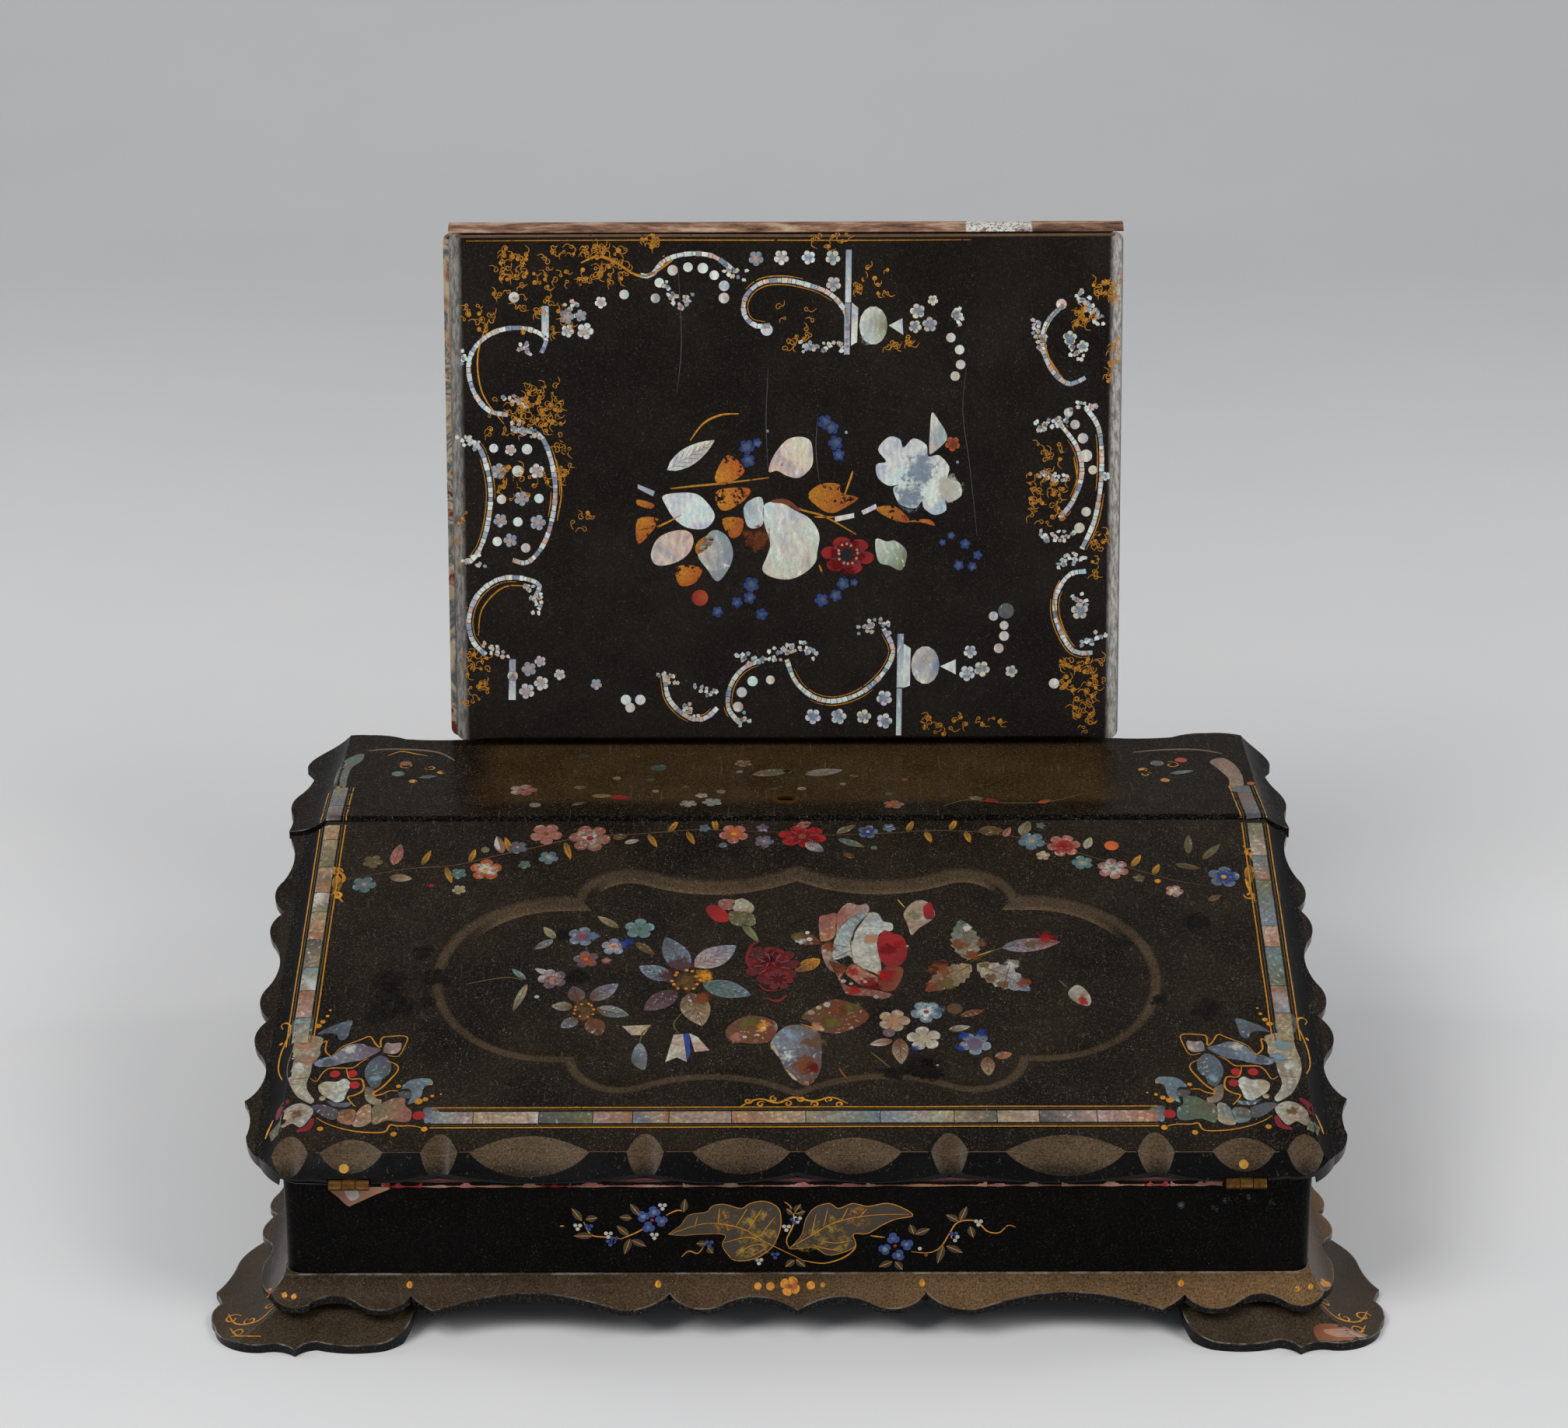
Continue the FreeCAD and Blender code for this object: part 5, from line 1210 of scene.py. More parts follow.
def lower_leaves(art):
    """Leaves below the rose and small blossoms."""
    art.blob([(-25.7, 70), (-20.8, 76.3), (-13.6, 77.4), (-7.2, 73.1), (-9.2, 64.6), (-16.3, 62.8),
             (-24.2, 64.9)], "brown", "rust")
    art.spot(-17.1, 73.7, 4.3, "olive")
    art.spot(-21.7, 66.3, 3.2, "rose")
    art.spot(-12.1, 72, 2.9, "gold")
    art.disc(-18.9, 66.2, 0.8, "white", level=3)
    art.disc(-14.8, 64.2, 1, "peach", level=3)
    art.disc(-12.1, 71, 0.8, "ice", level=3)
    art.blob([(-9.6, 62.5), (-4.2, 71.8), (3.7, 72), (8.1, 67.7), (8.8, 56.2), (7.8, 46.9), (3.6, 40),
             (-0.7, 43.8), (-4.2, 49), (-6.3, 55.2)], "steel", "brown")
    art.spot(3.3, 51, 5.3, "rust")
    art.spot(5.4, 50, 2.8, "crimson")
    art.spot(6.2, 63.5, 4.3, "brown")
    art.spot(-2, 67.8, 3.6, "steel")
    art.spot(-3.5, 56.3, 2.8, "ice")
    art.blob([(-9.6, 62.8), (-8.1, 61.5), (-6.3, 56.3), (-7.4, 56.8)], "yellow", "white", level=3)
    art.blob([(-4.2, 49), (-2.8, 48), (0, 43.8), (-1.4, 44.1)], "yellow", "white", level=3)
    art.disc(3.2, 41.8, 1.1, "peach", level=3)
    art.blob([(1.7, 77.3), (8.1, 83.5), (14.7, 86.4), (21.9, 83.1), (26.3, 77.2), (21.7, 71.4),
             (14.5, 68.1), (7.3, 69.9), (5, 74.1)], "brown", "rust")
    art.spot(14.6, 81, 4, "rust")
    art.spot(12.4, 74.1, 4.3, "olive")
    art.spot(19.7, 81.5, 3.6, "olive")
    art.spot(7.3, 71.4, 2.5, "peach")
    art.disc(5.2, 79.2, 1.4, "cream", level=3)
    for x, y, r in ((11, 83.5, 1.3), (9.1, 70.1, 0.9), (19.9, 71.1, 0.6)):
        art.disc(x, y, r, "white", level=3)
    art.disc(8, 81.8, 1, "cream", level=3)
    art.ribbon([(1.2, 73.1), (5.2, 71.5), (8, 69.9)], 0.4, "gold", level=3)
    art.ribbon([(26.5, 58.2), (30, 54.1), (33.4, 49.9)], 0.6, "olive")
    art.ribbon([(15, 50), (17.7, 43.3)], 0.8, "rust")
    art.flower(35.3, 74.9, 5.9, 5, "cream", "peach", eye=None)
    art.flower(47.2, 79.5, 5.9, 5, "sky", "ice", eye="rust")
    art.flower(45.9, 65.3, 6.3, 5, "white", "cream", eye=None)
    art.flower(64.3, 62.5, 5.9, 5, "steel", "mauve", eye=None)
    art.spot(51.8, 80.3, 2.5, "blue")
    for x, y, r in ((60.7, 66.3, 2.5), (66.8, 67.3, 2.5), (58.6, 60.2, 1.8), (42.9, 60.3, 1.8)):
        art.spot(x, y, r, "cobalt")
    art.disc(33.3, 68.5, 2.3, "mauve")
    art.disc(57.6, 81.2, 2.9, "brown")
    art.leaf(59.3, 77.3, 68.2, 80.3, 3.5, "brown", "rust")
    art.leaf(54.7, 69.9, 63, 71.6, 3.3, "brown", "white")
    art.leaf(34.6, 64.3, 26.2, 62.2, 3.9, "rust", "blush")
    art.leaf(37, 65.7, 37.4, 51.8, 6, "rust", "cream")
    art.leaf(68.3, 55.8, 68.4, 45.7, 5.1, "rust", "cream")
    art.leaf(71.1, 55.5, 77.4, 57.2, 4, "rust", "peach")
    art.spot(45.5, 49.9, 7.8, "ink", level=0)
    art.disc(50.3, 51.2, 0.5, "white", level=2)


def leaf_wear_and_ridge_light(art):
    """Rubbed places, the nails, and the line of the front edge: a brown gilt line painted as the highlight
    on its ridge.
    """
    for x, y, r in (
            (-149.7, 96, 6), (-148, 88, 6), (-143.2, 81, 5), (-132.9, 98.2, 5), (-138.2, 111.2, 4),
            (45.9, 47.6, 6), (34.7, 45.7, 5), (150, 128, 5)):
        art.spot(x, y, r, "ink", 0, 1.0)
    art.disc(-158, 2.3, 1.7, "gold", "yellow", layer="leafgold", level=3)
    art.disc(155.4, 3.2, 1.7, "gold", "yellow", layer="leafgold", level=3)
    # painted highlight: thin brown gilt line along the ridge of the front edge
    art.ribbon([(-168, 7.2), (-80, 7.4), (0, 7.2), (80, 7.0), (168, 6.8)], 0.22, "brown", layer="gold",
               taper=False)


def garland(art):
    """Garland along the far side of the leaf, gilt scrolls at its ends and on the near side."""
    art.flower(-161.7, 163.6, 3.9, 5, "olive", eye=None)
    art.leaf(-153.6, 161.5, -151.8, 174.2, 4.8, "pink", "rose")
    art.leaf(-154.7, 154.4, -145.8, 153.5, 4.5, "brown", "cream")
    art.flower(-163.9, 150.1, 4.7, 5, "teal", "blue")
    art.flower(-118.2, 158.7, 6.2, 5, "orange", "white")
    art.flower(-128.5, 156.4, 3.2, 5, "teal", eye=None)
    art.flower(-127.6, 147, 2.7, 5, "cream", eye=None)
    art.disc(-138.3, 149.5, 1, "red", layer="paint")
    art.leaf(-112.5, 168.4, -115.2, 178.8, 4.1, "rose", "green")
    art.disc(-119.2, 170.5, 1.7, "green")
    art.flower(-106.8, 171.9, 3.7, 5, "blue", "mauve")
    art.flower(-103.6, 161.6, 2.5, 5, "teal", eye=None)
    art.flower(-94.7, 165.7, 3.9, 5, "blue", "sky")
    art.flower(-96.3, 179.9, 6.3, 5, "pink", "rose", eye="rust")
    art.flower(-79.3, 177.2, 8, 6, "rose", "cream", eye="crimson")
    art.flower(-79.3, 177.2, 4.8, 5, "pink", "white", eye="red", level=2)
    art.leaf(-70.7, 177.5, -65, 178.6, 3.7, "olive", "brown")
    art.leaf(-66, 174.4, -60.3, 176.2, 2.7, "cream", "white")
    art.flower(-35.3, 183.3, 2.3, 5, "blue", eye=None)
    art.flower(-24, 179.7, 5.7, 5, "pink", "orange")
    art.disc(-28, 172.9, 1.6, "blue")
    art.flower(-12.9, 183.2, 2.5, 5, "mauve", eye=None)
    art.flower(-12.3, 175.1, 3.8, 5, "mauve", "blue")
    art.ribbon([(-171.5, 152.8), (-160.5, 156.2), (-146.1, 159.7), (-130.3, 161.4), (-115.9, 166.6),
               (-100.2, 171.9), (-82.2, 178.1), (-61.6, 179.8), (-38.7, 182.4), (-18, 181.4),
               (-2, 180.5)], 0.35, "brown", level=0)
    for x0, y0, x1, y1 in (
            (-142.8, 161.4, -140, 170.3), (-133.6, 160.5, -130.7, 150.9), (-124.7, 163.1, -123, 171.1),
            (-109.1, 168.4, -112, 178.2), (-88.9, 175.4, -86.2, 164.7), (-57, 179.8, -53.4, 171.7),
            (-49, 180.7, -45.7, 187.9), (-42.1, 181.5, -39.1, 173.4), (-30.7, 181.5, -31.9, 189.6)):
        art.leaf(x0, y0, x1, y1, 2.5, "olive", "gold", layer="gold")
    art.flower(2.4, 178.1, 9.5, 6, "red", "crimson", eye="rust", layer="paint", squash=0.7)
    art.leaf(3.6, 174.4, 10.6, 168.9, 5.2, "white", "blue", level=2)
    art.leaf(0.1, 183.7, 6, 186.5, 4, "pink", "rose", level=2)
    art.leaf(15.5, 179.9, 23.3, 185.1, 3.3, "green", "olive")
    art.leaf(16, 176.6, 26.4, 171.6, 3.5, "teal", "green")
    art.flower(27.7, 180.8, 4, 5, "blue", "cobalt")
    art.flower(35.9, 183.2, 2.6, 5, "blue", eye=None)
    art.disc(29.9, 171.2, 1.2, "teal")
    art.leaf(18.3, 167.9, 22.4, 165.2, 2.8, "brown", "rust")
    art.leaf(70.1, 181.2, 80.2, 181.5, 5.9, "brown", "olive")
    art.leaf(80, 177.5, 82.6, 183.4, 3.1, "pink", "rose")
    art.leaf(86.5, 178.7, 90.3, 187.1, 4.7, "cream", "green")
    art.flower(90.5, 175, 5.3, 5, "blue", "sky")
    art.flower(94.5, 184.3, 1.9, 5, "teal", eye=None)
    art.flower(102.7, 172.2, 6.5, 6, "pink", "red", eye="crimson")
    art.flower(94.4, 166.3, 2.8, 5, "cream", "white")
    art.leaf(110.9, 170.3, 113.4, 177.3, 3.5, "white", "cream")
    art.disc(121, 172.1, 2.8, "orange", layer="paint")
    art.flower(109.2, 162.1, 4.1, 5, "teal", "sky")
    art.flower(120.6, 158.4, 6.1, 6, "pink", "white", eye="green")
    art.flower(130.2, 152.9, 2.3, 5, "olive", eye=None)
    art.disc(137, 151.1, 1.2, "gold", layer="gold")
    art.flower(142.9, 145.2, 3.5, 5, "pink", "white")
    art.leaf(155.2, 139.4, 160.2, 143, 3, "olive", "brown")
    art.leaf(150, 166.9, 151, 178.5, 3.1, "olive", "green")
    art.leaf(155.1, 163.7, 162.7, 172.9, 3.3, "olive", "green")
    art.leaf(144.3, 161, 154, 158.3, 3.3, "olive", "brown")
    art.flower(162.3, 153.4, 6.1, 5, "blue", "cobalt")
    art.ribbon([(-7, 180), (11.9, 179), (33.3, 179.9), (54.7, 181.6), (75.9, 179.7), (94.6, 174.1),
               (110.6, 166.7), (126.5, 159.3), (142.3, 152), (156, 148.3)], 0.35, "brown", level=0)
    for x0, y0, x1, y1 in (
            (42.8, 180.8, 45.3, 187.3), (49.9, 181.3, 52, 174.2), (59.4, 181.6, 62, 188.2),
            (65.3, 181.2, 66.8, 174.2), (127.7, 159.3, 131.8, 166.6), (135.6, 154.7, 138.4, 161.1)):
        art.leaf(x0, y0, x1, y1, 2.6, "olive", "gold", layer="gold")
    art.curl(-174.8, 157.7, 2.3, width=1.2)
    art.curl(-173.5, 143.7, 2.2, turn=3, width=1.2)
    art.ribbon([(-177.4, 161.6), (-171.7, 154.2), (-174.9, 147.2), (-170.9, 139.9)], 1.5, "gold")
    art.leaf(-174.6, 155.9, -173.6, 144.8, 3.9, "gold", "olive", layer="gold")
    art.curl(173.6, 167.9, 2.4, width=1.2)
    art.curl(171.1, 142.7, 2.3, turn=3, width=1.2)
    art.ribbon([(171.6, 171.9), (175.5, 158.8), (170.8, 151.6), (173, 138.8)], 1.5, "gold")
    art.leaf(172.8, 160.7, 171.7, 149.1, 4, "gold", "olive", layer="gold")
    art.ribbon([(-20.6, 28.3), (-13.8, 32.6), (-6.9, 30.6), (-1.4, 33.4), (5.5, 31.4), (12.4, 33.3),
               (17.9, 30.1)], 1, "gold")
    for x, y, turn in (
            (-17.3, 31.5, 0), (-12.9, 29.9, 0.7), (-8.3, 32.6, 1.4), (-3.3, 30.2, 2.1), (1.4, 32.6, 2.8),
            (6.3, 29.8, 3.5), (11.3, 32.2, 4.2), (15.1, 29.8, 4.9)):
        art.curl(x, y, 1.5, turn=turn, width=0.7)


def leaf_art(art):
    """Bouquet in the cartouche of the leaf, and the garland behind it."""
    forget_me_nots(art)
    star_flowers(art)
    bells_and_bud(art)
    carnation(art)
    rose(art)
    rose_leaves(art)
    lower_leaves(art)
    leaf_wear_and_ridge_light(art)
    garland(art)


def acanthus(art):
    """Two brown acanthus leaves outlined in gold."""
    for outline, touches in (
            ([(-45.3, 36.9), (-41, 40.4), (-38, 44.5), (-31.9, 45.7), (-29.8, 48), (-25.7, 48.8),
              (-19.8, 47.1), (-16.5, 49.1), (-11.4, 49.9), (-6.8, 47.3), (-5.8, 42.7), (-6.3, 38),
              (-8.6, 32.2), (-11.5, 29.3), (-15.6, 26.9), (-21.8, 26.3), (-24.9, 29.3), (-26.4, 32.8),
              (-25.6, 36.7), (-34, 36.9), (-40.2, 36.4)], ((-17.6, 40.4, 6.1, "yellow"),
              (-12.5, 35.7, 6.2, "yellow"), (-11.4, 42.7, 4.1, "yellow"), (-17.7, 31, 5.1, "yellow"),
              (-25.8, 41.6, 5.1, "gold"))),
            ([(-2.8, 31), (1.4, 36.6), (2.9, 42.7), (6, 47.3), (11.1, 49), (14.3, 47), (19.2, 49),
              (24.4, 47.8), (31.5, 49), (37.7, 46.6), (40.2, 44), (34.6, 42.8), (29.5, 40.3), (24.4, 37),
              (19.5, 36.8), (20.3, 32.1), (15.2, 29.2), (10.1, 28.6), (6, 31.6), (1.3, 31)],
              ((7, 35.6, 5.6, "yellow"), (11.6, 39.7, 5.6, "yellow"), (3.9, 33.3, 4.1, "yellow"),
              (15.2, 33.3, 4.1, "yellow"), (21.3, 42.6, 5.1, "gold")))):
        art.blob(outline, "moss", layer="paint")
        for x, y, r, tint in touches:
            art.spot(x, y, r, tint, strength=0.35)
        art.ribbon(outline + outline[:1], 0.3, "gold", level=3)
    for line in (
            [(-44.3, 37.2), (-31.9, 41.3), (-19.7, 39.2), (-11.5, 33.9), (-5.3, 30.4), (1.8, 26.5)],
            [(-36.1, 39.5), (-35, 43.9)], [(-27.8, 41), (-27.3, 47.2)], [(-21.7, 39.8), (-17.6, 47.1)],
            [(-17.6, 38), (-12.4, 47.1)], [(-13.5, 35.7), (-7.9, 43.8)],
            [(-25.9, 33.4), (-17.6, 35.7), (-11.5, 33.4)], [(-21.8, 28.1), (-16.6, 32.2), (-11.5, 32.8)],
            [(-16.7, 27.7), (-12.5, 30.4), (-10.3, 32.2)],
            [(-3.3, 31.2), (3.9, 35.7), (13.1, 41.5), (25.4, 44.3), (38.7, 44.7)],
            [(4.9, 36.8), (6.5, 45)], [(9, 39.1), (10.6, 47.3)], [(15.2, 42), (17.7, 47.3)],
            [(21.3, 43.2), (24.4, 47)], [(7, 34.5), (13.1, 33.3), (19.3, 34.4)],
            [(4.9, 32.7), (10.1, 31), (14.2, 30.4)]):
        art.ribbon(line, 0.3, "gold", level=5)


def sprays(art):
    """Small leaves, blue trefoils and stems beside the acanthus."""
    leaves = (
        (-75.5, 42.3, -78.9, 47.3), (-74.1, 42.9, -70, 43.5), (-71.8, 36.3, -78.4, 36.3),
        (-58, 43.3, -62.2, 43.8), (-55.4, 44.6, -58.4, 48.9), (-59.2, 36.4, -63.3, 40.3),
        (-58.2, 34.6, -53.2, 32.1), (-58.7, 35.1, -60.8, 29), (-39.9, 45.6, -39.2, 50.9),
        (-32, 32.9, -35.5, 33.2), (-31.5, 31.6, -29.8, 29.2), (-1.2, 44.8, -3.9, 46.9),
        (-0.7, 45, 2.7, 45.9), (-1.2, 45, 1.1, 48.7), (-1.2, 26.5, -4.3, 23.7), (-0.6, 26.8, 2.7, 23.7),
        (56.3, 41.9, 52, 44.4), (56.8, 41.9, 59.1, 47.6), (60.3, 39.7, 61.6, 35.3), (51.1, 32, 49.2, 25),
        (52.2, 32, 58, 29.2), (41.2, 36.7, 46.3, 38.8), (40.8, 36.7, 39.4, 40.5),
        (33.2, 25.7, 28.6, 23.6), (34.3, 25.7, 36.9, 22.4))
    for x0, y0, x1, y1 in leaves:
        art.leaf(x0, y0, x1, y1, 2.7, "moss", layer="paint")
    for x0, y0, x1, y1 in leaves:
        art.ribbon([(x0, y0), (x1, y1)], 0.3, "gold", level=3)
    for petals, x, y in (
            (((-54, 44), (-50.2, 45.8), (-47.7, 42.2), (-52.2, 39.7)), -50.9, 42.6),
            (((30.6, 30.7), (33.5, 35), (38.4, 32.5), (35.4, 28.3)), 34.2, 32.1)):
        for px, py in petals:
            art.flower(px, py, 2.3, 3, "cobalt", eye=None, layer="paint", level=2)
        for px, py in petals:
            art.spot(px, py, 1, "sky", level=4)
        art.disc(x, y, 0.6, "red", layer="paint", level=5)
    for line in (
            [(-83.2, 40.2), (-81.7, 40.3)], [(-74.9, 41.9), (-72.5, 36.8), (-67.9, 35.8), (-62.3, 35.2)],
            [(-62.3, 34.9), (-56.4, 37.6), (-52.4, 40.2)], [(-46, 44.4), (-42.3, 46.3), (-39.6, 46)],
            [(-40.8, 27.8), (-38.2, 30.1), (-35.1, 29.2), (-33.1, 31.7)],
            [(1.8, 26.3), (9.1, 25.1), (16.2, 27.4), (20.3, 31.5), (19.3, 35)],
            [(-3.1, 31.5), (-3.9, 34.5), (-2, 39.2), (-1.2, 42.7), (-2.2, 47.3), (-4.5, 49.6)],
            [(25.5, 36.1), (30.6, 35.4)],
            [(39.9, 29.7), (46, 29.2), (50.1, 31.4), (53.1, 36.7), (56.1, 41.4), (62.3, 41.9),
             (66.4, 37.8), (70.6, 37.2), (73.6, 40.1), (76.3, 39.4)]):
        art.ribbon(line, 0.5, "gold")


def front_berries(art):
    """White and blue berries."""
    for x, y, tint in (
            (-77, 40, "white"), (-73.1, 39.8, "cobalt"), (-66.3, 36.8, "white"), (-65.7, 33.7, "cobalt"),
            (-64.3, 34.9, "cobalt"), (-47.2, 48, "white"), (-50.2, 36.3, "white"), (-31, 33.2, "cobalt"),
            (-1.2, 42.2, "cobalt"), (0, 42.7, "white"), (-7.9, 28.4, "cobalt"), (63.3, 41.3, "white"),
            (54.7, 36.5, "cobalt"), (55.2, 35.1, "white"), (-13.6, 26.1, "white"), (-3.9, 39.4, "white")):
        art.berries(x, y, tint)
    art.disc(42.9, 30.9, 0.7, "white", layer="paint")
    art.disc(45.1, 28.3, 0.6, "red", layer="paint")


def joint_and_knocks(art):
    """Frayed velvet of the front joint, and varnish knocked off the wall."""
    art.ribbon([(-162.5, 57), (-175, 57.4), (-179, 57.4)], 0.15, "slate", level=2)
    for x0, x1, tint in ((-145, -131, "red"), (-131, -112, "rose"), (-112, -89, "peach"), (-89, -79, "red"),
                         (-79, -40, "rose"), (-40, -12, "peach"), (-12, 24, "rose"), (24, 66, "peach"),
                         (66, 92, "rose"), (92, 121, "peach"), (121, 130, "red"), (130, 148, "rose")):
        art.ribbon([(x0 + (x1 - x0) * k / 5, 56.7 + 0.25 * sin(x0 + 2.4 * k)) for k in range(6)], 1.9, tint,
                   layer="velvet", level=4, taper=False)
    art.blob([(-163, 55.8), (-150, 55.9), (-142, 55.5), (-148, 52.5), (-155, 49), (-157, 48.4),
             (-160, 51.5)], "rust", "peach", layer="paint")
    art.blob([(-158, 54.6), (-154, 55.2), (-153, 52), (-156, 50.6)], "blush", "white", layer="paint",
             level=3)
    for x, z in ((157.8, 51.1), (155, 53.5), (150, 50), (146, 46.5), (134, 48), (166, 49)):
        art.spot(x, z, 1.6, "slate", strength=0.3)


def front_art(art):
    """Front wall of the case."""
    acanthus(art)
    sprays(art)
    front_berries(art)
    joint_and_knocks(art)


def skirt_art(art):
    """Gilt flowers and leaves spaced along the skirt."""
    art.flower(-2.7, 3.1, 3.6, 4, "gold", "orange", eye="brown", layer="gold")
    for x, y, r in ((-9.6, 3.1, 1.5), (-14, 3.2, 1.3), (4.6, 3.4, 1.5), (8.8, 3.6, 0.9)):
        art.disc(x, y, r, "gold", layer="gold")
    art.leaf(-49.1, 2.5, -49.1, 5.5, 2.1, "gold", layer="gold")
    art.leaf(43.6, 2.8, 43.8, 5.7, 2.1, "gold", layer="gold")
    art.leaf(-136.5, 2.6, -136.4, 5.3, 2.2, "gold", layer="gold")
    art.leaf(134.5, 2.5, 134.9, 5.3, 2.2, "gold", layer="gold")
    art.flower(-186.4, 2.4, 1.6, 4, "gold", "orange", eye="red", layer="gold")
    art.flower(186.3, 4.9, 2.5, 4, "gold", "orange", eye="rust", layer="gold")
    for x0, y0, x1, y1 in (
            (-180.4, -0.7, -180, 1.5), (-177.1, -1.3, -176.7, 1), (179.9, 1.5, 180.5, 3.8),
            (175.2, 0.7, 175.8, 3)):
        art.leaf(x0, y0, x1, y1, 1.9, "gold", layer="gold")


def flap_art(art):
    """Flap: what shows of its scattered flowers around the folio."""
    art.blob([(-181.7, 209.8), (-183.6, 222), (-182.1, 234.4), (-178.2, 242.3), (-174.2, 244.4),
             (-174.1, 237.5), (-177.4, 229.7), (-178, 218.9), (-178, 208.2)], "green", "teal")
    art.disc(-180.3, 209.8, 1.2, "gold")
    art.disc(-158.3, 223.4, 2.6, "teal")
    art.leaf(-149.7, 219.3, -142.5, 221.1, 3.1, "teal", "slate")
    art.disc(-156.4, 234.2, 2.4, "rust", layer="paint")
    art.disc(-141.3, 224.8, 1.7, "gold", layer="gold")
    art.disc(-151.7, 215.7, 1.7, "gold", layer="gold")
    art.ribbon([(-164.4, 242.2), (-159.4, 246.9), (-153.2, 244.3), (-148.2, 242.1)], 0.8, "gold")
    art.curl(-156.5, 231.8, 2.9, turn=1, width=0.7)
    art.curl(-145.9, 229.5, 2.4, turn=3, width=0.7)
    art.ribbon([(-172.7, 247.6), (-165.7, 249.5), (-153.6, 248.8), (-143.7, 245.5), (-137, 237.3)], 1.6,
               "brown", level=0)
    art.flower(-107.4, 206.3, 5.6, 5, "pink", "rose", eye="rust")
    art.disc(-101.8, 191.3, 2.3, "cream")
    art.leaf(-87.3, 191.2, -82.2, 194.1, 2.8, "cream", "olive")
    art.leaf(-80.2, 200.1, -72, 200.6, 4, "yellow", "cream")
    art.leaf(-73.1, 199.4, -63.7, 197.6, 4.2, "red", "crimson", layer="paint")
    art.leaf(-87.6, 208.6, -81.8, 209.7, 3.5, "cream", "brown")
    art.disc(-85.2, 241.6, 2.2, "slate")
    art.disc(-64.2, 241.5, 1.9, "olive")
    art.disc(-54.8, 228.9, 3.3, "teal")
    art.disc(-57.4, 216.6, 1.7, "green")
    art.disc(-71, 218.2, 1.7, "cream")
    art.disc(-55.2, 205, 1.4, "white")
    art.disc(-43.6, 208.9, 1.6, "olive")
    art.flower(-42, 192.4, 3.5, 5, "white", "cream")
    art.flower(-37, 200.4, 2.6, 5, "white", "cream")
    art.flower(-32.7, 193.8, 4, 5, "white", "sky")
    art.disc(-29.4, 204.3, 1.9, "cream")
    art.flower(-21, 233.4, 3.6, 5, "cream", "brown")
    art.disc(-22.3, 224.7, 1.4, "cream")
    art.leaf(-17.3, 221.6, -0.9, 226.4, 7.1, "cream", "green")
    art.leaf(-11.3, 206.3, -5.4, 208, 2.3, "olive", "green")
    art.leaf(3.6, 221.8, 18.8, 226.3, 7.1, "cream", "white")
    art.disc(-3.3, 225.2, 1.8, "cream")
    art.disc(2.3, 207.2, 1.8, "cream")
    art.disc(23.1, 220.1, 1.8, "brown")
    art.disc(18.6, 211.9, 1.3, "cream")
    art.disc(-6.1, 208.8, 1.3, "olive")
    art.disc(36.5, 201.5, 1.7, "slate")
    art.disc(58.3, 199.4, 1.7, "slate")
    art.disc(43.2, 216, 1.3, "orange")
    art.flower(38.1, 191, 4.2, 5, "pink", "orange", eye="rust")
    art.leaf(67.6, 198.1, 74.9, 195.5, 3.7, "cream", "green")
    art.leaf(72.4, 196.2, 79.7, 193.6, 3.7, "red", "crimson", layer="paint")
    art.leaf(94.5, 192.2, 100, 195.3, 3, "orange", "rust", layer="paint")
    art.ribbon([(57.3, 189.3), (67.4, 195.6), (82.2, 192.3), (99.6, 193.8), (112.6, 201.7)], 0.6, "olive",
               level=0)
    art.blob([(165.9, 234), (171.4, 238), (175.7, 230.6), (177.3, 217.4), (175.5, 204.5), (170.9, 204.5),
             (171.5, 215.8), (168.8, 225.7)], "peach", "cream")
    art.leaf(148.8, 221.6, 158.6, 224.8, 3.3, "teal", "sky")
    art.disc(144.7, 232.5, 2.8, "slate")
    art.disc(154.6, 235.8, 2.5, "red", layer="paint")
    art.disc(146.3, 215, 1.9, "gold", layer="gold")
    art.disc(138.4, 225.9, 1.9, "gold", layer="gold")
    art.disc(179.8, 211.5, 1.6, "orange", layer="gold")
    art.ribbon([(136.2, 244.3), (149.3, 246.9), (162.1, 246.9), (171.9, 242.7)], 1.6, "brown", level=0)
    art.curl(150.3, 230.8, 3.3, turn=2, width=0.7)
    art.curl(139.3, 221, 2.3, turn=0.3, width=0.7)


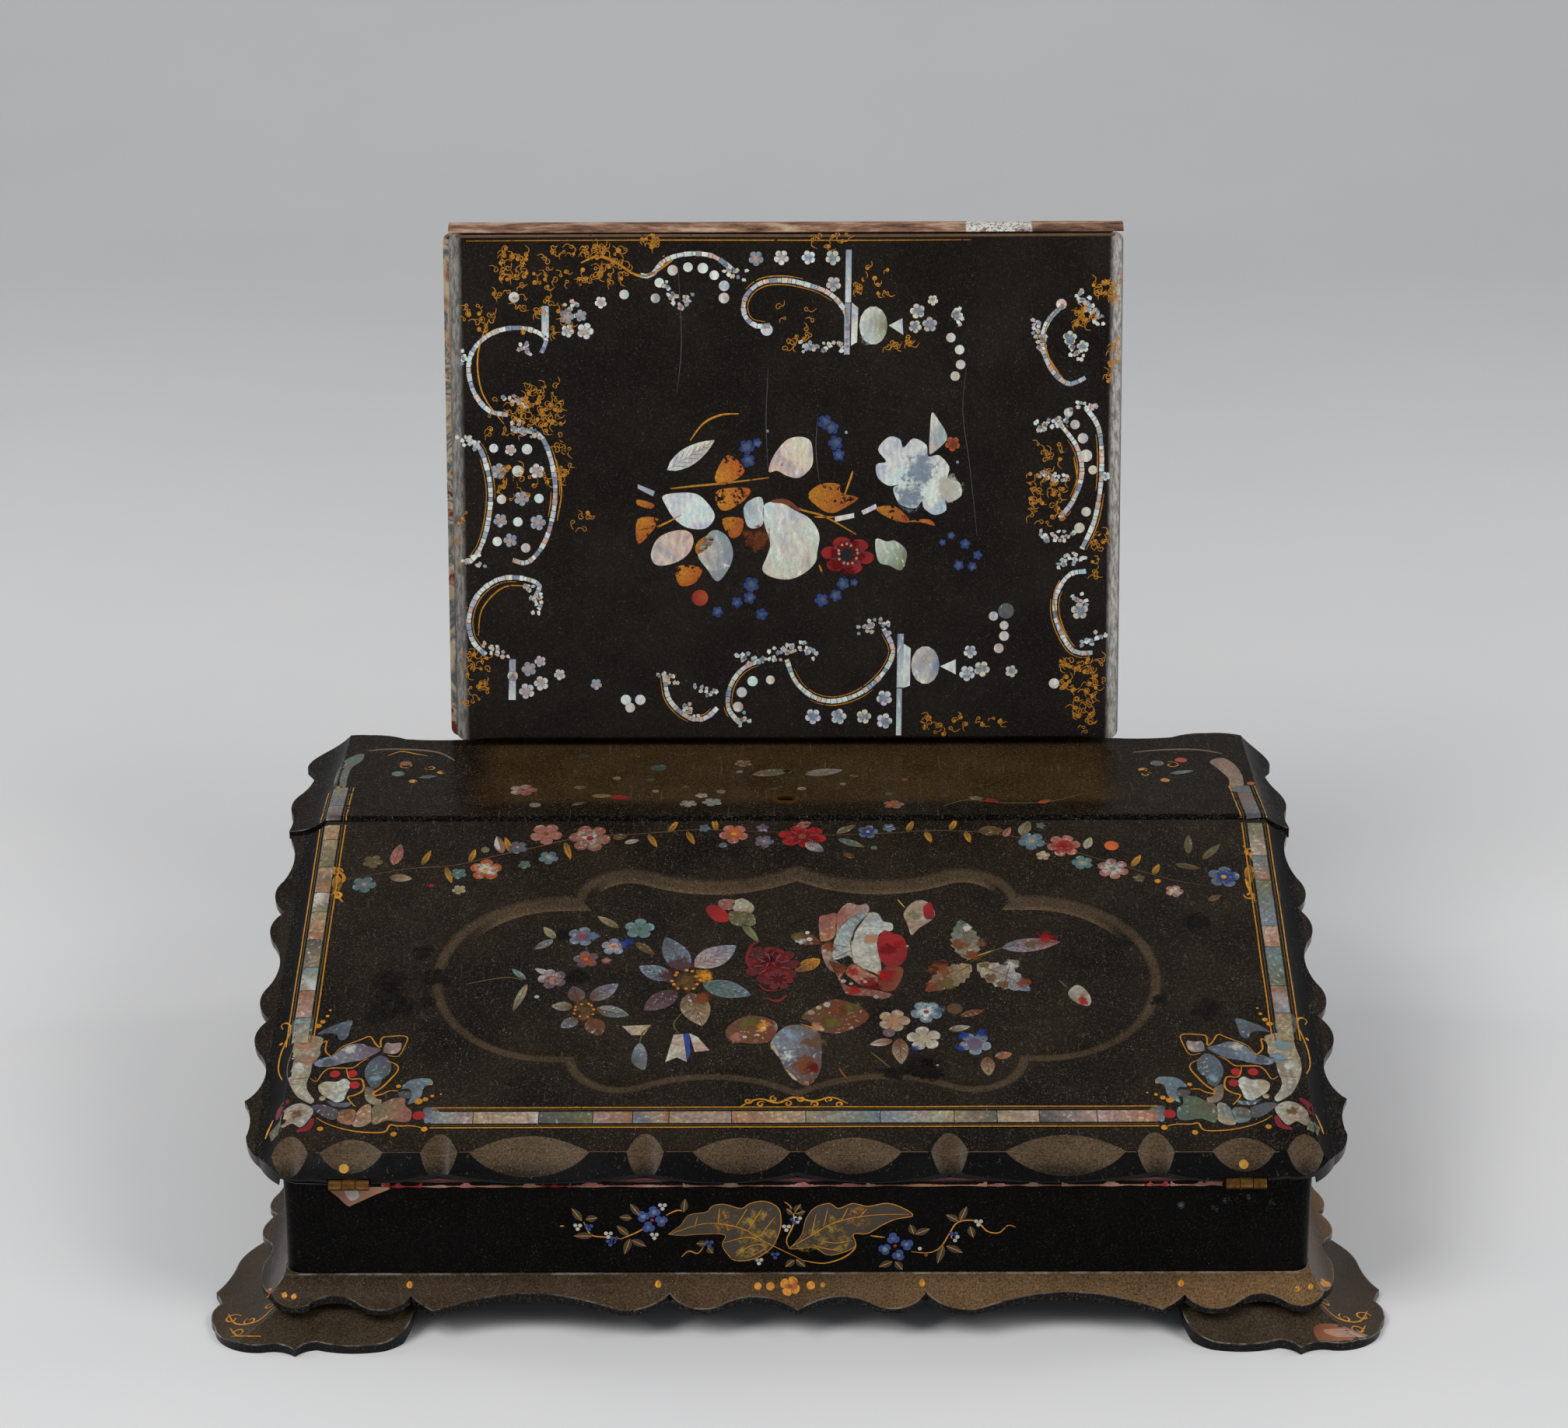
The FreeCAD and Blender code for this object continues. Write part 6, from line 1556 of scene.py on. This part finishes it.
def folio_spray(art):
    """Spray of large shell flowers around a red one."""
    for outline in (
            [(-63, 89.8), (-54.7, 89.8), (-57.8, 84.3), (-63.1, 79.9)],
            [(-62.9, 97.7), (-56.7, 95.9), (-57.7, 94), (-63, 95.5)],
            [(-32.1, 106.4), (-26.8, 115.5), (-20.1, 109), (-28, 103.6)],
            [(-31.5, 96.5), (-30.4, 101.5), (-18.4, 102.1), (-20.1, 97.4), (-28, 93)],
            [(-29.1, 89.7), (-21, 89.8), (-21.9, 83.5), (-26.1, 82.5)],
            [(-47.6, 70.5), (-37.6, 70.1), (-40.3, 64), (-46.4, 63.1)],
            [(5.2, 99.3), (10.6, 103.8), (17.6, 103.6), (18.5, 100.1), (25.3, 98.2), (21.1, 94.8),
             (15, 92), (9.8, 94)],
            [(32.3, 93.9), (40.2, 94.6), (46, 88.4), (38.6, 89.5)],
            [(-39.6, 80), (-34.2, 83.5), (-32.9, 80), (-39.1, 75.6)],
            [(45.4, 88.6), (50.7, 88.2), (56.1, 86.8), (53.3, 89.5)]):
        art.blob(outline, "gold", "orange", layer="leafgold")
    for line in (
            [(-41.8, 121.3), (-36.5, 128.1), (-29.5, 131.5), (-22.4, 131.9)],
            [(-49.8, 102), (-41.9, 102.9), (-28, 104.2), (-10.5, 106.3)],
            [(19.2, 97.5), (22.3, 106.2), (23.1, 108.9)], [(7.8, 90.5), (15.7, 90.4)],
            [(-63.1, 85.4), (-54.3, 87.1), (-45.5, 91.5)], [(9.6, 71.1), (11.3, 67.1)],
            [(24.5, 83.4), (12.2, 90.5), (3.5, 93.1), (-7, 96.7)]):
        art.ribbon(line, 0.8, "gold")
    art.leaf(-51.1, 109.5, -32, 121.4, 7.3, "pearl", "white")
    art.blob([(-52.9, 99), (-47.2, 100.3), (-39.3, 99.8), (-34.1, 95), (-32.2, 90.4), (-35.9, 86),
             (-42.9, 86.2), (-48.2, 89.7), (-51.6, 95)], "ice", "pearl")
    art.blob([(-57.9, 75.2), (-55.2, 81.8), (-49.1, 84.9), (-42.9, 84.9), (-40.7, 80.9), (-43, 75.6),
             (-48.3, 72.1), (-55.3, 71.1)], "white", "blush")
    art.blob([(-39.1, 75.6), (-35.2, 83.4), (-31.6, 85.3), (-27.2, 82.6), (-24.9, 76.5), (-26.4, 70.3),
             (-31.2, 64.5), (-35.2, 69.4)], "white", "steel")
    art.poly([(-62.9, 103.8), (-56.1, 101), (-56.8, 98.9), (-62.9, 102.1)], "pearl", "steel")
    art.blob([(-10.5, 108.8), (-8.5, 115.1), (-3.5, 121.2), (1.8, 122.7), (6.1, 121.1), (7.2, 115.9),
             (6.6, 110.6), (1.7, 106.3), (-3.5, 107.2), (-7, 109.1)], "blush", "white")
    art.blob([(-12.7, 94.9), (-7, 96.7), (0.1, 93.1), (6.1, 89.6), (9.7, 83.4), (8.9, 76.4), (8, 72),
             (3.4, 67.6), (-2.7, 65.3), (-9.6, 66.3), (-13.2, 69.4), (-11.3, 74.7), (-10, 80),
             (-12.1, 87)], "pearl", "white")
    art.blob([(-20.6, 94.1), (-17.5, 97.6), (-13.1, 98), (-12.6, 88.8), (-15.3, 86.1), (-19.1, 87)],
             "steel", "pearl")
    art.spot(-14.8, 82.4, 6, "rust")
    art.ribbon([(-9.5, 96.8), (-3.5, 96.6), (1.9, 92.9)], 2, "rust", layer="paint", level=2)
    art.flower(21, 75, 10.7, 6, "red", "crimson", eye=None, layer="paint", squash=0.72)
    art.spot(21, 75, 6.1, "crimson", level=3)
    art.ring(21, 75.5, 3.9, "cream", count=12)
    art.disc(20.8, 75.3, 2.6, "ink", layer="paint", level=5)
    art.blob([(32.3, 81.4), (36.7, 80.5), (40.4, 80.7), (44.8, 76.3), (42.9, 69), (37.8, 70.8),
             (33.4, 72.6)], "ice", "green")
    art.blob([(33.2, 117.6), (37.5, 122.5), (41.9, 121.6), (43.4, 118.2), (47.3, 121.9), (52.5, 119.3),
             (53.2, 114.7), (57.6, 115.1), (61.7, 110.5), (61.1, 106), (65.7, 104.2), (66.6, 99.1),
             (62, 96.3), (60.1, 97.2), (60.5, 93), (55.9, 91.2), (51.7, 93.9), (50.8, 96.7), (48, 93.9),
             (41.9, 95.7), (39.3, 101.6), (41.6, 103.4), (37.5, 103), (33.2, 106.2), (32.6, 111.5),
             (36.5, 112.7)], "pearl", "ice")
    art.spot(49.7, 109.5, 7, "steel")
    art.spot(46.3, 99.2, 6.1, "steel")
    art.spot(61.6, 102.2, 5.2, "white")
    art.blob([(53.7, 116.5), (53.9, 124.5), (54.7, 132.2), (57.5, 128.9), (60.3, 124.3), (60.3, 120.8),
             (55.1, 116.1)], "white", "ice")
    art.flower(63, 119.7, 3, 5, "orange", "rust", eye=None, layer="paint")
    art.poly([(15.9, 90.6), (23.6, 92), (23.7, 90.1), (16.1, 88.5)], "white", "pearl")
    art.poly([(26.5, 92.9), (32.3, 95.7), (33, 93.9), (27.4, 91.3)], "white", "pearl")


def blue_bells(art):
    """Blue bells painted around the spray, and beads."""
    for x, y, r in (
            (-19.2, 118.6, 3.1), (-15, 120.3, 1.9), (-18.7, 113.2, 2.8), (12.1, 128.5, 3),
            (15, 126.2, 2.6), (16.2, 120.2, 3), (17.5, 115.4, 2.4), (-17.6, 63.2, 3.2),
            (-23.4, 56.1, 2.3), (-18.4, 57.9, 2.6), (-13.5, 51.2, 2.5), (-31.2, 52.2, 2.3),
            (10.6, 56.9, 2.8), (16.4, 58.7, 2.5), (19.2, 63.5, 2.6), (23.6, 64, 1.6), (62.6, 82.8, 1.6),
            (68.2, 79.4, 2.1), (59.1, 80.1, 1.4), (65.7, 70.8, 2.1), (71.1, 70.4, 1.9),
            (73.2, 74.9, 1.9)):
        art.flower(x, y, r, 5, "cobalt", "blue", eye=None, layer="paint")
    art.disc(-38.3, 57.9, 3.3, "orange", "red", layer="paint")
    for x, y in ((-10.9, 125), (20.5, 124.4), (65, 112.4), (-5.2, 111.6)):
        art.disc(x, y, 0.6, "steel")


def tile_scrolls(art):
    """Scrolls of small shell tiles."""
    for line in (
            [(-100.8, 156.3), (-99, 162.4), (-107.7, 166.2), (-118.2, 165.1), (-126.1, 159.8),
             (-129.8, 152), (-128.2, 141.5), (-122.2, 133.5), (-114.3, 131.8)],
            [(-131.2, 122.1), (-126, 118.6), (-122.6, 108), (-121.9, 97.4), (-123.9, 85), (-127.5, 76.1),
             (-131.1, 72.5)],
            [(-110.9, 125.6), (-102.1, 123.8), (-97.8, 115), (-95.9, 102.6), (-97.3, 90.2), (-101, 79.6),
             (-107.3, 72.5), (-113.4, 73.4)],
            [(-104.8, 58.2), (-103, 63.5), (-110.9, 66.2), (-119.7, 65.4), (-127.8, 59.1), (-131.5, 49.3),
             (-129.9, 40.3), (-124.7, 34.9)],
            [(-61.1, 187), (-56.7, 187), (-51.4, 192.7), (-42.7, 195.3), (-32.2, 194.4), (-23.6, 188.3)],
            [(-9.7, 167), (-15.8, 167), (-20.1, 171.8), (-19.2, 178.7), (-13.1, 183.9), (-3.5, 184.8),
             (5.2, 183), (14, 179.5), (20.1, 172.5), (21, 164.7)],
            [(-52.8, 26.7), (-51.1, 16.7), (-44, 9.5), (-36.9, 8.6), (-31.5, 13.1)],
            [(-22.7, 6.7), (-27.1, 13.1), (-26.2, 22.1), (-20.8, 29.3), (-12.8, 32.8)],
            [(107, 174.9), (100.9, 168.8), (98.3, 160.1), (101.9, 149.6), (109, 143.5), (116, 146.1)],
            [(105.7, 127.7), (112.8, 118), (114.7, 107.4), (111.3, 96.8), (106, 89.7)],
            [(116.1, 133.8), (121.5, 125), (122.6, 107.3), (120.2, 89.6), (115, 77.2)],
            [(116.9, 68.3), (109.8, 66.6), (104.6, 57.6), (105.6, 46.9), (111.9, 36.1), (119.9, 35.2)],
            [(-3.5, 32.8), (0, 23.8), (7.1, 17.5), (16, 15.7), (26.7, 19.2), (35.6, 27.3), (39.4, 36.3),
             (35.5, 45.3)]):
        art.tiles(line, TILE_WIDTH)


def shell_heaps(art):
    """Heaps of broken shell at the ends of the scrolls."""
    for line in (
            [(-108.6, 158.9), (-103.4, 157.2)], [(-132.4, 153.7), (-129.7, 155.5)],
            [(-114.2, 138.8), (-107.2, 136.1)], [(-132.9, 122.1), (-125.9, 119.5)],
            [(-111.7, 127.4), (-100.4, 122)], [(-132, 74.3), (-124.9, 72.5)],
            [(-108.3, 61.8), (-103.1, 56.4), (-104.9, 52.8)], [(-123.7, 37.6), (-115.8, 34.9)],
            [(-27, 189.2), (-19.2, 186.5)], [(-51.5, 182.3), (-45.5, 175.3), (-42, 177.9)],
            [(-53.7, 25.8), (-47.5, 23.9)], [(-38.6, 21.2), (-31.5, 18.5)], [(-22.7, 9.4), (-19.1, 5.8)],
            [(-22.5, 32.9), (-6.6, 34.6)], [(-44, 13.1), (-40.5, 9.5)], [(-90, 175.4), (-84.9, 171.1)],
            [(3.8, 158.6), (17.8, 158.6), (18.7, 162.1)], [(112.2, 179.2), (119.2, 172.3), (121, 167)],
            [(96.5, 167.1), (98.4, 156.6)], [(96.9, 126.8), (105.7, 128.5), (109.1, 133.8)],
            [(98.8, 107.4), (109.4, 105.6)], [(99, 82.6), (113.2, 82.6)], [(106.2, 71.9), (116.8, 75.4)],
            [(114.4, 135.6), (119.7, 132)], [(113.4, 57.6), (117, 54)], [(117.2, 37.9), (124.2, 43.3)],
            [(26.7, 45.3), (35.5, 47.1), (36.4, 43.5)], [(-7.1, 36.4), (3.6, 38.2), (7.1, 34.6)],
            [(65, 172.4), (65.1, 167.2)], [(108.8, 161.8), (114.2, 152.2)]):
        art.crush(line, HEAP_SIZE)


def beads(art):
    """Shell beads."""
    for x, y, r, tint in (
            (-48.3, 188.9, 2.1, "blush"), (-42.2, 190.1, 1.9, "pearl"), (-36.3, 189.7, 2.1, "pearl"),
            (-31.8, 186.9, 1.9, "pearl"), (-27.9, 182.7, 2.1, "pearl"), (-28, 177.9, 2.1, "blush"),
            (-53.6, 184, 1.9, "pearl"), (-55.2, 177.9, 1.9, "blush"), (-67.6, 179.4, 1.9, "pearl"),
            (-111.3, 178.4, 2.1, "pearl"), (-110.8, 109.2, 2.3, "blush"), (-117.5, 97.9, 1.9, "blush"),
            (-102.5, 98.2, 1.9, "pearl"), (-111.1, 88.8, 1.9, "pearl"), (-119.5, 80.9, 1.9, "pearl"),
            (-108.1, 78.3, 1.9, "blush"), (-120.3, 118.4, 1.8, "pearl"), (-107, 118, 2.1, "pearl"),
            (-68.5, 16.4, 2.1, "pearl"), (-62.7, 16.4, 2.1, "pearl"), (-66.8, 13.2, 2, "blush"),
            (-114.1, 26.3, 2.1, "blush"), (-17.3, 23.9, 2.1, "pearl"), (-21.7, 19.4, 2.1, "pearl"),
            (-23.2, 13.4, 2.1, "blush"), (-10.1, 24.4, 1.8, "blush"), (-11.1, 165.3, 2.4, "pearl")):
        art.disc(x, y, r, tint, "ice")
    for x, y, r, tint in (
            (62.1, 162, 1.9, "pearl"), (65.6, 157.2, 1.9, "pearl"), (66, 151.3, 1.9, "pearl"),
            (63.9, 146.7, 1.9, "blush"), (105.9, 175.1, 2.1, "blush"), (116.3, 114.8, 2.5, "pearl"),
            (116.6, 92.3, 1.9, "pearl"), (114, 85.8, 2.1, "blush"), (111.8, 127.3, 1.9, "pearl"),
            (115, 121.8, 2.1, "pearl"), (79.8, 50.2, 1.9, "pearl"), (84.1, 46.4, 1.8, "pearl"),
            (84.1, 42.1, 2, "pearl"), (82, 37.1, 2, "blush"), (104.4, 22.7, 2.1, "pearl"),
            (119.1, 109.1, 1.8, "blush"), (109.1, 132.1, 1.8, "pearl")):
        art.disc(x, y, r, tint, "white")
    art.disc(84.8, 52.3, 3.2, "slate")


def small_flowers(art):
    """Small shell flowers of the frame."""
    for x, y, r, tint in (
            (-90.5, 170.7, 3, "steel"), (-84.9, 171.1, 2.4, "steel"), (-83.2, 165, 3.3, "pearl"),
            (-76.9, 176.3, 2.4, "pearl"), (-90.2, 165, 2.6, "pearl"), (-118.5, 109.2, 3.2, "steel"),
            (-103.2, 109.2, 3, "pearl"), (-109.5, 98.2, 3, "steel"), (-118.1, 89.4, 2.8, "steel"),
            (-103.1, 88.5, 3.2, "steel"), (-114.2, 81.4, 2.8, "steel"), (-113.6, 117.7, 2.3, "pearl"),
            (-15.2, 193.5, 3, "steel"), (-5.2, 193.8, 3, "pearl"), (-107.5, 29.1, 3, "steel"),
            (-108.5, 20.1, 3.2, "pearl"), (-102.6, 23.2, 3, "pearl"), (-95.1, 26.8, 2.3, "pearl"),
            (-102.9, 32.2, 2.3, "pearl"), (-80.4, 22.8, 2.3, "steel")):
        art.flower(x, y, r, 5, tint, "blush", eye=None)
    for x, y, r, tint in (
            (5.6, 193.8, 2.8, "pearl"), (15.2, 193.7, 3, "white"), (15.5, 183.3, 3, "white"),
            (48.8, 172.5, 3, "white"), (47.9, 166.4, 2.6, "white"), (53.7, 167.2, 3, "white"),
            (54.9, 176.8, 2.1, "white"), (64.2, 171, 2.1, "white"), (69.3, 26.9, 3.2, "pearl"),
            (75.2, 28.7, 3.2, "white"), (70.5, 35.7, 2.7, "pearl"), (87.1, 27.7, 2.5, "white"),
            (35.9, 16.9, 3.2, "pearl"), (7.1, 9.4, 3.2, "pearl"), (17.4, 9.3, 3.2, "pearl"),
            (27.6, 9.3, 3, "white"), (35.9, 7.5, 3.2, "pearl"), (114.4, 52.2, 3.5, "white"),
            (109.4, 161.8, 2.8, "white"), (114.6, 158.3, 2.5, "white"), (124.4, 106.5, 1.8, "pearl")):
        art.flower(x, y, r, 5, tint, "steel", eye=None)


def columns_and_vases(art):
    """Columns, and the two vases with their handles."""
    for outline in (
            [(-100.5, 174.9), (-97.6, 174.9), (-97.7, 162.4), (-100.5, 162.4)],
            [(-115.3, 33.1), (-112.8, 33.1), (-113, 16.5), (-115.9, 16.5)],
            [(20.4, 196.8), (22.7, 196.8), (22.4, 176), (20.1, 176)],
            [(19.9, 175.7), (22.2, 175.7), (21.8, 155.4), (19.6, 155.4)],
            [(41.2, 43.1), (43.7, 43.1), (43.4, 21.2), (40.9, 21.2)],
            [(40.9, 20.8), (43, 20.8), (42.7, -1.2), (40.6, -1.2)]):
        art.poly(outline, "steel", "pearl")
    art.poly([(22.7, 176), (25.3, 173.9), (24.8, 160.3), (22.4, 158.9)], "white", "ice")
    art.poly([(43.7, 39), (46.5, 37.2), (46.2, 21.9), (43.4, 21)], "pearl", "ice")
    art.disc(31.3, 166.9, 5.6, "green", "ice", squash=1.36)
    art.disc(52.4, 30.3, 5.7, "steel", "white", squash=1.36)
    art.spot(29.2, 162.9, 3.2, "ice")
    art.spot(54.2, 33.6, 3.2, "white")
    art.poly([(37.4, 166.9), (42.8, 169.7), (43.2, 163.1)], "pearl", "ice")
    art.poly([(58.3, 29.8), (64.7, 32.6), (64.7, 26.5)], "pearl", "ice")


def tendrils(art):
    """Gilt tendrils over the frame."""
    for seed, (x0, y0, x1, y1, count) in enumerate((
            (-116.2, 181.6, -70.6, 198.8, 59), (-119.8, 173.8, -105.5, 194.6, 20),
            (-84.7, 185, -63.6, 198.8, 27), (-133.9, 165.1, -119.8, 175.5, 13),
            (-109.4, 164.2, -88.3, 178, 20), (-110, 127.4, -92.2, 144.9, 42),
            (-122.3, 123.9, -97.5, 137.9, 32), (-119.2, 97.4, -97.9, 111.5, 20),
            (-96.2, 104.4, -88.9, 125.5, 13), (-61, 197.9, -54, 203.1, 10),
            (-134.8, 15.1, -123.7, 36.7, 27), (-135.6, 72.5, -131.7, 93.9, 6),
            (-91.2, 84.9, -80.5, 95.5, 5), (118.3, 175.7, 128.7, 184.4, 23),
            (123.9, 144.3, 129, 161.8, 13), (93.7, 87.9, 111.1, 109.1, 42),
            (106.7, 18.1, 124.4, 32.5, 42), (111.3, 1.9, 120.1, 19.9, 23), (111.4, 167.1, 120.1, 174, 18),
            (51.6, 2, 83.7, 9.2, 20), (-8.5, 156.9, 9.1, 177.8, 13), (23.1, 179.5, 40.5, 189.9, 13),
            (36.2, 158.2, 46.7, 162.3, 10), (118.7, 63, 125.5, 84.3, 13), (97, 109.2, 107.5, 119.7, 10),
            (2.1, 197.8, 23.1, 202.9, 10)), FIRST_SEED):
        art.scribble(x0, y0, x1, y1, count, seed=seed)
    art.ribbon([(-67.2, 189.3), (-61.1, 186.7), (-55, 188.4), (-48, 193.2)], 1.2, "gold")
    art.ribbon([(-84.6, 191.9), (-77.6, 194.5), (-70.6, 191.9), (-65.4, 188.4)], 1.2, "gold")
    for line in (
            [(105.2, 174), (100.4, 167.1), (99.4, 160.1), (102.3, 151.4), (107.3, 145.2)],
            [(111.4, 114.4), (112.9, 103.8), (109.5, 95)],
            [(106.3, 64.8), (103.9, 57.6), (106.5, 46.9), (112.2, 37.9)],
            [(-120.5, 171.9), (-126, 156.2), (-124.5, 140.4), (-116, 128.1)],
            [(-95.4, 113.9), (-93.4, 101.5), (-95.4, 89.1)],
            [(-105.4, 62.5), (-117, 62.5), (-126, 53.6), (-127.6, 42.8)]):
        art.ribbon(line, 0.6, "gold")


def folio_wear_and_top_light(art):
    """Scratches, the rubbed top edge, and a gold line below it painted as the highlight on the rolled top
    edge.
    """
    for line in (
            [(68.3, 150), (67, 132.3), (70, 110), (73, 82.4)], [(-10.5, 150), (-11.5, 130), (-10.8, 110)],
            [(9.3, 132), (8.4, 118), (9.8, 104)], [(-46, 188), (-45, 160), (-47, 140)]):
        art.ribbon(line, 0.22, "slate")
    art.ribbon([(-134, 202.4), (-60, 202.6), (20, 202.3), (127, 202.5)], 1.0, "brown", taper=False)
    # painted highlight: gold line where the rolled top edge catches the light
    art.ribbon([(-130, 200.6), (-60, 200.8), (20, 200.5), (70, 200.6)], 0.5, "gold", level=2)


def folio_art(art):
    """Front cover of the folio."""
    folio_spray(art)
    blue_bells(art)
    tile_scrolls(art)
    shell_heaps(art)
    beads(art)
    small_flowers(art)
    columns_and_vases(art)
    tendrils(art)
    folio_wear_and_top_light(art)


def foot_art(left, right):
    """Gilt scrolls on the outer corners of the front feet, and a knock on the right one."""
    for art, side in ((left, -1), (right, 1)):
        for x, y, r, turn in (
                (200, 0, 3.2, 0.3), (193, -4, 2.6, 2.1), (197, -10, 2.8, 4.0), (187, 2, 2.2, 1.0)):
            art.curl(side * x, y, r, turn, 0.7)
        art.ribbon([(side * 202, 4), (side * 198, -4), (side * 190, -6), (side * 185, -1)], 0.8, "gold")
        art.ribbon([(side * 200, -6), (side * 196, -13), (side * 188, -14)], 0.7, "gold")
    left.flower(-186, 9, 2.6, 6, "gold", layer="gold")
    right.flower(184, 12, 2.8, 6, "gold", layer="gold")
    right.blob([(181, -11), (189, -10), (200, -13), (200.5, -17.5), (191, -17), (183, -18.5)],
               "rust", "peach", layer="paint", level=2)
    right.blob([(184, -12.5), (192, -12), (198, -14.5), (189, -15.5)],
               "peach", "blush", layer="paint", level=3)


def decoration():
    """Lays the designs onto the CAD pieces: bright on the folio, where the shell is clean and also painted
    brighter as if strongly lit, duller on the leaf, browned on the flap.
    """
    dusk = {"pearl": pearl("pearl_leaf", 0.3, 1.0, 0.6), "paint": paint("paint_leaf", 0.2),
            "gold": gilt("gilt_leaf", 0.3, 0.1), "leafgold": gilt("gilt_soft", 0.26, 0.2),
            "glaze": glaze("glaze_leaf", 0.2)}
    dim = {"pearl": pearl("pearl_flap", 0.85, 0.62, 0.6), "paint": paint("paint_flap", 0.8),
           "gold": gilt("gilt_flap", 0.42, 0.6), "glaze": glaze("glaze_flap", 0.8)}
    # folio shell: little film, and a gain of 1.5 that paints it brighter as if strongly lit
    clear = {"pearl": pearl("pearl_folio", 0.05, 1.5, 0.15), "paint": paint("paint_folio", 0.1),
             "gold": gilt("gilt_folio", 0.36, 0.1), "leafgold": gilt("gilt_folio_soft", 0.38, 0.1),
             "glaze": glaze("glaze_folio", 0.1)}
    s, c = sin(SLOPE), cos(SLOPE)
    leaf = Panel("leaf", "leaf", ["slope_leaf"], (0, -LEAF_THICK * s, HINGE_UP + LEAF_THICK * c),
                 (1, 0, 0), (0, c, s), dusk, cell=2.6)
    leaf_art(leaf)
    corner_art(leaf)
    leaf.mirror = MIRROR
    leaf.swap = {"rose": "teal", "mauve": "blue", "rust": "green", "peach": "sky"}
    corner_art(leaf)
    leaf.mirror, leaf.swap = None, {}
    for ends in ((-129, 23.2, 127, 23.4), (-179.3, 62, -179.2, 185.6), (176.3, 62, 177.2, 185.6)):
        leaf.band(*ends)
    leaf.done()
    flap = Panel("flap", "flap", ["rear_flap"], (0, 0, FLAP_TOP), (1, 0, 0), (0, 1, 0), dim, cell=3.0)
    for ends in ((-179.2, 179.2, -179.4, 209), (177.2, 179.2, 175.8, 209)):
        flap.band(*ends)
    flap_art(flap)
    flap.done()
    folio = Panel("folio", "folio_cover", ["folio_front_cover"], FOLIO_FOOT, (1, 0, 0),
                  (0, sin(LEAN), cos(LEAN)), clear)
    folio_art(folio)
    folio.done()
    dusk["velvet"] = pile("velvet_strip")
    front = Panel("front", "case", ["case_shell"], (0, 0, 0), (1, 0, 0), (0, 0, 1), dusk)
    k = sin(pi / 4)
    skirt = Panel("skirt", "case", ["base_skirt"], (0, -4, 14), (1, 0, 0), (0, k, k), dusk)
    front_art(front)
    skirt_art(skirt)
    feet = [Panel(name, "case", [name], (0, 0, 12), (1, 0, 0), (0, 1, 0), dusk)
            for name in ("foot_front_left", "foot_front_right")]
    foot_art(*feet)
    for panel in (*feet, front, skirt):
        panel.done()


camera()
set_stage()
cad_materials()
decoration()
bpy.context.scene.view_settings.view_transform = "Standard"
